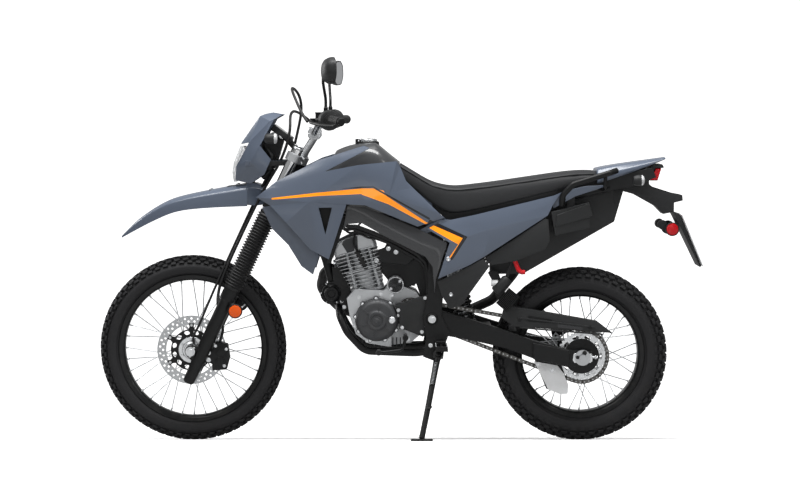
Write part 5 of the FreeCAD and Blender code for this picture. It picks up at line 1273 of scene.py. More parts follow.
def rounded_slab(low, high, corner):
    """A flat slab, in x and y, with round corners."""
    outline = []
    for cx, cy, start in ((high[0] - corner, high[1] - corner, 0), (low[0] + corner, high[1] - corner, 90),
                          (low[0] + corner, low[1] + corner, 180), (high[0] - corner, low[1] + corner, 270)):
        for k in range(CORNER_STEPS + 1):
            a = math.radians(start + 90 * k / CORNER_STEPS)
            outline.append((cx + corner * math.cos(a), cy + corner * math.sin(a)))
    return pillar(outline, low[2], high[2])


def ring_of_bolts(name, centre, axis, radius, count, size, body, start=0.0):
    """Screws evenly round a centre, the first at a start angle."""
    level, up = frame_of(Vector(axis))
    spots = []
    for k in range(count):
        a = math.radians(start) + 2 * math.pi * k / count
        spots.append((Vector(centre) + (level * math.cos(a) + up * math.sin(a)) * radius, axis, up, size))
    screws(name, 6, 5, spots, body)


def barrel():
    """The finned barrel and head, leaning to the front, with the dark cover and the plug's cap."""
    count, low, high = 11, 112.0, 262.0
    fins = []
    for k in range(count):
        share = k / (count - 1)
        front, rear, side = -62 - 30 * share, 56 + 16 * min(1, share * 1.6), 66 + 10 * share
        z = low + (high - low) / count * k
        slab = rounded_slab((front, -side, z + 0.2), (rear, side, z + 2.8), 15)
        tool = []
        # Slots in the front edge and for the bolts' wells
        for x, y in ((front, -30), (front, 0), (front, 30)):
            tool.append(turned([(z - 4, 0), (z - 4, 4.5), (z + 8, 4.5), (z + 8, 0)], Vector((x, y, 0)),
                               VERTICAL, 16))
        cut(slab, joined(*tool))
        fins.append(slab)
    fins = joined(*fins)
    fins.transform(BARREL)
    settle(fins, "cylinder_fins", CAST, "chassis", ["cylinder"], bevel=0.7, crease=40, segments=2)
    core = [turned([(104, 0), (104, 52), (264, 52), (264, 0)], ORIGIN, VERTICAL, 48),
            rounded_slab((-50, -34, 190), (34, 34, 262), 10),
            turned([(-4, 0), (-4, 25), (48, 25), (50, 23), (50, 0)], Vector((-52, 36, 215)),
                   Vector((-1, 0, 0)), 36), rounded_slab((-62, -62, 186), (60, 62, 191), 15),
            rounded_slab((-60, -60, 104), (56, 60, 112), 14)]
    for x, y in ((-44, -50), (-44, 50), (42, -50), (42, 50)):
        core.append(turned([(106, 0), (106, 8), (258, 8), (258, 0)], Vector((x, y, 0)), VERTICAL, 20))
    core = joined(*core)
    core.transform(BARREL)
    settle(core, "cylinder_core", CAST, "chassis", bevel=0.6, crease=40)
    outline = [(-88, 262), (-86, 284), (-74, 302), (-56, 313), (-20, 320), (14, 321), (44, 315), (60, 306),
               (70, 286), (72, 262)]
    rings = []
    for y, inset in ((-58, 7), (-54, 2.2), (-48, 0), (48, 0), (54, 2.2), (58, 7)):
        middle = Vector((-8, 0, 285))
        rings.append([middle + (Vector((x, 0, z)) - middle) * (1 - inset / 60) + Vector((0, y, 0))
                      for x, z in outline])
    cover = joined(ring_mesh(rings), rounded_slab((-88, -58, 258), (72, 58, 264), 12))
    cover.transform(BARREL)
    settle(cover, "head_cover", CAST, "chassis", bevel=1.4, crease=30)
    bands = []
    for y in (-58.6, 58.6):
        low, high = sorted((y, y * 0.93))
        bands.append(prism([(-40, 264), (-50, 300), (-44, 309), (-22, 315.6), (4, 316.6), (14, 314),
                            (8, 290), (2, 264)], low, high))
    bands.append(swept(rounded_path([(-85, -46, 288), (-74, -46, 305), (-54, -46, 317), (-20, -46, 324),
                                     (14, -46, 325), (46, -46, 319), (62, -46, 309), (73, -46, 290)], 20), 5,
                       14))
    bands = joined(*bands)
    bands.transform(BARREL)
    settle(bands, "head_cover_bands", ENGINE_BLACK, "chassis", bevel=1.0, crease=30)
    nut = [(-2, 0), (-2, 19), (5, 19), (8, 16), (8, 9), (6, 8), (6, 0)]
    caps = joined(turned(nut, Vector((-70, 0, 296)), Vector((-0.75, 0, 0.66)), 6),
                  turned(nut, Vector((56, 0, 300)), Vector((0.6, 0, 0.8)), 6))
    caps.transform(BARREL)
    settle(caps, "valve_caps", STEEL, "chassis", bevel=0.8, crease=35)
    spots = []
    for x, y, z in ((-74, -50, 264), (-74, 50, 264), (60, -50, 264), (60, 50, 264), (-8, -54, 264.4),
                    (-8, 54, 264.4)):
        spots.append((BARREL @ Vector((x, y, z)), BARREL.to_3x3() @ VERTICAL, (1, 0, 0), 0.95))
    screws("head_bolts", 6.5, 6, spots, "chassis")
    # The plug's rubber cap on the left, and its lead up under the tank
    tip = Vector((-131, -62, 661))
    boot = turned([(-16, 0), (-16, 8), (0, 9), (4, 13), (16, 13.5), (26, 11.5), (44, 10.5), (50, 12),
                   (58, 11), (60, 0)], tip, Vector((-0.46, -0.10, 0.88)), 28)
    settle(boot, "plug_cap", RUBBER, "chassis", crease=45)
    lead = pipe([tip + Vector((-25, -6, 50)), (-172, -70, 742), (-160, -60, 800), (-120, -30, 842)], 3.6, 30,
                12)
    settle(lead, "plug_lead", RUBBER, "chassis", crease=60)
    flange = turned([(0, 20), (0, 31), (7, 31), (9, 27), (9, 20)], Vector((-242, 36, 641)),
                    Vector((0.96, 0, 0.27)), 32, loop=True)
    settle(flange, "exhaust_flange", STEEL, "chassis", bevel=0.8, crease=40)


def crankcase():
    """The dark crankcase, with its seam, ribs, round covers and bolts."""
    dressed("engine_case", "crankcase", CAST, "chassis", 2.6, crease=22)
    at = CRANK - ACROSS * 92.3
    profile = [(0, 0), (0, 79), (3, 80), (6, 80), (9, 78), (22, 77.5), (30, 72), (35, 66), (37, 60),
               (37.5, 44), (38.5, 36), (43, 34), (44.6, 32), (44.6, 25), (43.4, 24), (41, 23.5), (41, 0)]
    settle(turned(round_profile(profile[1:-1], 2) + [(41, 0)], at, -ACROSS, 72), "generator_cover_cast",
           ENGINE_BLACK, "chassis", ["generator_cover"], crease=32)
    plug = turned([(0, 0), (0, 17), (3, 16), (3, 9), (5, 8), (5, 0)], at - ACROSS * 41, -ACROSS, 36)
    settle(plug, "generator_plug", ENGINE_BLACK, "chassis", bevel=0.6)
    ribs = []
    for k in range(6):
        a = math.radians(60 * k + 20)
        out, wise = Vector((math.cos(a), 0, math.sin(a))), Vector((-math.sin(a), 0, math.cos(a)))
        ribs.append(ring_mesh([[at + out * r + wise * w - ACROSS * y
                                for r, y in ((35, 40.4), (45, 40.4), (60, 38.8), (67, 35.4), (72, 31.4),
                                             (72, 26), (35, 34))] for w in (-1.5, 1.5)]))
    settle(joined(*ribs), "generator_ribs", ENGINE_BLACK, "chassis", bevel=0.6, crease=35)
    eye = turned([(0, 0), (0, 13), (3, 12.4), (5, 10), (5, 0)], at + Vector((56, -35, 2)), -ACROSS, 36)
    settle(eye, "timing_plug", BRIGHT, "chassis", bevel=0.5)
    lobes = []
    for k in range(9):
        a = math.radians(40 * k + 12)
        lobes.append(turned([(0, 0), (0, 9), (12, 8.4), (13, 7), (13, 0)],
                            at + Vector((math.cos(a), 0, math.sin(a))) * 79, -ACROSS, 20))
    settle(joined(*lobes), "generator_lobes", ENGINE_BLACK, "chassis", crease=35)
    ring_of_bolts("generator_bolts", at - ACROSS * 13, -ACROSS, 79, 9, 0.75, "chassis", start=12)
    at = Vector((-40, 92.3, 456))
    profile = [(0, 0), (0, 92), (4, 93), (12, 92), (22, 90), (32, 80), (38, 70), (43, 58), (44, 54),
               (44, 30), (42, 28), (42, 0)]
    settle(turned(round_profile(profile[1:-1], 2) + [(42, 0)], at, ACROSS, 72), "clutch_cover_cast",
           ENGINE_BLACK, "chassis", ["clutch_cover"], crease=32)
    ring_of_bolts("clutch_bolts", at + ACROSS * 12, ACROSS, 91, 10, 0.75, "chassis", start=8)
    dressed("sprocket_cover", "sprocket_cover_moulding", TEXTURED, "chassis", 2.4, crease=20)
    spots = [(Vector((x, -120.2, z)), -ACROSS, UP, s) for x, z, s in (
        (-6, 500, 0.7), (92, 545, 0.7), (8, 436, 0.7), (80, 420, 0.7))]
    spots += [(Vector((x, y, z)), -ACROSS, UP, s) for x, y, z, s in (
        (-31, -92.5, 552, 0.8), (-70, -92.5, 556, 0.8), (-150, -92.5, 545, 0.8), (-168, -92.5, 440, 0.8),
        (-120, -92.5, 384, 0.8), (30, -56.5, 384, 0.8))]
    screws("case_bolts", 7, 6, spots, "chassis")
    ribs = [block((-196 + 14 * k, -60, 352 + abs(k - 5)), (-192 + 14 * k, 60, 392)) for k in range(4, 16)]
    settle(joined(*ribs), "sump_ribs", ENGINE_BLACK, "chassis", bevel=0.8, crease=40)
    seam = prism([(-198.6, 540), (-186.4, 469), (-164, 406.4), (-116, 371.6), (-45, 359.6), (41, 369.4),
                  (86, 409), (90, 521), (61, 562.4), (-29, 602.6), (-60, 572.6), (-165.4, 577.4)], -5, 5)
    settle(seam, "case_seam", ENGINE_BLACK, "chassis", bevel=1.2, crease=30)
    starter = turned([(0, 0), (0, 24), (3, 31.3), (9, 31.3), (10, 30), (44, 30), (45, 31.3), (52, 31.3),
                      (54, 27), (54, 0)], Vector((-17, -52, 591)), -ACROSS, 48)
    settle(starter, "starter_motor", ENGINE_BLACK, "chassis", bevel=0.6)
    ring_of_bolts("starter_bolts", (-17, -106, 591), -ACROSS, 21, 2, 0.6, "chassis", start=40)
    small = turned([(-3.2, 0), (-3.2, 30), (-3.2, 30.4), (3.2, 30.4), (3.2, 0)],
                   FRONT_SPROCKET - ACROSS * CHAIN_Y, -ACROSS, 40)
    settle(small, "front_sprocket_disc", STEEL, "chassis", crease=35)


def fuelling():
    """The carburettor with its bowl, the intake boot with clamps, and the air box."""
    dressed("intake", "intake_box", DARK_PLASTIC, "chassis", 2.0, crease=24)
    body = [turned([(0, 0), (0, 24), (70, 24), (74, 30), (104, 31), (110, 26), (110, 0)],
                   Vector((50, 0, 624)), VERTICAL, 40),
            turned([(-40, 0), (-40, 28), (40, 28), (40, 0)], Vector((50, 0, 690)), Vector((1, 0, 0.2)), 40)]
    settle(joined(*body), "carburettor_body", CAST, "chassis", bevel=1.0, crease=35)
    bowl = rounded_slab((22, -34, 588), (82, 34, 630), 12)
    settle(bowl, "float_bowl", BRIGHT, "chassis", bevel=3.0, crease=35, segments=3)
    drain = turned([(0, 0), (0, 8), (8, 8), (10, 6), (10, 0)], Vector((50, 0, 588)), -VERTICAL, 6)
    settle(drain, "bowl_drain", BOLT, "chassis", bevel=0.5)
    spots = [(Vector((x, y, 629.5)), VERTICAL, REARWARD, 0.6) for x in (27, 77) for y in (-28, 28)]
    screws("bowl_screws", 6, 5, spots, "chassis")
    bands = []
    for x, z, way in ((-30, 699, Vector((0.98, 0, 0.22))), (104, 725, Vector((0.99, 0, 0.15))),
                      (168, 735, Vector((0.99, 0, 0.15)))):
        bands.append(turned([(-5, 26.4), (-5, 28), (5, 28), (5, 26.4)], Vector((x, 0, z)), way, 40,
                            loop=True))
    settle(joined(*bands), "intake_clamps", STEEL, "chassis", crease=35)
    stay = prism([(-99, 707), (-47, 732), (-4, 720), (58, 694), (24, 660), (-30, 668), (-74, 673)], -64, -60)
    # The two dark sheets, beside the carburettor and behind the cylinder's front, stand for the shade there:
    # painted shade.
    shade_sheet = prism([(-40, 760), (104, 708), (122, 640), (120, 520), (84, 520), (70, 560), (60, 590),
                    (20, 572), (-36, 592), (-74, 640), (-72, 694)], -44, -38)
    behind = prism([(-252, 650), (-214, 650), (-184, 585), (-178, 531), (-215, 520), (-242, 545)], -34, -28)
    settle(joined(stay, shade_sheet, behind), "head_stay", DARK_PLASTIC, "chassis", bevel=1.4)
    spots = [(Vector((x, -64, z)), -ACROSS, UP, 0.9) for x, z in ((-43, 722), (-15, 709), (-87, 678))]
    screws("head_stay_bolts", 7, 5, spots, "chassis")
    looms = [pipe([(-214, -92, 826), (-206, -92, 790), (-175, -92, 798), (-122, -92, 779), (-69, -92, 760),
                   (-24, -92, 737), (30, -92, 707), (75, -92, 680), (94, -92, 652), (101, -92, 592),
                   (101, -92, 532)], 6.5, 24, 14),
             pipe([(-214, -100, 832), (-196, -100, 806), (-160, -100, 806), (-100, -100, 784),
                   (-20, -100, 750), (60, -100, 706), (96, -100, 672), (108, -100, 600), (110, -100, 520)],
                  7.5, 24, 14), pipe([(-205, -88, 800), (-190, -88, 780), (-160, -88, 786), (-120, -88, 765),
                                      (-90, -86, 760), (-40, -84, 742), (-4, -80, 716)], 4, 20, 12)]
    flange = mirrored(prism([(-226, 845), (-196, 845), (-252, 672), (-268, 672)], -122, -118))
    settle(flange, "vent_flanges", DARK_PLASTIC, "chassis", bevel=1.0)
    settle(joined(*looms), "wiring_loom", RUBBER, "chassis", crease=60)
    cable = pipe([(60, -30, 650), (40, -52, 700), (-10, -58, 780), (-60, -50, 838)], 3.4, 40, 12)
    settle(cable, "choke_cable", RUBBER, "chassis", crease=60)


def cooler():
    """The small finned cooler ahead of the down tube, and the horn."""
    top, low = Vector((-345, 0, 800)), Vector((-290, 0, 710))
    forward, down = Vector((-0.854, 0, -0.520)), (low - top).normalized()
    long = (low - top).length
    near = 16.0
    tanks = []
    for y0, y1 in ((-92, -80), (80, 92)):
        rings = []
        for y in (y0, y1):
            rings.append([p + ACROSS * y
                          for p in (top + forward * near, top + forward * 43, low + forward * 43,
                                    low + forward * near)])
        tanks.append(ring_mesh(rings))
    settle(joined(*tanks), "cooler_tanks", ENGINE_BLACK, "chassis", ["oil_cooler"], bevel=2.0)
    rows = int(long / 11)
    tubes = []
    for k in range(rows):
        at = top + down * (long * (k + 0.5) / rows)
        rings = [[at + forward * f + down * d + ACROSS * y for f, d in (
            (near + 3, -2), (40, -2), (41, 0), (40, 2), (near + 3, 2))] for y in (-82, 82)]
        tubes.append(ring_mesh(rings))
    settle(joined(*tubes), "cooler_tubes", ENGINE_BLACK, "chassis", crease=40)
    fin = ring_mesh([[Vector((a, y, b))
                      for a, b in ((near + 4, -long / 2), (39, -long / 2), (39, long / 2),
                                   (near + 4, long / 2))] for y in (-0.35, 0.35)])
    middle = (top + low) / 2
    spots = [(middle + ACROSS * y, -down, forward, 1.0) for y in [-78 + 3.9 * k for k in range(41)]]
    repeated("cooler_fins", fin, spots, CAST, "chassis")
    horn = turned([(0, 0), (0, 30), (4, 40), (8, 42), (12, 42), (14, 40), (14, 37), (20, 35), (26, 27),
                   (29, 25), (33.8, 24), (33.8, 15), (30, 13), (30, 0)], Vector((-254, -15.9, 553)), -ACROSS,
                  56)
    settle(horn, "horn_body", POWDER, "chassis", ["horn"], crease=32)
    ring_of_bolts("horn_rivets", (-254, -28.6, 553), -ACROSS, 38.6, 6, 0.42, "chassis")


def silencer():
    """The exhaust pipe with its heat shield, and the silencer beside the rear wheel."""
    line = [(-239.8, 36, 641.8), (-282, 36, 629.9), (-300, 104, 560), (-236, 152, 486), (-110, 172, 424),
            (80, 176, 424), (230, 178, 452), (352, 186, 506), (436, 190, 610), (462, 190, 668)]
    settle(pipe(line, 18.8, 70, 32), "exhaust_pipe", EXHAUST, "chassis", ["exhaust"], crease=50)
    a, b = Vector((452, 190, 664)), Vector((790, 184, 866))
    long = (b - a).length
    can = turned([(-26, 20), (-24, 24), (-4, 44), (2, 50), (8, 51.4), (40, 51.6), (41, 50.4), (46, 50.4),
                  (47, 51.6), (long - 40, 51.6), (long - 39, 50.6), (long - 34, 50.6), (long - 33, 51.6),
                  (long - 8, 51.4), (long - 1, 48), (long, 44), (long - 3, 30), (long - 3, 22),
                  (long + 15, 22), (long + 17.8, 20.6), (long + 17.8, 18), (long - 20, 17), (long - 20, 0)],
                 a, b - a, 56)
    settle(can, "silencer_can", EXHAUST, "chassis", crease=35)
    hanger = pipe([(700, 140, 812), (700, 110, 840), (690, 84, 900)], 7, 20, 20)
    settle(hanger, "silencer_hanger", POWDER, "chassis", crease=50)
    along = (b - a).normalized()
    normal = along.cross(ACROSS)
    rings = []
    for t in range(25):
        share = t / 24
        at = a + along * (40 + 250 * share)
        wide = 60 * (1 - 0.25 * abs(2 * share - 1) ** 3)
        rings.append([at + (ACROSS * math.cos(math.radians(w)) + normal * math.sin(math.radians(w))) * r
                      for r, sign in ((53.0, 1), (55.2, -1))
                      for w in [sign * wide * k / 6 for k in range(-6, 7)]])
    settle(ring_mesh(rings), "heat_shield", POWDER, "chassis", bevel=0.6, crease=50)
    spots = [(a + along * (40 + 250 * s) + ACROSS * 55, ACROSS, along, 0.8) for s in (0.12, 0.88)]
    screws("shield_bolts", 6, 4, spots, "chassis")


# Frame and rear


PIVOT = Vector((117, 0, 469))


def tubes_of_frame():
    """The frame's tubes, plates and gussets, with a bead where they are welded."""
    plate_y, half, rail = 126, 88, 11
    tubes = [bar(on_steering(629.5), on_steering(788.5), 26.6, 48),
             pipe([(-395, 0, 968), (-180, 0, 858), (110, 0, 782)], 21.6, 90, 32),
             pipe([(-415, 0, 915), (-278, 0, 690), (-226, 0, 496)], 16.6, 120, 28),
             bar((110, -118, 782), (110, 118, 782), 14.6), bar((196, -76, 660), (196, 76, 660), 10.8),
             bar((128, -plate_y, 352), (128, plate_y, 352), 12.6),
             bar((770, -66, 944), (770, 66, 944), rail - 0.3)]
    for s in (-1, 1):
        tubes += [pipe([(-229, 0, 506), (-222, s * half * 0.7, 470), (-196, s * half, 416),
                        (-130, s * half, 345), (60, s * half, 338), (120, s * (plate_y - 8), 352)], 13.7, 60,
                       24), pipe([(110, s * 106, 782), (118, s * (plate_y - 2), 720),
                                  (124, s * plate_y, 640)], 13.7, 40, 24),
                  pipe([(110, s * 64, 782), (190, s * 76, 804), (560, s * 80, 896), (770, s * 66, 944)],
                       rail - 0.3, 60, 24), pipe([(122, s * (plate_y - 2), 650), (300, s * 96, 752),
                                                  (520, s * 80, 886)], rail - 0.3, 60, 24),
                  pipe([(128, s * (plate_y - 4), 640), (160, s * 100, 656), (200, s * 70, 660)], 8.8, 30, 20)]
    rings = [turned([(-5, 26), (-5, 31), (5, 31), (5, 26)], on_steering(at), UP, 48, loop=True)
             for at in (635, 783)]
    settle(joined(*tubes, *rings), "frame_tubes", POWDER, "chassis", ["frame"], crease=42)
    outline = [(104, 700), (150, 700), (158, 560), (152, 480), (182, 420), (164, 372), (158, 322), (120, 316),
               (84, 330), (96, 400), (84, 470), (100, 560)]
    plates = []
    for s in (-1, 1):
        low, high = sorted((s * plate_y, s * (plate_y + 7)))
        plates.append(prism(outline, low, high))
        plates.append(turned([(0, 0), (0, 22), (4, 21), (9, 19), (9, 0)],
                             PIVOT + ACROSS * (s * (plate_y + 7)), ACROSS * s, 40))
        low, high = sorted((s * 8, s * 15))
        plates.append(prism([(-240, 540), (-196.5, 540), (-188, 490), (-226, 490)], low, high))
        # A gusset under the head tube
        low, high = sorted((s * 9, s * 12.5))
        plates.append(prism([(-404, 942), (-330, 926), (-300, 900), (-330, 800), (-352, 806), (-400, 880)],
                            low, high))
    settle(joined(*plates), "frame_plates", POWDER, "chassis", bevel=1.8, crease=40)
    spots = [(PIVOT + ACROSS * (s * 142), ACROSS * s, UP, 1.5) for s in (-1, 1)]
    spots += [(Vector((x, s * 133.4, z)), ACROSS * s, UP, 0.85) for s in (-1, 1)
              for x, z in ((112, 372), (146, 344))]
    spots += [(Vector((x, s * 15.2, z)), ACROSS * s, UP, 0.8) for s in (-1, 1)
              for x, z in ((-216, 524), (-208, 500))]
    screws("frame_bolts", 7, 5, spots, "chassis")
    pivot, axis = stand_axis()
    lug = joined(bar(pivot - axis * 26, pivot - axis * 12.6, 12, 28),
                 bar(pivot - axis * 26, pivot + axis * 18.8, 6.4, 28),
                 bar(pivot + axis * 12.6, pivot + axis * 18.8, 11, 6))
    settle(lug, "stand_bolt", POWDER, "chassis", crease=40)


def rear_arm(turns):
    """The swingarm, the axle with its adjusters, the shock with its spring, and the brake."""
    dressed("swingarm", "swingarm_beam", POWDER, "chassis", 4.0, crease=22, segments=3)
    axle = turned([(-138, 0), (-138, 13), (-126, 14), (-126, 29), (-120.4, 29), (-120.4, 8.3), (-89.7, 8.3),
                   (-89.7, 15), (-84.5, 15), (-84.5, 8.3), (84.5, 8.3), (84.5, 15), (89.7, 15), (89.7, 8.3),
                   (120.4, 8.3), (120.4, 29), (126, 29), (126, 14), (138, 13), (138, 0)], REAR_AXLE, ACROSS,
                  32)
    settle(axle, "rear_axle_bar", STEEL, "chassis", ["rear_axle"], crease=38)
    nuts = [(REAR_AXLE + ACROSS * (s * 126), ACROSS * s, UP, 1.2) for s in (-1, 1)]
    screws("rear_axle_nuts", 7.4, 5.4, nuts, "chassis")
    # Two thin dark discs stand for the holes at the axle's left end: painted shade.
    hole_shades = [turned([(0, 0), (0, r), (0.8, r), (0.8, 0)], REAR_AXLE + Vector((x, -126, z)), -ACROSS, 28)
            for x, z, r in ((7, 18, 8.6), (-19, 2, 7))]
    settle(joined(*hole_shades), "rear_axle_eyes", DARK_PLASTIC, "chassis")
    plates, marks = [], []
    for s in (-1, 1):
        low, high = sorted((s * 120.2, s * 123.4))
        plates.append(prism([(636, 336), (640, 342), (700, 340), (706, 334), (706, 312), (700, 306),
                             (640, 306), (634, 314)], low, high))
        plates.append(bar((706, s * 105, 324), (728, s * 105, 324), 4.4, 16))
        marks += [(Vector((x, s * 123.4, 336.5)), ACROSS * s, (0, 0, 1), 1.0)
                  for x in (646, 652, 658, 690, 696)]
    settle(joined(*plates), "axle_adjusters", BRIGHT, "chassis", bevel=0.8, crease=35)
    tick = pillar([(-2.4, -0.6), (2.4, -0.6), (2.4, 0.6), (-2.4, 0.6)], -0.4, 0.25)
    repeated("adjuster_ticks", tick, marks, DARK_PLASTIC, "chassis")
    nuts = [(Vector((717, s * 105, 324)), (1, 0, 0), (0, 0, 1), 1.0) for s in (-1, 1)]
    screws("adjuster_nuts", 6.6, 5, nuts, "chassis")
    boxes = mirrored(prism([(488, 380), (622, 352), (622, 292), (488, 320)], -127, -96))
    settle(boxes, "swingarm_boxes", POWDER, "chassis", bevel=3.0, segments=3)
    top, foot = Vector((196, 0, 660)), Vector((256, 0, 400))
    along = (foot - top).normalized()
    long = (foot - top).length
    body = [turned([(4, 0), (4, 14), (16, 22), (24, 30), (98, 30), (100, 39), (106, 39), (108, 22),
                    (long - 40, 22), (long - 36, 38), (long - 30, 39), (long - 27, 14), (long - 6, 12),
                    (long - 6, 0)], top, along, 40), bar(top - ACROSS * 15, top + ACROSS * 15, 19.5, 36),
            bar(foot - ACROSS * 15, foot + ACROSS * 15, 13.6, 32)]
    settle(joined(*body), "shock_body", STEEL, "chassis", ["rear_shock"], crease=35)
    level, up = frame_of(along)
    count = 170
    coil = []
    for k in range(count + 1):
        share = k / count
        angle = 2 * math.pi * turns * share
        out = level * math.cos(angle) + up * math.sin(angle)
        coil.append(top + along * (110 + (long - 150) * share) + out * 33.5)
    settle(swept(coil, 5.6, 12), "shock_spring", POWDER, "chassis", crease=60)
    dressed("rear_caliper", "rear_caliper_body", POWDER, "chassis", 2.4)
    spots = [(Vector((x, y, z)), (0, 1, 0), UP, 0.6) for x, y, z in ((584, 90, 432), (630, 90, 420))]
    screws("rear_caliper_bolts", 7, 5, spots, "chassis")


def chain_points():
    """Where the pins of the chain's loop lie, and which way each link points."""
    r_small, r_big = (PITCH / (2 * math.sin(math.pi / n)) for n in (FRONT_TEETH, REAR_TEETH))
    apart = REAR_AXLE - FRONT_SPROCKET
    span = apart.length
    base = math.atan2(apart.z, apart.x)
    tilt = math.asin((r_big - r_small) / span)
    straight = span * math.cos(tilt)
    top, low = base + math.pi / 2 + tilt, base - math.pi / 2 - tilt
    arc_small, arc_big = (math.pi - 2 * tilt) * r_small, (math.pi + 2 * tilt) * r_big
    total = 2 * straight + arc_small + arc_big

    def spot(centre, radius, angle):
        return Vector((centre.x + radius * math.cos(angle), -CHAIN_Y, centre.z + radius * math.sin(angle)))

    points = []
    for k in range(LINKS):
        along = total * k / LINKS
        if along < straight:
            points.append(spot(FRONT_SPROCKET, r_small, top).lerp(spot(REAR_AXLE, r_big, top),
                                                                  along / straight))
        elif along < straight + arc_big:
            points.append(spot(REAR_AXLE, r_big, top - (along - straight) / r_big))
        elif along < 2 * straight + arc_big:
            share = (along - straight - arc_big) / straight
            points.append(spot(REAR_AXLE, r_big, low).lerp(spot(FRONT_SPROCKET, r_small, low), share))
        else:
            points.append(spot(FRONT_SPROCKET, r_small, low - (along - 2 * straight - arc_big) / r_small))
    return points


def link_plate(y0, y1):
    """A figure-of-eight side plate from pin to pin along +X."""
    outline = []
    for cx, start in ((PITCH / 2, -110), (-PITCH / 2, 70)):
        for k in range(9):
            a = math.radians(start + 220 * k / 8)
            outline.append((cx + 6.9 * math.cos(a), 6.9 * math.sin(a)))
    return prism(outline, y0, y1)


def drive_chain():
    """The chain, link by link: outer and inner plates in turn, rollers between them and pins through them."""
    points = chain_points()
    outer, inner, pins = [], [], []
    for k, here in enumerate(points):
        after = points[(k + 1) % LINKS]
        ahead = (after - here).normalized()
        spot = (here.lerp(after, 0.5), Vector((-ahead.z, 0, ahead.x)), ahead, 1.0)
        (outer if k % 2 else inner).append(spot)
        pins.append((here, Vector((-ahead.z, 0, ahead.x)), ahead, 1.0))
    wide = joined(link_plate(-8.2, -6.6), link_plate(6.6, 8.2))
    narrow = joined(link_plate(-6.3, -4.9), link_plate(4.9, 6.3))
    repeated("chain_outer_links", wide, outer, CHAIN_PLATE, "chassis", ["chain"], crease=50)
    repeated("chain_inner_links", narrow, inner, CHAIN_STEEL, "chassis", crease=50)
    roller = joined(turned([(-4.9, 0), (-4.9, 4.6), (4.9, 4.6), (4.9, 0)], ORIGIN, ACROSS, 14),
                    turned([(-8.9, 0), (-8.9, 2.4), (8.9, 2.4), (8.9, 0)], ORIGIN, ACROSS, 10))
    repeated("chain_pins", roller, pins, STEEL, "chassis", crease=40)
    dressed("chain_guards", "chain_guard", TEXTURED, "chassis", 1.4, crease=25)
    outline = [(494, 308), (580, 292.5), (604, 262), (621, 218), (618, 188), (590, 186), (546, 204)]
    plate = prism(outline, -97.4, -94.2)
    settle(plate, "chain_guide_plate", PALE_PLATE, "chassis", bevel=0.8, crease=35)
    spots = [(Vector((x, y, z)), -ACROSS, UP, 0.8) for x, y, z in (
        (440, -96.4, 462), (700, -96.4, 434), (412, -96.4, 430))]
    screws("guard_bolts", 7, 4, spots, "chassis", POWDER)
    spots = [(Vector((x, -97.6, z)), -ACROSS, UP, 0.8) for x, z in ((508, 298), (562, 276))]
    screws("guide_bolts", 7, 4, spots, "chassis")
    liner = prism([(458, 484), (606, 460), (590, 426), (458, 438)], -92, -88)
    settle(liner, "guard_liner", DARK_PLASTIC, "chassis", bevel=0.8)
    ribs = joined(prism([(430, 473), (715, 437), (715, 431), (430, 467)], -98.4, -95),
                  prism([(440, 436), (745, 411), (745, 405), (440, 430)], -98.4, -95))
    settle(ribs, "guard_ribs", TEXTURED, "chassis", bevel=1.2)
    # A near-black plate where the guard has a slot: painted shade of the opening.
    slot = prism([(580, 447), (672, 435), (672, 424), (580, 433)], -97.2, -95)
    settle(slot, "guard_slot", STRIPE, "chassis", bevel=0.2)


def stand_axis():
    """The side stand's pivot, and the axis it folds about."""
    pivot = Vector((138, -153, 338))
    down = Vector((78, -300, 300 * math.tan(LEAN)))
    folded = pivot + Vector((0.9985, -0.05, 0.05)).normalized() * (down - pivot).length
    axis = (down - pivot).normalized().cross((folded - pivot).normalized()).normalized()
    return pivot, axis


def stand():
    """The side stand with its foot, its tang and its return spring."""
    pivot, axis = stand_axis()
    foot = Vector((78, -300, 300 * math.tan(LEAN)))
    down = Vector((0, -math.sin(LEAN), -math.cos(LEAN)))
    along = (foot - pivot).normalized()
    end = foot - down * 9
    leg = swept([pivot + along * 8, pivot + along * 60, pivot + along * 200, end - along * 4, end],
                [13, 11.4, 10.6, 10.6, 10.2], 28)
    eye = turned([(-11.8, 6.7), (-11.8, 16), (-10.4, 17.2), (10.4, 17.2), (11.8, 16), (11.8, 6.7)], pivot,
                 axis, 40, loop=True)
    mid = pivot.lerp(foot, 0.62)
    tang = swept([mid, mid + Vector((6, -26, 4)), mid + Vector((10, -46, 12))], 4.6, 16)
    settle(joined(leg, eye, tang), "side_stand_leg", POWDER, "stand", ["side_stand"], crease=45)
    pad = rounded_slab((-40, -26, 0), (40, 26, 7.9), 14)
    pad.transform(Matrix.Translation(foot) @ Matrix.Rotation(-LEAN, 4, "X"))
    settle(pad, "side_stand_foot", POWDER, "stand", bevel=1.6, crease=40)
    start, stop = pivot + along * 34 + axis * 15.5, pivot + along * 118 + axis * 14
    way = (stop - start).normalized()
    level, up = frame_of(way)
    coil = []
    for k in range(161):
        out = level * math.cos(k * 0.62) + up * math.sin(k * 0.62)
        coil.append(start + way * (k / 160 * (stop - start).length) + out * 5.4)
    settle(swept(coil, 1.25, 8), "side_stand_spring", STEEL, "stand", crease=60)
    hooks = joined(bar(start - axis * 8, start + axis * 2, 3.4, 16),
                   bar(stop - axis * 6, stop + axis * 2, 3.4, 16))
    settle(hooks, "side_stand_hooks", POWDER, "stand", crease=40)


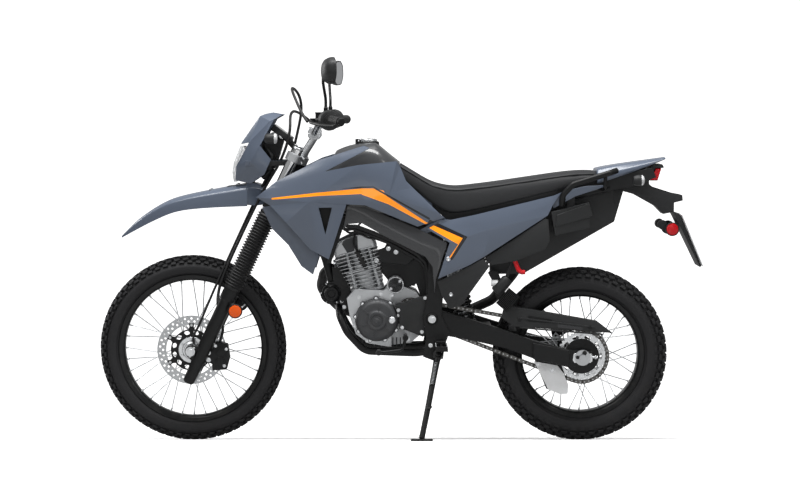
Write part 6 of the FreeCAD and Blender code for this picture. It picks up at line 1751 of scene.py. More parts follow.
def pegs():
    """Toothed footpegs, the gear lever and the brake pedal."""
    plates = []
    for s in (-1, 1):
        low, high = sorted((s * 133.4, s * 167))
        plates.append(block((132, low, 364), (168, high, 390)))
        low, high = sorted((s * 167, s * 262))
        plates.append(joined(block((128, low, 366), (132, high, 384)),
                             block((168, low, 366), (172, high, 384)),
                             block((128, low, 366), (172, high, 370)),
                             block((128, s * 262 - 2, 366), (172, s * 262 + 2, 384)),
                             block((146, low, 368), (154, high, 382))))
    settle(joined(*plates), "footpeg_bodies", POWDER, "chassis", ["foot_controls"], bevel=1.2, crease=35)
    spots = [(Vector((x, s * (172 + 8.6 * k), 384)), VERTICAL, REARWARD, 1.0) for s in (-1, 1)
             for k in range(11) for x in (130, 170)]
    tooth = ring_mesh([[Vector((x, y, z))
                        for x, y in ((-2 * t, -3.2 * t), (2 * t, -3.2 * t), (2 * t, 3.2 * t),
                                     (-2 * t, 3.2 * t))] for z, t in ((-1, 1.0), (2.0, 0.45))])
    repeated("footpeg_teeth", tooth, spots, STEEL, "chassis")
    lever = pipe([(20, -142, 400), (10, -146, 356), (-60, -150, 348), (-78, -150, 350)], 6, 20, 20)
    boss = turned([(-8, 0), (-8, 11), (8, 11), (8, 0)], Vector((20, -139, 400)), ACROSS, 28)
    pedal = pipe([(102, 156, 346), (-20, 158, 342), (-96, 164, 350)], 7, 30, 20)
    shaft = bar((20, -56.5, 400), (20, -147, 400), 6.8, 20)
    pin = bar((102, 133.4, 346), (102, 164, 346), 11.8, 28)
    settle(joined(lever, boss, pedal, shaft, pin), "foot_levers", POWDER, "chassis", crease=45)
    profile = [(0, 0), (0, 9), (2, 10)]
    for k in range(6):
        profile += [(3 + 5 * k, 9.2), (4.4 + 5 * k, 10.4), (6.6 + 5 * k, 10.4)]
    profile += [(35, 9.4), (37, 8), (37, 0)]
    settle(turned(profile, Vector((-78, -146, 350)), -ACROSS, 28), "gear_lever_rubber", RUBBER, "chassis",
           crease=35)
    pad = [block((-112 + 8 * k, 150, 352), (-107 + 8 * k, 184, 361)) for k in range(5)]
    pad.append(block((-112, 150, 352), (-72, 184, 355)))
    settle(joined(*pad), "brake_pedal_pad", STEEL, "chassis", bevel=0.6, crease=35)


# Bodywork


def stripe_pieces():
    """The stripe along the shrouds and the side covers, as convex (x, z) areas: its bands and their edges."""
    orange = [
        [(-463, 915), (-463, 909), (-300, 922), (-300, 934)],
        [(-300, 934), (-300, 922), (-139, 928), (-139, 948)],
        [(-139, 948), (-139, 926), (-30, 886), (-60, 940), (-96, 948)],
        [(-96, 948), (-60, 928), (102, 818), (106, 832)],
        [(-60, 928), (-96, 920), (-30, 884), (102, 812), (102, 820)],
        [(100, 822), (228, 766), (214, 742), (98, 808)],
        [(214, 746), (228, 766), (196, 712), (178, 684), (172, 700)],
    ]
    black = [
        [(-300, 940), (-300, 934), (-139, 948), (-96, 948), (-96, 955), (-139, 955)],
        [(-96, 955), (-96, 948), (106, 832), (110, 839)],
        [(108, 834), (100, 822), (228, 766), (246, 771)],
        [(228, 766), (246, 771), (192, 688), (178, 684)],
    ]
    return orange, black


def inside(outline, x, z):
    """Whether a point lies in a convex outline, either way round."""
    signs = []
    for (ax, az), (bx, bz) in zip(outline, outline[1:] + outline[:1]):
        signs.append((bx - ax) * (z - az) - (bz - az) * (x - ax))
    return all(s >= 0 for s in signs) or all(s <= 0 for s in signs)


def striped(bm, areas):
    """Cuts a panel's mesh along the edges of areas and marks the faces of its outer skin with their slots."""
    low = Vector([min(v.co[k] for v in bm.verts) for k in range(3)])
    high = Vector([max(v.co[k] for v in bm.verts) for k in range(3)])
    for _, outlines in areas:
        for outline in outlines:
            if max(p[0] for p in outline) < low.x or min(p[0] for p in outline) > high.x:
                continue
            reach = [min(p[0] for p in outline) - 4, max(p[0] for p in outline) + 4,
                     min(p[1] for p in outline) - 4, max(p[1] for p in outline) + 4]
            for (ax, az), (bx, bz) in zip(outline, outline[1:] + outline[:1]):
                near = [f for f in bm.faces if abs(f.normal.y) > 0.1
                        and max(v.co.x for v in f.verts) > reach[0]
                        and min(v.co.x for v in f.verts) < reach[1]
                        and max(v.co.z for v in f.verts) > reach[2]
                        and min(v.co.z for v in f.verts) < reach[3]]
                geom = set(near)
                for face in near:
                    geom.update(face.edges)
                    geom.update(face.verts)
                bmesh.ops.bisect_plane(bm, geom=list(geom), plane_co=(ax, 0, az),
                                       plane_no=(bz - az, 0, ax - bx), dist=0.05)
    for face in bm.faces:
        middle = face.calc_center_median()
        if face.normal.y * middle.y <= 0 or abs(face.normal.y) < 0.1:
            continue
        for slot, outlines in areas:
            if any(inside(outline, middle.x, middle.z) for outline in outlines):
                face.material_index = slot
                break
    return bm


def panels():
    """The painted shrouds and side covers with their stripe, the dark trims and the black panels."""
    orange, black = stripe_pieces()
    for node, name in (("tank_shrouds", "tank_shroud_panels"), ("side_covers", "side_cover_panels")):
        bm = striped(cad_copy(node), ((2, black), (1, orange)))
        obj = settle(bm, name, PAINT, "chassis", [node], bevel=1.6, crease=9, segments=3)
        finish_list(obj, ORANGE_SELF_LIT, STRIPE)
    dressed("side_trims", "knee_trims", GRAPHITE, "chassis", 1.6, crease=12, segments=3)
    dressed("side_panels", "lower_panels", TEXTURED, "chassis", 1.4, crease=25)
    spots = []
    for s in (-1, 1):
        for x, z, size in ((176, 690, 1.0), (186, 560, 0.9), (560, 800, 0.7)):
            at = on_skin(x, s * 230, z, s)
            if at:
                spots.append((at[0], at[1], UP, size))
    button = turned([(-3, 0), (-3, 8.4), (0, 8.4), (1.6, 7.2), (2.4, 4.2), (1.6, 3.4), (1.2, 0)], ORIGIN,
                    VERTICAL, 24)
    repeated("panel_bolts", button, spots, BOLT, "chassis")
    # A dark insert behind each shroud's vent, and a painted tongue behind the joint of shroud and side cover
    inserts = mirrored(prism([(-304, 888), (-236, 888), (-262, 764), (-282, 764)], -158, -154))
    settle(inserts, "vent_inserts", DARK_PLASTIC, "chassis", bevel=1.0)
    tongues = mirrored(prism([(58, 786), (98, 808), (150, 832), (176, 818), (140, 796), (70, 774)], -119,
                             -116))
    settle(tongues, "panel_tongues", PAINT, "chassis", bevel=0.8)


# A search tree for each node that a bolt has been put on
SKINS = {}


def on_skin(x, y, z, side):
    """Where a ray from outside meets the bodywork, and the skin's normal there."""
    best = None
    for node in ("tank_shrouds", "side_covers", "side_trims", "side_panels", "tail_cowl"):
        tree = SKINS.get(node)
        if tree is None:
            bm = cad_copy(node)
            tree = SKINS[node] = BVHTree.FromBMesh(bm)
            bm.free()
        hit = tree.ray_cast(Vector((x, y, z)), Vector((0, -side, 0)))
        if hit[0] is not None and (best is None or hit[3] < best[2]):
            best = (hit[0], hit[1] if hit[1].y * side > 0 else -hit[1], hit[3])
    return best


def fuel_tank():
    """The tank's skin, a lofted and subdivided form, with its cap on a hinge."""
    stations = ((-296, 908, 972, 66), (-290, 901, 984, 74), (-268, 880, 1016, 90), (-235, 868, 1082, 104),
                (-170, 856, 1108, 112), (-90, 846, 1112, 112), (-30, 842, 1062, 98), (-4, 840, 1042, 85),
                (-0.6, 840, 1040, 83))
    rings = []
    for x, low, top, half in stations:
        waist = low + (top - low) * 0.45
        side = [(-half * 0.7, low), (-half * 0.94, low + (waist - low) * 0.45), (-half, waist),
                (-half * 0.97, (waist + top - 32) / 2), (-half * 0.86, top - 32), (-half * 0.66, top - 10),
                (-half * 0.4, top), (-half * 0.14, top + 1)]
        skin = side + [(-y, z) for y, z in reversed(side)]
        rings.append([Vector((x, y, z)) for y, z in skin])
    bm = ring_mesh(rings)
    cut(bm, prism([(-400, 995), (-182, 882), (20, 832), (20, 700), (-400, 700)], -24, 24))
    obj = settle(bm, "fuel_tank_skin", TANK, "chassis", ["fuel_tank"], subdivide=2)
    crease_lines(obj, 38, 0.8)
    neck = turned([(-14, 0), (-14, 42), (0, 41), (3, 40), (5, 37.6), (5, 36), (2, 36), (2, 0)],
                  Vector((-118, 0, 1110)), VERTICAL, 56)
    settle(neck, "filler_neck", POWDER, "chassis", crease=38)
    hinge = Vector((-160, 0, 1120))
    lugs = joined(bar(hinge - ACROSS * 15, hinge + ACROSS * 15, 2.0, 16),
                  block((-165, -15, 1106), (-155, -10, 1123.5)), block((-165, 10, 1106), (-155, 15, 1123.5)))
    settle(lugs, "cap_hinge", POWDER, "chassis", crease=40)
    cap = turned([(0, 0), (0, 33.6), (5, 34), (7.4, 32.6), (8.4, 30), (8.4, 24), (7.4, 23), (7.4, 0)],
                 Vector((-118, 0, 1115.4)), VERTICAL, 56)
    strap = joined(block((-160, -9, 1119), (-146, 9, 1124.6)),
                   turned([(-9, 2.2), (-9, 4.6), (9, 4.6), (9, 2.2)], hinge, ACROSS, 20, loop=True))
    settle(joined(cap, strap), "filler_cap", BRIGHT, "filler_lid", ["fuel_cap"], bevel=0.5, crease=38)
    flap = turned([(0, 0), (0, 12), (2, 12), (3, 10.6), (3, 0)], Vector((-112, 0, 1122.6)), VERTICAL, 36)
    settle(flap, "cap_lock", STEEL, "filler_lid", crease=38)
    spots = [(Vector((-118 + 28 * math.cos(a), 28 * math.sin(a), 1123.4)), VERTICAL, REARWARD, 0.5)
             for a in (math.pi / 3 * k + 0.5 for k in range(6))]
    screws("cap_screws", 5, 3, spots, "filler_lid")


def saddle():
    """The long flat seat: padded vinyl over a base, with a piped seam round its top."""
    stations = ((0.4, 972, 1036, 56), (10, 968, 1030, 59), (40, 948, 1012, 63), (74, 922, 991, 66),
                (119, 884, 965, 74), (175, 852, 952, 88), (215, 854, 950.5, 97), (260, 862, 956, 106),
                (330, 878, 964, 111), (400, 895, 974, 114), (475, 914, 985, 116), (560, 934, 998, 113),
                (640, 954, 1008, 108), (690, 966, 1009, 96), (712, 971, 1008, 88), (721.6, 974, 1005, 83))
    rings, seam = [], []
    for x, low, top, half in stations:
        side = [(-half * 0.93, low), (-half * 0.985, low + 5), (-half, low + 13),
                (-half * 0.985, (low + top) / 2), (-half * 0.93, top - 17), (-half * 0.86, top - 7.5),
                (-half * 0.68, top - 1.5), (-half * 0.35, top + 0.5), (0, top + 0.8)]
        skin = side + [(-y, z) for y, z in reversed(side[:-1])]
        rings.append([Vector((x, y, z)) for y, z in skin])
        seam.append(Vector((x, -half * 0.905, top - 12)))
    obj = settle(ring_mesh(rings), "saddle_cushion", VINYL, "chassis", ["seat"], subdivide=2)
    crease_lines(obj, 36, 0.85)
    rings = [[Vector((x, y, z))
              for y, z in ((-half * 0.9, low - drop), (-half * 0.93, low + 4), (half * 0.93, low + 4),
                           (half * 0.9, low - drop))]
             for x, low, top, half, drop in ((*row, 26 if 170 < row[0] < 600 else 8)
                                             for row in stations[4:-1])]
    settle(ring_mesh(rings), "seat_base", DARK_PLASTIC, "chassis", bevel=1.5, crease=40)
    line = rounded_path(seam, 30)
    piping = mirrored(swept(line, 2.5, 10))
    settle(piping, "saddle_piping", VINYL, "chassis", crease=60)


def tail():
    """The tail's cowl, the rear fender with its blank plate bracket, the lights, rails and tool box."""
    stations = ((722.6, 962, 1016, 96), (740, 967, 1021, 95), (800, 986, 1032, 90), (900, 1020, 1046, 72),
                (960, 1043, 1055, 52), (978, 1050, 1057.6, 43))
    rings = [[Vector((x, y, z))
              for y, z in ((-h, low), (-h * 0.97, low + (top - low) * 0.5), (-h * 0.72, top - 1),
                           (-h * 0.35, top), (h * 0.35, top), (h * 0.72, top - 1),
                           (h * 0.97, low + (top - low) * 0.5), (h, low))] for x, low, top, h in stations]
    obj = settle(ring_mesh(rings), "tail_panel", PAINT, "chassis", ["tail_cowl"],
                 subdivide=2)
    crease_lines(obj, 25, 0.75)
    dressed("rear_fender", "rear_mudguard", TEXTURED, "chassis", 3.0, crease=22, segments=3)
    strips = mirrored(prism([(560, 872), (556, 905), (596, 935), (677, 954), (742, 957), (742, 950),
                             (640, 916)], -108, -104))
    settle(strips, "tail_side_strips", PAINT, "chassis", bevel=1.2)
    liners = mirrored(prism([(650, 930), (690, 966), (760, 984), (850, 1004), (925, 1020), (940, 985),
                             (850, 950), (700, 925)], -74, -70))
    settle(liners, "tail_liners", DARK_PLASTIC, "chassis", bevel=1.0)
    rails = []
    for s in (-1, 1):
        rails.append(pipe([(591, s * 112, 885), (591, s * 134, 921), (629, s * 140, 962),
                           (763, s * 134, 1003), (790, s * 98, 1010)], 10.8, 30, 28))
        rails.append(bar((598, s * 88.9, 906), (598, s * 122, 906), 6.8, 20))
        rails.append(pipe([(745, s * 78, 941), (745, s * 134, 948), (748, s * 134, 1000)], 6.8, 12, 20))
    settle(joined(*rails), "grab_handles", POWDER, "chassis", ["grab_rails"], crease=45)
    dressed("tool_box", "tool_case", TEXTURED, "chassis", 4.0, crease=25, segments=3)
    lid = prism([(566, 806), (572, 850), (690, 892), (702, 850), (690, 840)], -132, -126)
    settle(lid, "tool_lid", TEXTURED, "chassis", bevel=2.4, crease=25, segments=3)
    lamp = [(921.5, 971), (949, 971), (963, 1017), (941.5, 1017)]
    rings = []
    for y, inset in ((-48, 6), (-45, 1.6), (-38, 0), (38, 0), (45, 1.6), (48, 6)):
        middle = Vector((943, 0, 994))
        rings.append([middle + (Vector((x, 0, z)) - middle) * (1 - inset / 40) + Vector((0, y, 0))
                      for x, z in lamp])
    settle(ring_mesh(rings), "tail_lamp", RED_LENS, "chassis", ["rear_lights"], bevel=1.4)
    hood = prism([(914, 1012), (930, 1030), (966, 1032), (972, 1019), (963, 1018), (941, 1018.4),
                  (926, 1000)], -50, 50)
    settle(hood, "tail_lamp_hood", TEXTURED, "chassis", bevel=2.5)
    stalks = mirrored(turned([(0, 0), (0, 8), (24, 7.2), (58, 7.2), (64, 9), (86, 9), (86, 0)],
                             Vector((868, 42.5, 976)), ACROSS, 28))
    settle(stalks, "rear_indicator_stalks", RUBBER, "chassis", crease=40)
    shells = mirrored(turned([(0, 0), (0, 14), (6, 18), (18, 19.8), (26, 19.8), (28, 18.4), (28, 0)],
                             Vector((850, 128, 976)), REARWARD, 36))
    settle(shells, "rear_indicator_shells", TEXTURED, "chassis", crease=40)
    lenses = mirrored(turned([(28.2, 0), (28.2, 18.8), (34, 18.2), (38, 14), (39.8, 6), (40, 0)],
                             Vector((850, 128, 976)), REARWARD, 36))
    settle(lenses, "rear_indicator_lenses", CLEAR_LENS, "chassis", crease=40)
    cups, faces = [], []
    for s in (-1, 1):
        at = Vector((1003, s * 42, 793))
        cups.append(turned([(-38, 0), (-38, 9), (10, 9), (12, 22), (15, 25.6), (20, 25.6), (21.4, 24),
                            (20.4, 22), (20.4, 0)], at, ACROSS * s, 44))
        faces.append(turned([(20.5, 0), (20.5, 21.8), (21.4, 21.4), (22.2, 18), (22.6, 0)], at, ACROSS * s,
                            44))
        cups.append(turned([(-20, 0), (-20, 16), (2, 17.6), (4, 16), (4, 0)], Vector((968, s * 42, 809)),
                           ACROSS * s, 36))
    settle(joined(*cups), "rear_reflector_cups", DARK_PLASTIC, "chassis", crease=40)
    settle(joined(*faces), "rear_side_reflectors", RED_LENS, "chassis", crease=40)
    plate = prism([(1033, 848), (1035.4, 848.8), (1114.6, 659.6), (1112.4, 658.4)], -89, 89)
    settle(plate, "blank_plate", PALE_PLATE, "chassis", bevel=0.5, crease=40)
    spots = [(Vector((1042, y, 832)), (0.92, 0, 0.39), ACROSS, 0.8) for y in (-44, 44)]
    screws("plate_bolts", 6, 4, spots, "chassis")


def small_parts():
    """The finned regulator and the canister by the side panel, with the red capped hose."""
    u, v, middle = Vector((0.643, 0, 0.766)), Vector((-0.766, 0, 0.643)), Vector((396, -108, 536))
    fins = [ring_mesh([[middle + u * a + v * (5.6 * k - 22.4 + b) + ACROSS * y
                        for a, b in ((-34, -1.3), (34, -1.3), (34, 1.3), (-34, 1.3))] for y in (-10, 8)])
            for k in range(9)]
    fins.append(ring_mesh([[middle + u * a + v * b + ACROSS * y
                            for a, b in ((-37, -26), (37, -26), (37, 26), (-37, 26))] for y in (0, 9)]))
    settle(joined(*fins), "regulator_fins", POWDER, "chassis", bevel=0.4, crease=40)
    bracket = prism([(372, 520), (396, 530), (384, 570), (360, 640), (330, 644), (322, 636), (344, 596),
                     (352, 548)], -100, -95)
    settle(bracket, "regulator_bracket", POWDER, "chassis", bevel=0.8)
    relay = turned([(0, 0), (0, 11), (2, 12), (24, 12), (26, 10), (26, 0)], Vector((334, -104, 598)),
                   REARWARD, 28)
    settle(relay, "relay_cap", PALE_PLATE, "chassis", bevel=0.4)
    line = [Vector((391, -108, 612)), Vector((345, -108, 562))]
    can = turned([(-6, 0), (-6, 15), (0, 19), (4, 19.6), (58, 19.6), (62, 17), (64, 0)], line[0],
                 line[1] - line[0], 40)
    settle(can, "canister_body", TEXTURED, "chassis", crease=35)
    hose = pipe([(391, -108, 618), (398, -110, 648), (412, -112, 690), (424, -112, 676)], 6, 12, 20)
    settle(hose, "vent_hose", RUBBER, "chassis", crease=60)
    cap = swept(rounded_path([(416, -112, 690), (434, -113, 648), (444, -113, 638), (458, -113, 640)], 10),
                8.4, 20)
    settle(cap, "red_cap", RED_PLASTIC, "chassis", bevel=0.8, crease=35)


# Cables


def cable(name, points, diameter):
    """A hose or cable with both ends in the machine, as one smooth curve through its route."""
    route = [STAND @ Vector(p) for p in points]
    curve = bpy.data.curves.new(name, "CURVE")
    curve.dimensions = "3D"
    curve.bevel_depth = diameter / 2
    curve.bevel_resolution = 4
    curve.resolution_u = 10
    curve.use_fill_caps = True
    line = curve.splines.new("NURBS")
    line.points.add(len(route) - 1)
    for point, at in zip(line.points, route):
        point.co = (*at, 1)
    line.order_u = 4
    line.use_endpoint_u = True
    curve.materials.append(bpy.data.materials[RUBBER])
    obj = bpy.data.objects.new(name, curve)
    bpy.context.scene.collection.objects.link(obj)
    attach(obj, "steering")


def cables(look):
    """The brake's hose and reservoir, the speedometer's cable and the clutch cable's loop."""
    wide = look.hose_diameter
    cable("front_brake_hose",
          [(-338, 196, 1184), (-362, 170, 1206), (-392, 96, 1230), (-404, 10, 1222), (-404, -56, 1196),
           (-400, -78, 1146), on_fork(770, -62, -36), on_fork(690, -58, -50), on_fork(560, -64, -54),
           on_fork(400, -70, -54), on_fork(262, -72, -50), on_fork(196, -66, -30), on_fork(150, -61, 8),
           on_fork(118, -64, 38), (-664, -74, 384), (-664, -78, 374)], wide)
    cable("speedometer_cable",
          [(-440, -30, 1122), (-446, -34, 1096), on_fork(730, -44, -58), on_fork(640, -46, -64),
           on_fork(500, -52, -64), on_fork(360, -60, -62), on_fork(241, -70, -60), on_fork(150, -82, -56),
           on_fork(80, -88, -52), (-768, -90, 392), (-758, -88, 372)], wide * 0.85)
    cable("clutch_cable", [(-332, -205, 1190), (-352, -180, 1214), (-378, -130, 1268), (-398, -70, 1308),
                           (-396, -10, 1314), (-376, 30, 1294), (-364, 50, 1248), (-372, 56, 1190),
                           (-384, 56, 1140), (-392, 52, 1104)], wide)
    cable("lamp_lead", [(-436, -20, 1124), (-452, -26, 1090), on_fork(740, -30, -50), on_fork(648, -36, -54),
                        on_fork(500, -44, -56), on_fork(400, -52, -56), on_fork(300, -62, -54),
                        on_fork(240, -74, -44), on_fork(214, -84, -30), on_fork(206, -92, -24)], wide)
    cup = rounded_slab((-322, 196, 1192), (-288, 244, 1216), 8)
    lid = rounded_slab((-324, 194, 1216), (-286, 246, 1221), 9)
    settle(joined(cup, lid), "brake_reservoir", POWDER, "steering", bevel=1.2, crease=35)


# Stage


def looked_at(tree):
    """How white the background is: 1 to the camera, less by gloss and through glass, else 0."""
    rays = tree.nodes.new("ShaderNodeLightPath").outputs
    less = sums(tree, "MAXIMUM", rays["Is Glossy Ray"], rays["Is Transmission Ray"])
    return sums(tree, "MAXIMUM", rays["Is Camera Ray"], sums(tree, "MULTIPLY", less, 0.3))


def studio(shot):
    """A white sweep with soft lights, and the camera at the photograph's place."""
    scene = bpy.context.scene
    scene.view_settings.view_transform = "Standard"
    bm = bmesh.new()
    rows = []
    front, bend_start, bend, wall_top, half_width = -14, 5, 4, 16, 18
    profile = [(front, 0)]
    for turn in (math.radians(a) for a in range(0, 91, 6)):
        profile.append((bend_start + bend * math.sin(turn), bend - bend * math.cos(turn)))
    profile.append((bend_start + bend, wall_top))
    for y, z in profile:
        rows.append([bm.verts.new((x, y, z)) for x in (-half_width, half_width)])
    for one, two in zip(rows, rows[1:]):
        bm.faces.new([one[0], one[1], two[1], two[0]])
    mesh = bpy.data.meshes.new("studio_sweep")
    bm.to_mesh(mesh)
    bm.free()
    mesh.shade_smooth()
    sweep = new_object("studio_sweep", mesh)
    paper = bpy.data.materials.new("studio_paper")
    paper.use_nodes = True
    tree = paper.node_tree
    shader = tree.nodes["Principled BSDF"]
    seen = looked_at(tree)
    tree.links.new(mixed(tree, seen, (0.32, 0.32, 0.32, 1), (*shot.paper_color, 1)),
                   shader.inputs["Base Color"])
    place = tree.nodes.new("ShaderNodeSeparateXYZ")
    spot = tree.nodes.new("ShaderNodeTexCoord").outputs["Object"]
    tree.links.new(spot, place.inputs[0])
    reach = tree.nodes.new("ShaderNodeVectorMath")
    reach.operation = "LENGTH"
    tree.links.new(spot, reach.inputs[0])
    eye = tree.nodes.new("ShaderNodeLightPath").outputs["Is Camera Ray"]
    # The paper glows less near the object, so that it keeps the object's shadow there
    around = sums(tree, "MULTIPLY", eye, spread(tree, reach.outputs["Value"], 1.3, 3.6, 0.0, 0.95))
    glow = sums(tree, "MAXIMUM", spread(tree, place.outputs[1], 0.8, 3.6, shot.paper_glow, 0.95), around)
    tree.links.new(sums(tree, "MULTIPLY", seen, glow), shader.inputs["Emission Strength"])
    shader.inputs["Emission Color"].default_value = (1, 1, 1, 1)
    shader.inputs["Roughness"].default_value = 0.7
    shader.inputs["Specular IOR Level"].default_value = 0.2
    # From behind, the camera looks through the back of the sweep
    behind = sums(tree, "MULTIPLY", eye, tree.nodes.new("ShaderNodeNewGeometry").outputs["Backfacing"])
    either = tree.nodes.new("ShaderNodeMixShader")
    clear = tree.nodes.new("ShaderNodeBsdfTransparent")
    for socket, source in zip(either.inputs, (behind, shader.outputs[0], clear.outputs[0])):
        tree.links.new(source, socket)
    tree.links.new(either.outputs[0], tree.nodes["Material Output"].inputs[0])
    mesh.materials.append(paper)
    world = bpy.data.worlds.new("studio_world")
    world.use_nodes = True
    sky = world.node_tree.nodes["Background"].inputs
    sky["Color"].default_value = (1, 1, 1, 1)
    seen = looked_at(world.node_tree)
    world.node_tree.links.new(spread(world.node_tree, seen, 0, 1, shot.fill, 1.0), sky["Strength"])
    scene.world = world
    for name, at, aim, power, size in (
        ("key", (-2.8, -4.0, 4.6), (-0.2, 0, 0.6), 105, (2.6, 1.2)),
        ("side", (4.0, -3.4, 2.8), (0.4, 0, 0.6), 50, (1.4, 2.0)),
        ("top", (0, -1.3, 4.6), (0, 0, 0.6), 400, (4.6, 1.6)),
        ("low", (0.2, -6.0, 0.5), (0, 0, 0.5), 14, (4.0, 0.4)),
        ("rim", (-4.2, 2.6, 2.4), (0, 0, 0.8), 90, (0.9, 2.4)),
    ):
        lamp = bpy.data.lights.new(name, "AREA")
        lamp.shape = "RECTANGLE"
        lamp.energy = power * shot.light
        lamp.size, lamp.size_y = size
        obj = bpy.data.objects.new(name, lamp)
        obj.location = at
        obj.rotation_euler = (Vector(aim) - Vector(at)).to_track_quat("-Z", "Y").to_euler()
        scene.collection.objects.link(obj)
    camera = bpy.data.objects.new("camera", bpy.data.cameras.new("camera"))
    at = Vector((shot.aim_x, -shot.distance, shot.camera_height))
    aim = Vector((shot.aim_x, 0.1, shot.aim_height))
    camera.location = at
    camera.rotation_euler = (aim - at).to_track_quat("-Z", "Y").to_euler()
    camera.data.lens = camera.data.sensor_width * (shot.distance + aim.y) / shot.width
    scene.collection.objects.link(camera)
    scene.camera = camera


# Panel


def color(name, description, value):
    """A colour of the panel."""
    return bpy.props.FloatVectorProperty(name=name, description=description, default=value, size=3,
                                         subtype="COLOR", min=0, max=1)


class MotorcycleColors(bpy.types.PropertyGroup):
    """Colours of the machine's finishes."""

    body: color("Bodywork", "Painted panels, tank and fender", linear("535c6b"))
    stripe: color("Stripe", "Stripe along the shrouds and side covers", linear("f58f0a"))
    stripe_edge: color("Stripe edge", "Dark edge of the stripe", linear("0d0f14"))
    trim: color("Trim", "Knee trims", linear("333436"))
    moulded: color("Moulded plastic", "Grained black panels", linear("1e1f20"))
    frame: color("Frame", "Frame, fork legs and swingarm", linear("0a0b0c"))
    seat: color("Seat", "Seat vinyl", linear("1f2022"))
    tyre: color("Tyre", "Tyre rubber", linear("151517"))
    engine: color("Engine", "Dark engine covers", linear("414244"))
    cylinder: color("Cylinder", "Finned barrel and head", linear("b4b6b8"))
    rim: color("Rim", "Wheel rims", linear("121314"))


class MotorcycleSizes(bpy.types.PropertyGroup):
    """Sizes and counts of what the scene adds to the solid model."""

    front_blocks: bpy.props.IntProperty(name="Front blocks", description="Tread blocks round the front tyre",
                                        default=66, min=30, max=90)
    rear_blocks: bpy.props.IntProperty(name="Rear blocks", description="Tread blocks round the rear tyre",
                                       default=54, min=24, max=80)
    folds: bpy.props.IntProperty(name="Gaiter folds", description="Folds in each fork gaiter", default=27,
                                 min=8, max=40)
    spring_turns: bpy.props.FloatProperty(name="Spring turns", description="Turns of the rear spring",
                                          default=6.5, min=3, max=10)
    hose_diameter: bpy.props.FloatProperty(name="Hose diameter", description="Diameter of the brake hose",
                                           default=0.0105, min=0.004, max=0.012, unit="LENGTH")


class MotorcycleShot(bpy.types.PropertyGroup):
    """The studio and the camera."""

    paper_color: color("Paper", "Colour of the studio's sweep", (0.93, 0.93, 0.93))
    paper_glow: bpy.props.FloatProperty(name="Paper glow", default=0.34, min=0, max=2,
                                        description="How much the camera sees the paper lit from behind")
    fill: bpy.props.FloatProperty(name="Fill", description="Strength of the even light", default=0.12, min=0,
                                  max=3)
    light: bpy.props.FloatProperty(name="Lamps", description="Strength of the lamps", default=0.87, min=0,
                                   max=5)
    distance: bpy.props.FloatProperty(name="Distance", description="Camera's distance", default=7.0, min=2,
                                      max=20, unit="LENGTH")
    camera_height: bpy.props.FloatProperty(name="Height", description="Camera's height", default=0.15, min=0,
                                           max=4, unit="LENGTH")
    aim_x: bpy.props.FloatProperty(name="Aim along", description="Aimed point along the machine",
                                   default=0.002, unit="LENGTH")
    aim_height: bpy.props.FloatProperty(name="Aim height", description="Aimed point's height", default=0.705,
                                        unit="LENGTH")
    width: bpy.props.FloatProperty(name="Width", description="Width seen at the machine", default=2.976,
                                   min=0.5, max=9, unit="LENGTH")


class MOTORCYCLE_OT_finishes(bpy.types.Operator):
    """Make every material from the panel's colours"""

    bl_idname = "motorcycle.finishes"
    bl_label = "Finishes"

    def execute(self, context):
        make_finishes(context.scene.motorcycle_colors)
        return {"FINISHED"}


class MOTORCYCLE_OT_wheels(bpy.types.Operator):
    """Dress both wheels: tyres, rims, spokes, hubs, discs and the sprocket"""

    bl_idname = "motorcycle.wheels"
    bl_label = "Wheels"

    def execute(self, context):
        look = context.scene.motorcycle_sizes
        tyre("front_tyre", FRONT_AXLE, FRONT_RADIUS, FRONT_CROWN, FRONT_BEAD, FRONT_HALF, look.front_blocks,
             "front_wheel")
        tyre("rear_tyre", REAR_AXLE, REAR_RADIUS, REAR_CROWN, REAR_BEAD, REAR_HALF, look.rear_blocks,
             "rear_wheel")
        rim("front_rim", FRONT_AXLE, FRONT_BEAD, FRONT_HALF, "front_wheel")
        rim("rear_rim", REAR_AXLE, REAR_BEAD, REAR_HALF, "rear_wheel")
        hubs()
        rear_sprocket()
        return {"FINISHED"}


class MOTORCYCLE_OT_fork(bpy.types.Operator):
    """Dress the fork: lower legs, gaiters, upper tubes and clamps"""

    bl_idname = "motorcycle.fork"
    bl_label = "Fork"

    def execute(self, context):
        fork_legs()
        bellows(context.scene.motorcycle_sizes.folds)
        clamps()
        front_brake()
        return {"FINISHED"}


class MOTORCYCLE_OT_handlebar(bpy.types.Operator):
    """Dress the handlebar with its grips, switches, levers and mirrors"""

    bl_idname = "motorcycle.handlebar"
    bl_label = "Handlebar"

    def execute(self, context):
        bars()
        return {"FINISHED"}


class MOTORCYCLE_OT_front(bpy.types.Operator):
    """Dress the front fender, the headlamp, the instrument and the front indicators"""

    bl_idname = "motorcycle.front"
    bl_label = "Front fender and lamp"

    def execute(self, context):
        fender()
        headlamp()
        return {"FINISHED"}


class MOTORCYCLE_OT_cables(bpy.types.Operator):
    """Lay the hose and the cables of the steering"""

    bl_idname = "motorcycle.cables"
    bl_label = "Cables"

    def execute(self, context):
        cables(context.scene.motorcycle_sizes)
        return {"FINISHED"}


class MOTORCYCLE_OT_engine(bpy.types.Operator):
    """Dress the finned barrel, the crankcase, the carburettor, the cooler and the horn"""

    bl_idname = "motorcycle.engine"
    bl_label = "Engine"

    def execute(self, context):
        barrel()
        crankcase()
        fuelling()
        cooler()
        return {"FINISHED"}


class MOTORCYCLE_OT_exhaust(bpy.types.Operator):
    """Dress the exhaust pipe and its silencer"""

    bl_idname = "motorcycle.exhaust"
    bl_label = "Exhaust"

    def execute(self, context):
        silencer()
        return {"FINISHED"}


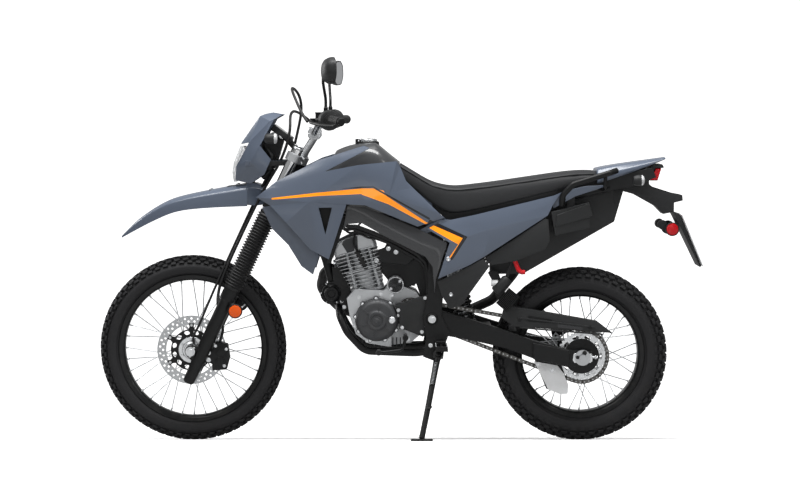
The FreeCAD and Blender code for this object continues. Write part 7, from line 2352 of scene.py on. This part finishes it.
class MOTORCYCLE_OT_frame(bpy.types.Operator):
    """Dress the frame's tubes and plates, and the small parts bolted to it"""

    bl_idname = "motorcycle.frame"
    bl_label = "Frame"

    def execute(self, context):
        tubes_of_frame()
        small_parts()
        return {"FINISHED"}


class MOTORCYCLE_OT_rear(bpy.types.Operator):
    """Dress the swingarm, the shock and the chain with its guards"""

    bl_idname = "motorcycle.rear"
    bl_label = "Swingarm and chain"

    def execute(self, context):
        rear_arm(context.scene.motorcycle_sizes.spring_turns)
        drive_chain()
        return {"FINISHED"}


class MOTORCYCLE_OT_feet(bpy.types.Operator):
    """Dress the side stand, the footpegs, the gear lever and the brake pedal"""

    bl_idname = "motorcycle.feet"
    bl_label = "Stand and pegs"

    def execute(self, context):
        stand()
        pegs()
        return {"FINISHED"}


class MOTORCYCLE_OT_panels(bpy.types.Operator):
    """Dress the shrouds, side covers and trims, with the stripe"""

    bl_idname = "motorcycle.panels"
    bl_label = "Panels"

    def execute(self, context):
        panels()
        return {"FINISHED"}


class MOTORCYCLE_OT_tank(bpy.types.Operator):
    """Dress the fuel tank and its cap"""

    bl_idname = "motorcycle.tank"
    bl_label = "Fuel tank"

    def execute(self, context):
        fuel_tank()
        return {"FINISHED"}


class MOTORCYCLE_OT_saddle(bpy.types.Operator):
    """Upholster the saddle"""

    bl_idname = "motorcycle.saddle"
    bl_label = "Saddle"

    def execute(self, context):
        saddle()
        return {"FINISHED"}


class MOTORCYCLE_OT_tail(bpy.types.Operator):
    """Dress the tail, the rear fender, the grab rails, the lights and the tool box"""

    bl_idname = "motorcycle.tail"
    bl_label = "Tail"

    def execute(self, context):
        tail()
        return {"FINISHED"}


class MOTORCYCLE_OT_studio(bpy.types.Operator):
    """Set the white studio, its lights and the camera"""

    bl_idname = "motorcycle.studio"
    bl_label = "Studio"

    def execute(self, context):
        studio(context.scene.motorcycle_shot)
        return {"FINISHED"}


STEPS = (MOTORCYCLE_OT_finishes, MOTORCYCLE_OT_wheels, MOTORCYCLE_OT_fork, MOTORCYCLE_OT_handlebar,
         MOTORCYCLE_OT_front, MOTORCYCLE_OT_cables, MOTORCYCLE_OT_engine, MOTORCYCLE_OT_exhaust,
         MOTORCYCLE_OT_frame, MOTORCYCLE_OT_rear, MOTORCYCLE_OT_feet, MOTORCYCLE_OT_panels,
         MOTORCYCLE_OT_tank, MOTORCYCLE_OT_saddle, MOTORCYCLE_OT_tail, MOTORCYCLE_OT_studio)


class MOTORCYCLE_PT_panel(bpy.types.Panel):
    """Lists the machine's colours, sizes and pieces"""

    bl_idname = "MOTORCYCLE_PT_panel"
    bl_label = "Motorcycle"
    bl_space_type = "VIEW_3D"
    bl_region_type = "UI"
    bl_category = "Motorcycle"

    def draw(self, context):
        for group in (context.scene.motorcycle_colors, context.scene.motorcycle_sizes,
                      context.scene.motorcycle_shot):
            box = self.layout.box()
            for name in group.__annotations__:
                box.prop(group, name)
        for step in STEPS:
            self.layout.operator(step.bl_idname)


GROUP_CLASSES = {"motorcycle_colors": MotorcycleColors, "motorcycle_sizes": MotorcycleSizes,
                 "motorcycle_shot": MotorcycleShot}


def register():
    """Registers the panel, its settings and the operators."""
    for name, group in GROUP_CLASSES.items():
        bpy.utils.register_class(group)
        setattr(bpy.types.Scene, name, bpy.props.PointerProperty(type=group))
    for cls in (*STEPS, MOTORCYCLE_PT_panel):
        bpy.utils.register_class(cls)


def unregister():
    """Takes away what register added."""
    for cls in (MOTORCYCLE_PT_panel, *reversed(STEPS)):
        bpy.utils.unregister_class(cls)
    for name, group in GROUP_CLASSES.items():
        delattr(bpy.types.Scene, name)
        bpy.utils.unregister_class(group)


def main():
    """Runs every step in order."""
    register()
    for step in STEPS:
        group, _, name = step.bl_idname.partition(".")
        getattr(getattr(bpy.ops, group), name)()


if __name__ == "__main__":
    main()
